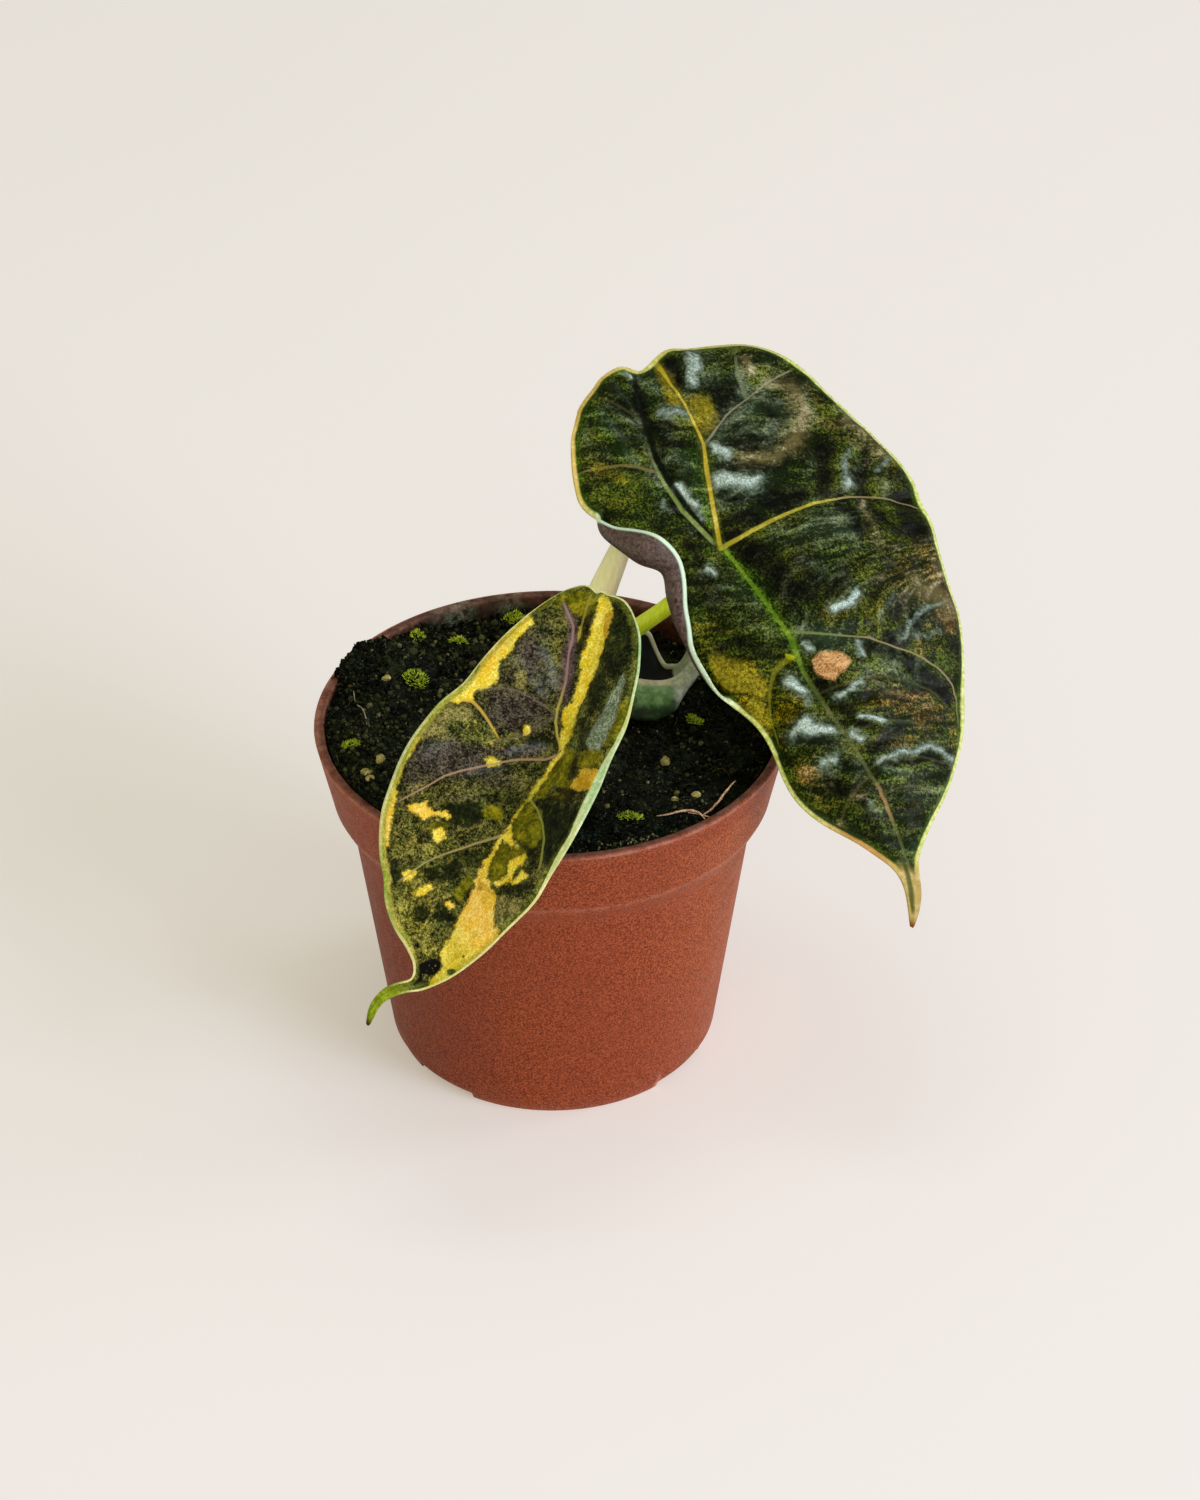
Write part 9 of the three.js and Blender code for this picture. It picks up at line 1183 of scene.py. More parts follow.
def build_soil(mat):
    rng = np.random.default_rng(5)
    seg, rings = 250, 84
    rmax = 40.4
    rr = rmax * np.linspace(0, 1, rings + 1)[1:] ** 0.85
    ang = 2 * math.pi * np.arange(seg) / seg
    X = rr[:, None] * np.cos(ang)
    Y = rr[:, None] * np.sin(ang)
    x, y = X.ravel(), Y.ravel()
    z = soil_fine(x, y)
    # stay inside the wall below the lip
    lim = inner_r(np.minimum(z, POT_H)) - 0.12
    rad = np.hypot(x, y)
    k = np.minimum(1, lim / np.maximum(rad, 1e-6))
    x, y = x * k, y * k
    V = [np.c_[x, y, z], np.array([[0, 0, soil_fine(np.zeros(1), np.zeros(1))[0]]])]
    top_n = rings * seg
    F = []
    c0 = top_n
    for j in range(seg):
        F.append((c0, j, (j + 1) % seg))
    ii = np.arange((rings - 1) * seg)
    a = ii
    b = (ii // seg) * seg + (ii % seg + 1) % seg
    F += np.stack([a, a + seg, b + seg, b], 1).tolist()
    # sides and bottom
    base = top_n + 1
    prev = (rings - 1) * seg
    for zz in (60.0, 56.5, COLLAR_Z, NECK_Z, 25.0, FLOOR_T + 2.0):
        r = inner_r(zz) - 0.25
        V.append(np.c_[r * np.cos(ang), r * np.sin(ang), np.full(seg, zz)])
        for j in range(seg):
            k2 = (j + 1) % seg
            F.append((prev + j, base + j, base + k2, prev + k2))
        prev = base
        base += seg
    r = FOOT_R - WALL - 1.6
    V.append(np.c_[r * np.cos(ang), r * np.sin(ang), np.full(seg, FLOOR_T + 0.25)])
    for j in range(seg):
        k2 = (j + 1) % seg
        F.append((prev + j, base + j, base + k2, prev + k2))
    F.append(tuple(base + np.arange(seg)[::-1]))
    base += seg
    tone = [0.45 + 0.4 * vnoise(np.c_[x, y, z] * 1.6, 31), np.array([0.4]), np.full(seg * 7, 0.4)]
    # crumbs
    def places(n, rlim=39.9):
        r = rlim * np.sqrt(rng.uniform(0, 1, n))
        a = rng.uniform(0, 2 * math.pi, n)
        return r * np.cos(a), r * np.sin(a)

    for n, sub, lo, hi, jit in ((430, 1, 0.55, 1.25, 0.16), (3900, 0, 0.18, 0.6, 0.22)):
        px, py = places(n)
        s = lo + (hi - lo) * rng.uniform(0, 1, n) ** 2.2
        pz = soil_fine(px, py) + s * rng.uniform(-0.25, 0.45, n)
        lim = inner_r(np.minimum(pz, POT_H)) - s * 0.85 - 0.1
        rad = np.hypot(px, py)
        k = np.minimum(1, lim / np.maximum(rad, 1e-6))
        P, f, per = scatter(rng, n, sub, np.c_[px * k, py * k, pz], s, jit)
        V.append(P)
        F += (f + base).tolist()
        t = rng.uniform(0, 1, n) ** 1.1
        t = np.where(s > 0.7, t * 0.85, t)
        tone.append(np.repeat(t, per))
        base += len(P)
    # a heap of crumbs on the mound at the back left, and grains by the front rim
    n = 320
    a = rng.uniform(math.radians(144), math.radians(172), n)
    r = rng.uniform(33, 40.4, n)
    s = rng.uniform(0.15, 0.6, n)
    px, py = r * np.cos(a), r * np.sin(a)
    pz = soil_fine(px, py) + rng.uniform(-0.2, 0.9, n)
    P, f, per = scatter(rng, n, 0, np.c_[px, py, pz], s, 0.24)
    V.append(P)
    F += (f + base).tolist()
    tone.append(np.repeat(rng.uniform(0, 0.8, n), per))
    base += len(P)
    n = 520
    a = rng.uniform(math.radians(60), math.radians(262), n)
    s = 0.12 + 0.42 * rng.uniform(0, 1, n) ** 2
    r = 40.35 - s * rng.uniform(0.2, 1.6, n)
    px, py = r * np.cos(a), r * np.sin(a)
    pz = soil_fine(px, py) + rng.uniform(-0.1, 0.7, n)
    P, f, per = scatter(rng, n, 0, np.c_[px, py, pz], s, 0.24)
    V.append(P)
    F += (f + base).tolist()
    tone.append(np.repeat(rng.uniform(0, 0.86, n), per))
    base += len(P)
    n = 46
    px, py = rng.uniform(8, 22, n), np.zeros(n)
    r = rng.uniform(38.0, 39.8, n)
    py = -np.sqrt(np.maximum(r**2 - px**2, 1))
    s = rng.uniform(0.14, 0.34, n)
    P, f, per = scatter(rng, n, 0, np.c_[px, py, soil_fine(px, py) + 0.35], s, 0.2)
    V.append(P)
    F += (f + base).tolist()
    tone.append(np.repeat(rng.uniform(0.93, 1.0, n), per))
    base += len(P)
    n = 300
    a = rng.normal(math.radians(154.5), math.radians(3.6), n)
    r = rng.uniform(39.6, 42.0, n)
    s = rng.uniform(0.16, 0.58, n)
    lift = np.exp(-(((a - math.radians(154)) / math.radians(4.5)) ** 2))
    px, py = r * np.cos(a), r * np.sin(a)
    P, f, per = scatter(rng, n, 0, np.c_[px, py, 67.0 + s * 0.5 + 1.5 * lift * rng.uniform(0, 1, n) * smooth01((42.6 - r) / 1.6)], s, 0.24)
    V.append(P)
    F += (f + base).tolist()
    tone.append(np.repeat(rng.uniform(0, 0.8, n), per))
    base += len(P)
    # paler bits lying at the left and at the back
    n = 720
    k = np.arange(n) % 4
    k = np.where(k == 3, 0, k)
    px = np.where(k == 0, rng.normal(-31, 4.5, n), np.where(k == 1, rng.normal(-24, 8.0, n), rng.normal(-12, 9.0, n)))
    py = np.where(k == 0, rng.normal(-8, 9.0, n), np.where(k == 1, rng.normal(14, 9.0, n), rng.normal(28, 6.0, n)))
    keep = np.hypot(px, py) < 39.4
    px, py = px[keep], py[keep]
    n = len(px)
    s = 0.2 + 0.62 * rng.uniform(0, 1, n) ** 2.2
    P, f, per = scatter(rng, n, 0, np.c_[px, py, soil_fine(px, py) + s * 0.35], s, 0.26)
    V.append(P)
    F += (f + base).tolist()
    tone.append(np.repeat(0.66 + 0.30 * rng.uniform(0, 1, n), per))
    base += len(P)
    # fibres
    n = 190
    px, py = places(n, 39.5)
    for i in range(n):
        L = rng.uniform(1.6, 6.5)
        w = rng.uniform(0.05, 0.11)
        a0 = rng.uniform(0, 2 * math.pi)
        bend = rng.uniform(-1.2, 1.2)
        k = 5
        t = np.linspace(0, 1, k)
        aa = a0 + bend * t
        cx = px[i] + np.cumsum(np.cos(aa)) * L / k
        cy = py[i] + np.cumsum(np.sin(aa)) * L / k
        lim = 39.8 / np.maximum(np.hypot(cx, cy), 39.8)
        cx, cy = cx * lim, cy * lim
        cz = soil_fine(cx, cy) + 0.25 + 0.4 * np.sin(t * math.pi) * rng.uniform(0.2, 1.6)
        C = np.c_[cx, cy, cz]
        T = np.gradient(C, axis=0)
        T /= np.linalg.norm(T, axis=1, keepdims=True) + 1e-9
        side = np.cross(T, [0, 0, 1.0])
        side /= np.linalg.norm(side, axis=1, keepdims=True) + 1e-9
        upn = np.cross(side, T)
        ring = []
        for q3 in range(3):
            an = 2 * math.pi * q3 / 3
            ring.append(C + w * (math.cos(an) * side + math.sin(an) * upn) * np.sin(np.clip(t, 0.12, 0.88) * math.pi)[:, None])
        P = np.stack(ring, 1).reshape(-1, 3)
        V.append(P)
        for s2 in range(k - 1):
            for q3 in range(3):
                q4 = (q3 + 1) % 3
                F.append((base + s2 * 3 + q3, base + s2 * 3 + q4, base + (s2 + 1) * 3 + q4, base + (s2 + 1) * 3 + q3))
        F.append((base, base + 2, base + 1))
        F.append((base + (k - 1) * 3, base + (k - 1) * 3 + 1, base + (k - 1) * 3 + 2))
        tone.append(np.full(k * 3, rng.uniform(0.55, 0.975)))
        base += k * 3
    V, tone = np.vstack(V), np.concatenate(tone)
    shade = smooth01((-23 - V[:, 1]) / 5) * smooth01((38.2 - np.hypot(V[:, 0], V[:, 1])) / 0.8) * smooth01((V[:, 0] + 12) / 8)
    tone = tone * (1 - 0.45 * shade)
    ob = mesh_object("potting_soil_surface", V, F, [mat], None, {"tone": tone}, smooth=True)
    return ob


# ------------------------------------------------------------------ pot
def build_pot(mat):
    seg = 224
    prof = [(0, 0.0), (20.8, 0.0), (21.15, 0.15), (21.6, 1.0), (26.0, 1.0), (26.35, 0.15), (26.7, 0.0), (28.2, 0.0), (28.95, 0.0), (29.22, 0.1), (29.38, 0.5), (29.66, 1.3), (30.25, 2.4)]
    for t in np.linspace(0.08, 1, 12):
        prof.append((30.25 + (NECK_R - 0.25 - 30.25) * t, 2.4 + (47.2 - 2.4) * t))
    prof += [(36.42, 48.2), (36.75, 49.0), (37.25, 49.8), (37.9, 50.7), (38.55, 51.6), (39.05, 52.4), (39.38, 53.05), (39.55, 53.5), (39.72, 53.75), (39.82, 54.3)]
    for t in np.linspace(0.15, 1, 8):
        prof.append((39.82 + (42.36 - 39.82) * t, 54.3 + (66.2 - 54.3) * t))
    prof += [(42.45, 66.6), (42.38, 66.86), (42.15, 66.98), (41.8, 67.0), (41.2, 66.98), (40.75, 66.8), (40.6, 66.4)]
    for t in np.linspace(0.12, 1, 7):
        prof.append((40.55 + (38.35 - 40.55) * t, 66.1 + (53.4 - 66.1) * t))
    prof += [(37.2, 51.0), (35.6, 49.2), (35.15, 48.2), (28.9, 2.9), (28.0, 2.15), (27.0, 2.0), (0, 2.0)]
    prof = np.array(prof)
    V, F, start = [], [], []
    ang = 2 * math.pi * np.arange(seg) / seg
    for r, z in prof:
        start.append(len(V))
        if r == 0:
            V.append((0, 0, z))
        else:
            V.extend(zip(r * np.cos(ang), r * np.sin(ang), np.full(seg, z)))
    for i in range(len(prof) - 1):
        A, B = prof[i][0] == 0, prof[i + 1][0] == 0
        for j in range(seg):
            k = (j + 1) % seg
            if A:
                F.append((start[i], start[i + 1] + k, start[i + 1] + j))
            elif B:
                F.append((start[i] + j, start[i] + k, start[i + 1]))
            else:
                F.append((start[i] + j, start[i] + k, start[i + 1] + k, start[i + 1] + j))
    F = flip_outward(V, F)
    ob = mesh_object("nursery_pot_shell", V, F, [mat], None, {})
    # drainage notches in the foot and holes through the floor
    cutters = []
    for n, deg in enumerate(NOTCH_A):
        a = math.radians(deg)
        w, h = 13.2 / 2, 1.45
        r0, r1 = 25.8, 33.0
        # notch outline: a low arch with rounded shoulders
        pts = [(-w, -1.0), (-w, 1.25), (-w + 0.2, h)] + [(x, h + 0.12 * (1 - (x / w) ** 2)) for x in np.linspace(-w + 1.2, w - 1.2, 9)] + [(w - 0.2, h), (w, 1.25), (w, -1.0)]
        cv = [(r0, x, z) for x, z in pts] + [(r1, x, z) for x, z in pts]
        m = len(pts)
        cf = [tuple(range(m)), tuple(range(2 * m - 1, m - 1, -1))] + [(i, (i + 1) % m, m + (i + 1) % m, m + i)[::-1] for i in range(m)]
        cv = np.array(cv)
        c, s = math.cos(a), math.sin(a)
        cv = np.c_[cv[:, 0] * c - cv[:, 1] * s, cv[:, 0] * s + cv[:, 1] * c, cv[:, 2]]
        cutters.append((cv, flip_outward(cv, cf)))
        b = a + 0.785
        hv, hs = [], 36
        for zz in (-1.0, 3.5):
            hv += [(HOLE_RING * math.cos(b) + HOLE_R * math.cos(t), HOLE_RING * math.sin(b) + HOLE_R * math.sin(t), zz) for t in 2 * math.pi * np.arange(hs) / hs]
        hf = [tuple(range(hs)), tuple(range(2 * hs - 1, hs - 1, -1))] + [(i, (i + 1) % hs, hs + (i + 1) % hs, hs + i)[::-1] for i in range(hs)]
        cutters.append((np.array(hv), flip_outward(hv, hf)))
    cv, cf, base = [], [], 0
    for v, f in cutters:
        cv.append(v)
        cf += [tuple(i + base for i in x) for x in f]
        base += len(v)
    cut = mesh_object("pot_cutter", np.vstack(cv), cf, [mat])
    mod = ob.modifiers.new("cut", "BOOLEAN")
    mod.object = cut
    mod.operation = "DIFFERENCE"
    mod.solver = "EXACT"
    dg = bpy.context.evaluated_depsgraph_get()
    me = bpy.data.meshes.new_from_object(ob.evaluated_get(dg))
    ob.modifiers.clear()
    old = ob.data
    ob.data = me
    bpy.data.meshes.remove(old)
    bpy.data.objects.remove(cut)
    for p in me.polygons:
        p.use_smooth = True
    co = np.zeros(len(me.vertices) * 3)
    me.vertices.foreach_get("co", co)
    co = co.reshape(-1, 3) / MM
    r = np.hypot(co[:, 0], co[:, 1])
    inside = (co[:, 2] > 3) & (r < np.interp(co[:, 2], [0, NECK_Z, COLLAR_Z, POT_H], [FOOT_R, NECK_R, COLLAR_R, RIM_R]) - 0.65)
    # dark peat on the inner wall, stronger below the rim, also painted shade inside the pot
    peat_dirt_and_shade = np.where(inside, 0.72 + 0.28 * smooth01((66.5 - co[:, 2]) / 5), 0.0)
    a = np.arctan2(co[:, 1], co[:, 0])
    lip = np.exp(-((co[:, 2] - 67) / 0.9) ** 2)
    # painted light: the lip on the left is kept lighter, with less dark peat and a pale outer edge
    left_lip_lit = np.exp(-(((a - math.radians(-178)) / 0.42) ** 2)) + np.exp(-(((a - math.radians(182)) / 0.42) ** 2))
    peat_dirt_and_shade = np.maximum(peat_dirt_and_shade, 0.9 * lip * smooth01((42.35 - r) / 0.5) * smooth01(0.75 + 0.8 * vnoise(np.c_[co[:, :2] * 0.12, np.zeros(len(co))], 41)) * (1 - 0.8 * np.clip(left_lip_lit, 0, 1)))
    # painted light on the right side of the wall
    painted_right_light = smooth01((co[:, 0] - 16) / 18) * (co[:, 2] < 62)
    # painted shade: the inner wall at the back is darker still
    back = np.exp(-(((a - 2.05) / 0.55) ** 2))
    peat_dirt_and_shade = np.where(inside, peat_dirt_and_shade + 0.4 * back, peat_dirt_and_shade)
    # painted shade on the lower left of the wall
    painted_left_shade = smooth01((-co[:, 0] - 2) / 26) * smooth01((60 - co[:, 2]) / 30)
    edge = np.exp(-((co[:, 2] - 66.7) / 0.35) ** 2) * 0.8 + np.exp(-((co[:, 2] - 53.5) / 0.5) ** 2) * (r > 39) * 0.35
    # painted highlights: the outer lip on the left and a thin pale line along the back lip
    turned = smooth01((r - 41.2) / 0.6) * smooth01((co[:, 2] - 66.2) / 0.5)
    thin = smooth01((r - 41.85) / 0.25) * smooth01((co[:, 2] - 66.2) / 0.5)
    rear = smooth01(co[:, 1] / 14)
    edge = np.maximum(edge, np.maximum(turned * np.clip(left_lip_lit, 0, 1), 1.25 * thin * rear))
    peat_dirt_and_shade = np.maximum(peat_dirt_and_shade, lip * smooth01((42.0 - r) / 0.2) * rear * (1 - 0.8 * np.clip(left_lip_lit, 0, 1)))
    algae = np.exp(-(((co[:, 0] + 17.5) / 2.9) ** 2)) * (co[:, 1] > 0) * smooth01((co[:, 2] - 62.5) / 2.0) * (r < 42.3)
    algae = np.maximum(algae, 0.5 * np.exp(-(((co[:, 0] + 21.5) / 1.3) ** 2)) * (co[:, 1] > 0) * smooth01((co[:, 2] - 64.0) / 1.5) * (r < 42.3))
    algae = np.maximum(algae, np.exp(-(((co[:, 0] + 8.0) / 2.6) ** 2)) * (co[:, 1] > 0) * smooth01((co[:, 2] - 63.5) / 1.5) * (r < 42.3))
    # painted highlight: a pale spot on a small chip at the end of one notch
    burr = np.exp(-((a - math.radians(-49.8)) / 0.014) ** 2) * smooth01((3.0 - co[:, 2]) / 1.2) * (r > 29.0)
    edge = np.maximum(edge, 1.3 * burr)
    # painted highlight: a thin pale line along the foot rim
    edge = np.maximum(edge, 0.35 * np.exp(-(((co[:, 2] - 0.3) / 0.3) ** 2)) * (r > 29.0))
    for key, val in (("peat_dirt_and_shade", peat_dirt_and_shade), ("edge", edge), ("algae", algae), ("painted_left_shade", painted_left_shade), ("painted_right_light", painted_right_light)):
        if key in me.attributes:
            me.attributes.remove(me.attributes[key])
        me.attributes.new(key, "FLOAT", "POINT").data.foreach_set("value", val.astype(np.float32))
    return ob


# ------------------------------------------------------------------ small things
def lump(name, x, y, z, sx, sy, sz, turn, seed, mat, sub=3):
    V, F = ico(sub)
    n = fbm(V * 1.7 + seed * 3.1, 4, seed)
    f = 1 + 0.22 * n
    P = V * f[:, None] * np.array([sx, sy, sz])
    c, s = math.cos(turn), math.sin(turn)
    P = np.c_[P[:, 0] * c - P[:, 1] * s + x, P[:, 0] * s + P[:, 1] * c + y, P[:, 2] + z]
    return mesh_object(name, P, F, [mat], None, {"tone": np.clip(0.5 + 0.6 * n, 0, 1)})


def moss(name, x, y, sx, sy, sz, seed, mat):
    """a tuft of tiny pointed leaflets"""
    rng = np.random.default_rng(seed)
    n = int(70 + 60 * sx)
    V, F, tone, base = [], [], [], 0
    for i in range(n):
        a = rng.uniform(0, 2 * math.pi)
        r = math.sqrt(rng.uniform(0, 1))
        cx, cy = x + sx * r * math.cos(a), y + sy * r * math.sin(a)
        cz = float(soil_fine(np.array([cx]), np.array([cy]))[0]) + 0.1 + sz * 0.8 * (1 - r * r) * rng.uniform(0.4, 1.0)
        d = np.array([math.cos(a) * r * 0.9 + rng.normal() * 0.35, math.sin(a) * r * 0.9 + rng.normal() * 0.35, rng.uniform(0.35, 1.1)])
        d /= np.linalg.norm(d)
        L, w = rng.uniform(0.55, 1.05), rng.uniform(0.16, 0.28)
        s = np.cross(d, [0.3, 0.2, 1.0])
        s /= np.linalg.norm(s)
        u = np.cross(s, d)
        c = np.array([cx, cy, cz])
        P = [c, c + d * L * 0.45 + s * w, c + d * L * 0.45 - s * w, c + d * L * 0.42 + u * w * 0.45, c + d * L * 0.42 - u * w * 0.3, c + d * L]
        V += P
        F += [(base + i0, base + i1, base + i2) for i0, i1, i2 in ((0, 1, 3), (0, 3, 2), (0, 2, 4), (0, 4, 1), (5, 3, 1), (5, 2, 3), (5, 4, 2), (5, 1, 4))]
        tone += [rng.uniform(0, 1)] * 6
        base += 6
    return mesh_object(name, np.array(V), F, [mat], None, {"tone": np.array(tone)})


def done(ob, node):
    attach(ob, "root")
    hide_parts(node)
    return ob


# ------------------------------------------------------------------ build
M_POT, M_SOIL = mat_pot(), mat_soil()
M_BIG, M_UNDER, M_SMALL = mat_blade_big(), mat_underside(), mat_blade_small()
M_LIME, M_PALE, M_SSTALK = mat_lime(), mat_pale(), mat_petiole_small()
M_CUPO, M_CUPI = mat_cup_out(), mat_cup_in()
M_MOSS = mat_simple("moss_green", srgb(70, 96, 4), srgb(148, 170, 24), srgb(186, 200, 54), 1600, (0.75, 0.9))
M_CHIP = mat_simple("dry_chip", srgb(118, 104, 50), srgb(206, 188, 126), srgb(150, 144, 62), 1300, (0.75, 0.9))
M_ROOT = mat_simple("dry_root", srgb(156, 116, 82), srgb(224, 188, 150), None, 1500, (0.7, 0.85))
M_FIBRE = mat_simple("pale_fibre", srgb(118, 108, 82), srgb(180, 168, 136), None, 1500, (0.7, 0.85))

pot = done(build_pot(M_POT), "nursery_pot")
soil = done(build_soil(M_SOIL), "potting_soil")

rows = refine(BIG_ROWS, [9] * (BIG_ROWS - 1))
cols = refine(BIG_COLS, [4] * 8 + [6] * (BIG_COLS - 9))
leaf_a = done(blade("large_leaf", big, rows, cols, big_raise, big_marks, 0.36, 0.52, [M_BIG, M_UNDER], -1), "large_leaf_blade")
rows = refine(SMALL_ROWS, [9] * (SMALL_ROWS - 1))
cols = refine(SMALL_COLS, [8] * (SMALL_COLS - 1))
leaf_b = done(blade("small_leaf", small, rows, cols, small_raise, small_marks, 0.36, 0.44, [M_SMALL, M_UNDER], -1), "small_leaf_blade")


def cup_marks(q, V, R, Cc):
    a = smooth01((R - 0.60 * (CUP_ROWS - 1)) / (0.36 * (CUP_ROWS - 1)))
    return {"lobe": np.maximum(a, smooth01((q[:, 0] - 11.4) / 3.0 + 0.25 * vnoise(V * 0.5, 8))), "low": smooth01((Cc - 0.5) / 1.4)}


def cup_raise(q, V, R, Cc, dm):
    return 0.12 * vnoise(V * 0.6, 3) * smooth01(dm / 1.0)


rows = refine(CUP_ROWS, [6] * (CUP_ROWS - 1))
cols = refine(CUP_COLS, [8] * (CUP_COLS - 1))
leaf_c = done(blade("juvenile_leaf_cup", cup, rows, cols, cup_raise, cup_marks, 0.5, 0.9, [M_CUPI, M_CUPO], CUP_SIGN), "juvenile_leaf")


def on(x, y, lift):
    return (x, y, float(soil_top(np.array([x]), np.array([y]))[0]) + lift)


def ribbed(a, s):
    return 1 + 0.018 * math.cos(9 * a) + 0.03 * math.cos(2 * a)


def wrapped(a, s):
    # overlapping sheath edge winding up the shoot
    b = (a + 5.2 * s) % (2 * math.pi)
    return 1 + 0.05 * (b / (2 * math.pi)) - 0.02 + 0.012 * math.cos(11 * a)


st_a = done(stalk("large_leaf_stalk", [on(7.5, 15.5, -1.6)] + LP, [2.35, 1.85, 1.65, 1.58, 1.5, 1.42, 1.5], 90, 28, [M_LIME], ribbed), "large_leaf_petiole")
st_b = done(stalk("small_leaf_stalk", [on(0.5, 12.5, -1.6)] + SP, [2.1, 1.6, 1.45, 1.4, 1.35, 1.3], 90, 26, [M_SSTALK], ribbed), "small_leaf_petiole")
st_c = done(stalk("new_shoot", [on(3.0, 18.9, -1.6)] + NS, [3.1, 2.95, 2.75, 2.15, 1.4, 0.4], 110, 40, [M_PALE], wrapped, cap=3.0), "new_leaf_spear")
st_d = done(stalk("juvenile_leaf_stalk", [on(9.8, 5.8, -1.2)] + JP, [1.15, 0.9, 0.82, 0.9], 40, 18, [M_CUPO], ribbed), "juvenile_leaf_petiole")
# the juvenile stalk takes part of that painted shade
st_d.data.attributes.new("low", "FLOAT", "POINT").data.foreach_set("value", np.full(len(st_d.data.vertices), 0.5, np.float32))
st_d.data.attributes.new("margin", "FLOAT", "POINT").data.foreach_set("value", np.full(len(st_d.data.vertices), 5.0, np.float32))


def rooty(seed):
    def f(a, s):
        return 1 + 0.22 * math.sin(23 * s + seed) * math.cos(a) + 0.16 * math.sin(41 * s + 2 * a + seed)
    return f


def lie(pts, lift):
    out = []
    for x, y, extra in pts:
        out.append((x, y, float(soil_fine(np.array([x]), np.array([y]))[0]) + lift + extra))
    return out


tw = stalk("root_twig_main", lie(TWIG, 0.30), [0.08, 0.15, 0.18, 0.22, 0.22, 0.1], 70, 10, [M_ROOT], rooty(1.0))
tw2 = stalk("root_twig_fork", lie(TWIG_FORK, 0.32), [0.12, 0.2, 0.22, 0.2, 0.08], 60, 10, [M_ROOT], rooty(2.2))
tw3 = stalk("root_twig_hair", lie(TWIG_HAIR, 0.30), [0.08, 0.1, 0.09, 0.05], 40, 8, [M_ROOT], rooty(3.2))
for t_ in (tw, tw2, tw3):
    done(t_, "root_twig")
done(stalk("pale_root_fibre", lie(FIBRE, 0.28), [0.06, 0.12, 0.12, 0.10, 0.05], 60, 8, [M_FIBRE], rooty(0.4)), "root_fibre")

MOSS = [(-25.0, 14.0, 2.1, 1.7, 1.1), (-17.6, 29.2, 1.4, 1.1, 0.9), (-25.2, 29.0, 1.1, 1.0, 0.8), (-35.4, -8.8, 1.3, 1.2, 0.9), (25.9, 5.3, 1.3, 1.0, 0.9), (13.9, -27.0, 2.0, 1.3, 0.8), (-7.5, 37.6, 1.8, 0.9, 1.1)]
for i, (x, y, a, b, c) in enumerate(MOSS):
    done(moss(f"moss_{i + 1}", x, y, a, b, c, 100 + i, M_MOSS), f"moss_tuft_{i + 1}")
CHIPS = [(-30.1, 12.6, 0.9, 0.7, 0.5), (-30.1, -11.6, 1.3, 0.8, 0.5), (-32.4, -15.3, 1.2, 0.9, 0.6), (-31.6, -18.6, 0.9, 0.7, 0.5), (20.3, -7.9, 1.2, 0.9, 0.6), (21.8, -21.3, 0.7, 0.6, 0.5), (25.5, -20.4, 0.9, 0.7, 0.5)]
for i, (x, y, a, b, c) in enumerate(CHIPS):
    z = float(soil_fine(np.array([x]), np.array([y]))[0]) + 0.25
    done(lump(f"chip_{i + 1}", x, y, z, a, b, c, 1.1 * i + 0.4, 7 + i, M_CHIP), f"soil_chip_{i + 1}")

# ------------------------------------------------------------------ stage
def mat_floor():
    m = Nodes("floor_paper")
    c = m.coord()
    n1 = m.noise(c, 3.0, 2, 0.5)
    col = m.mix(m.step(n1, 0.3, 0.7), (0.80, 0.765, 0.715), (0.815, 0.78, 0.73))
    return m.finish(col, m.step(n1, 0.3, 0.7, 0.85, 0.95), None, **{"Specular IOR Level": 0.1, "Emission Color": (0.336, 0.320, 0.258, 1.0), "Emission Strength": 1.0})


fl = bpy.data.meshes.new("floor")
fl.from_pydata([(-3, -3, 0), (3, -3, 0), (3, 3, 0), (-3, 3, 0)], [], [(0, 1, 2, 3)])
fl.materials.append(mat_floor())
floor = bpy.data.objects.new("floor", fl)
bpy.context.scene.collection.objects.link(floor)


def area(name, pos, look, size, watts, colour, size_y=None):
    l = bpy.data.lights.new(name, "AREA")
    l.shape = "RECTANGLE" if size_y else "DISK"
    l.size = size
    if size_y:
        l.size_y = size_y
    l.energy = watts
    l.color = colour
    o = bpy.data.objects.new(name, l)
    o.location = pos
    d = np.array(look, float) - np.array(pos, float)
    from mathutils import Vector
    o.rotation_mode = "QUATERNION"
    o.rotation_quaternion = Vector(d).to_track_quat("-Z", "Y")
    bpy.context.scene.collection.objects.link(o)
    return o


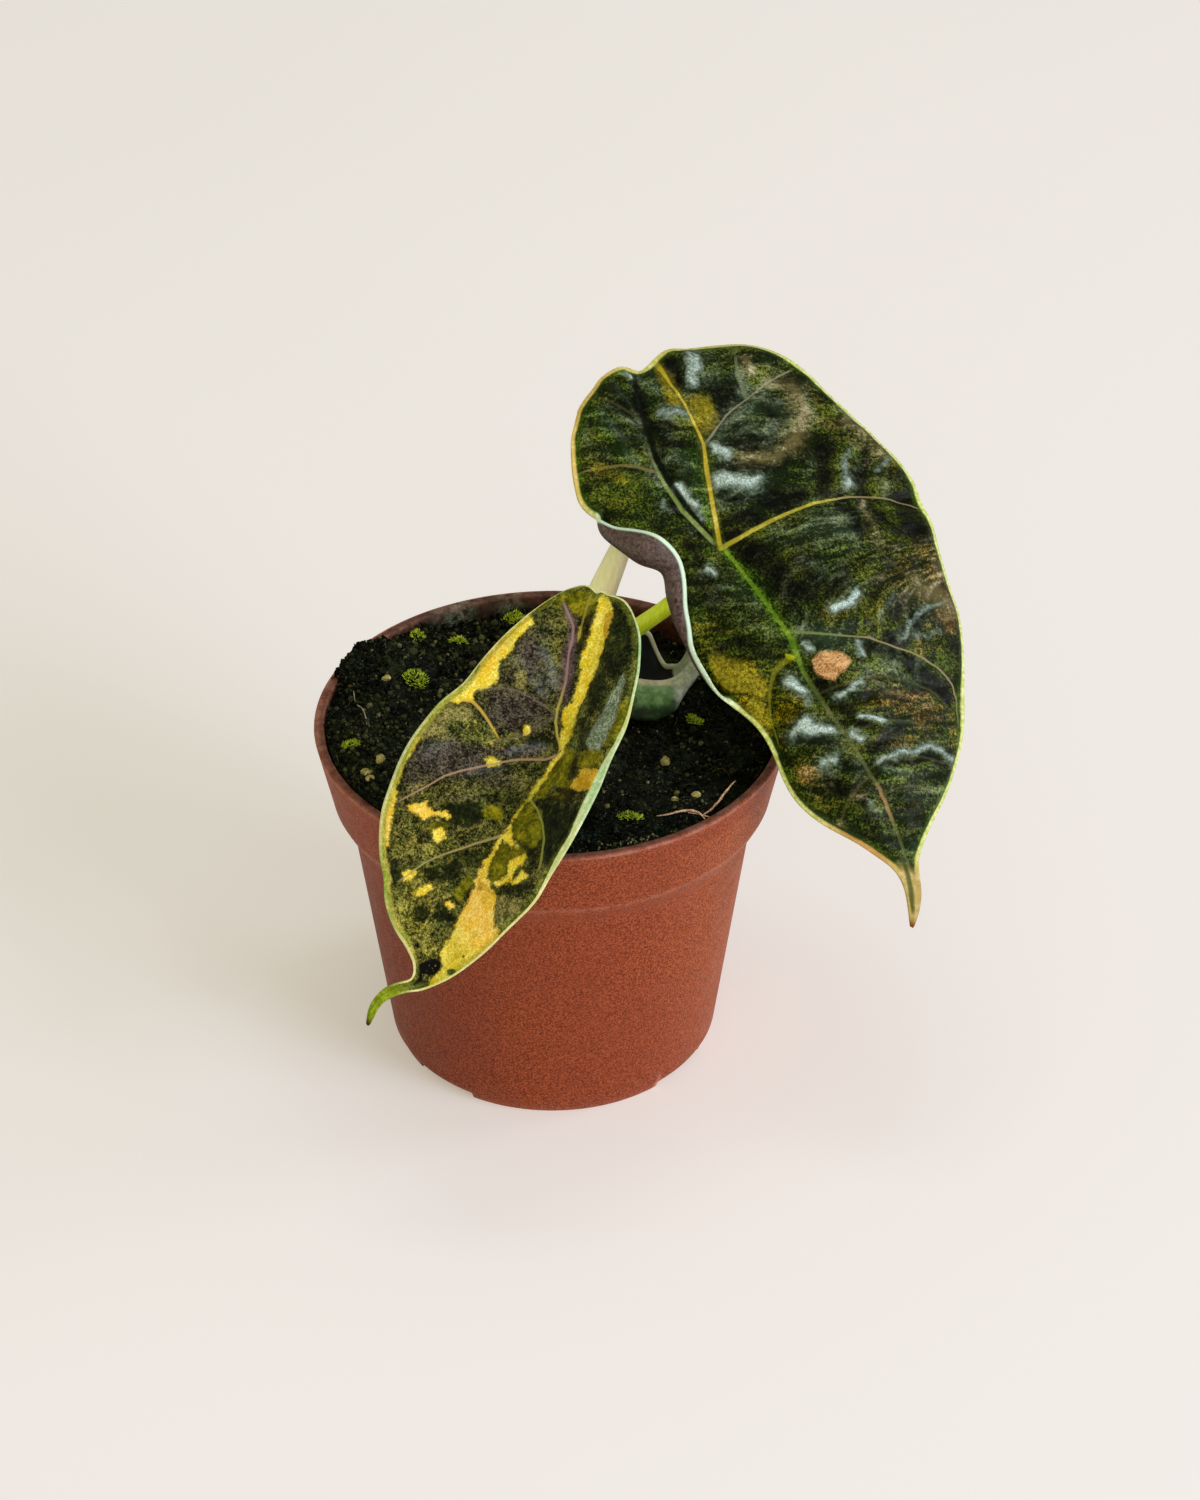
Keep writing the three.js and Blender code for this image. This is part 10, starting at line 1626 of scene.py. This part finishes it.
# lights by direction: azimuth and elevation in degrees, distance, radius, watts, colour
LIGHTS = [
    ("key_low", -40, 22, 2.4, 0.45, 15.2, (0.96, 1.0, 1.36)),
    ("key_high", -27, 33, 2.4, 0.45, 10.6, (0.96, 1.0, 1.36)),
    ("side", 14, 22, 2.4, 0.45, 8.0, (0.96, 1.0, 1.36)),
    ("front", -89, 42, 2.4, 0.8, 3.2, (1.0, 1.0, 1.0)),
]
O_POS, O_X, O_Y, O_WATT = (0.0, 0.12, 1.2), 0.5, 0.25, 1.0
FILL_AZ, FILL_EL, FILL_DIST, FILL_WATT = math.radians(-104), math.radians(48), 2.0, 17.0
W_COL, W_STR = (1.05, 1.0, 0.88, 1.0), 0.30
for name, az, el, dist, rad, watt, colour in LIGHTS:
    a, e = math.radians(az), math.radians(el)
    area(name, (dist * math.cos(e) * math.cos(a), dist * math.cos(e) * math.sin(a), 0.03 + dist * math.sin(e)), (0, 0, 0.03), 2 * rad, watt, colour)
area("overhead", O_POS, (0.0, 0.0, 0.08), O_X, O_WATT, (0.97, 1.0, 1.06), O_Y)

# a broad soft light kept to the plant itself, so the paper keeps its own shading
fill = area("plant_fill", (FILL_DIST * math.cos(FILL_EL) * math.cos(FILL_AZ), FILL_DIST * math.cos(FILL_EL) * math.sin(FILL_AZ), 0.06 + FILL_DIST * math.sin(FILL_EL)), (0, 0, 0.06), 1.4, FILL_WATT, (1.0, 0.97, 0.80))
fill.visible_glossy = False
stalk_fill = area("stalk_fill", (-0.9, -1.5, 1.1), (0, 0, 0.08), 0.8, 9.0, (1.0, 0.96, 0.76))
stalk_fill.visible_glossy = False
pair = bpy.data.collections.new("stalk_fill_targets")
for ob in (st_a, st_c):
    pair.objects.link(ob)
stalk_fill.light_linking.receiver_collection = pair
kept = bpy.data.collections.new("plant_fill_targets")
for ob in [leaf_a, leaf_b, leaf_c, st_a, st_b, st_c, st_d] + [o for o in bpy.data.objects if o.name.startswith(("moss_", "chip_", "root_", "pale_root"))]:
    kept.objects.link(ob)
fill.light_linking.receiver_collection = kept

world = bpy.data.worlds.new("studio")
bpy.context.scene.world = world
world.use_nodes = True
bg = world.node_tree.nodes["Background"]
bg.inputs["Color"].default_value = W_COL
bg.inputs["Strength"].default_value = W_STR

cam = bpy.data.cameras.new("camera")
cam.lens = 96.0
cam.sensor_width = 36.0
cam.sensor_fit = "AUTO"
cam.clip_start, cam.clip_end = 0.05, 20
co = bpy.data.objects.new("camera", cam)
co.location = tuple(EYE * MM)
co.rotation_euler = (math.radians(90 - 34.96), 0, 0)
bpy.context.scene.collection.objects.link(co)
bpy.context.scene.camera = co
bpy.context.scene.view_settings.view_transform = "Standard"
bpy.context.scene.view_settings.look = "None"
bpy.context.scene.view_settings.exposure = 0.0
bpy.context.scene.view_settings.gamma = 1.0
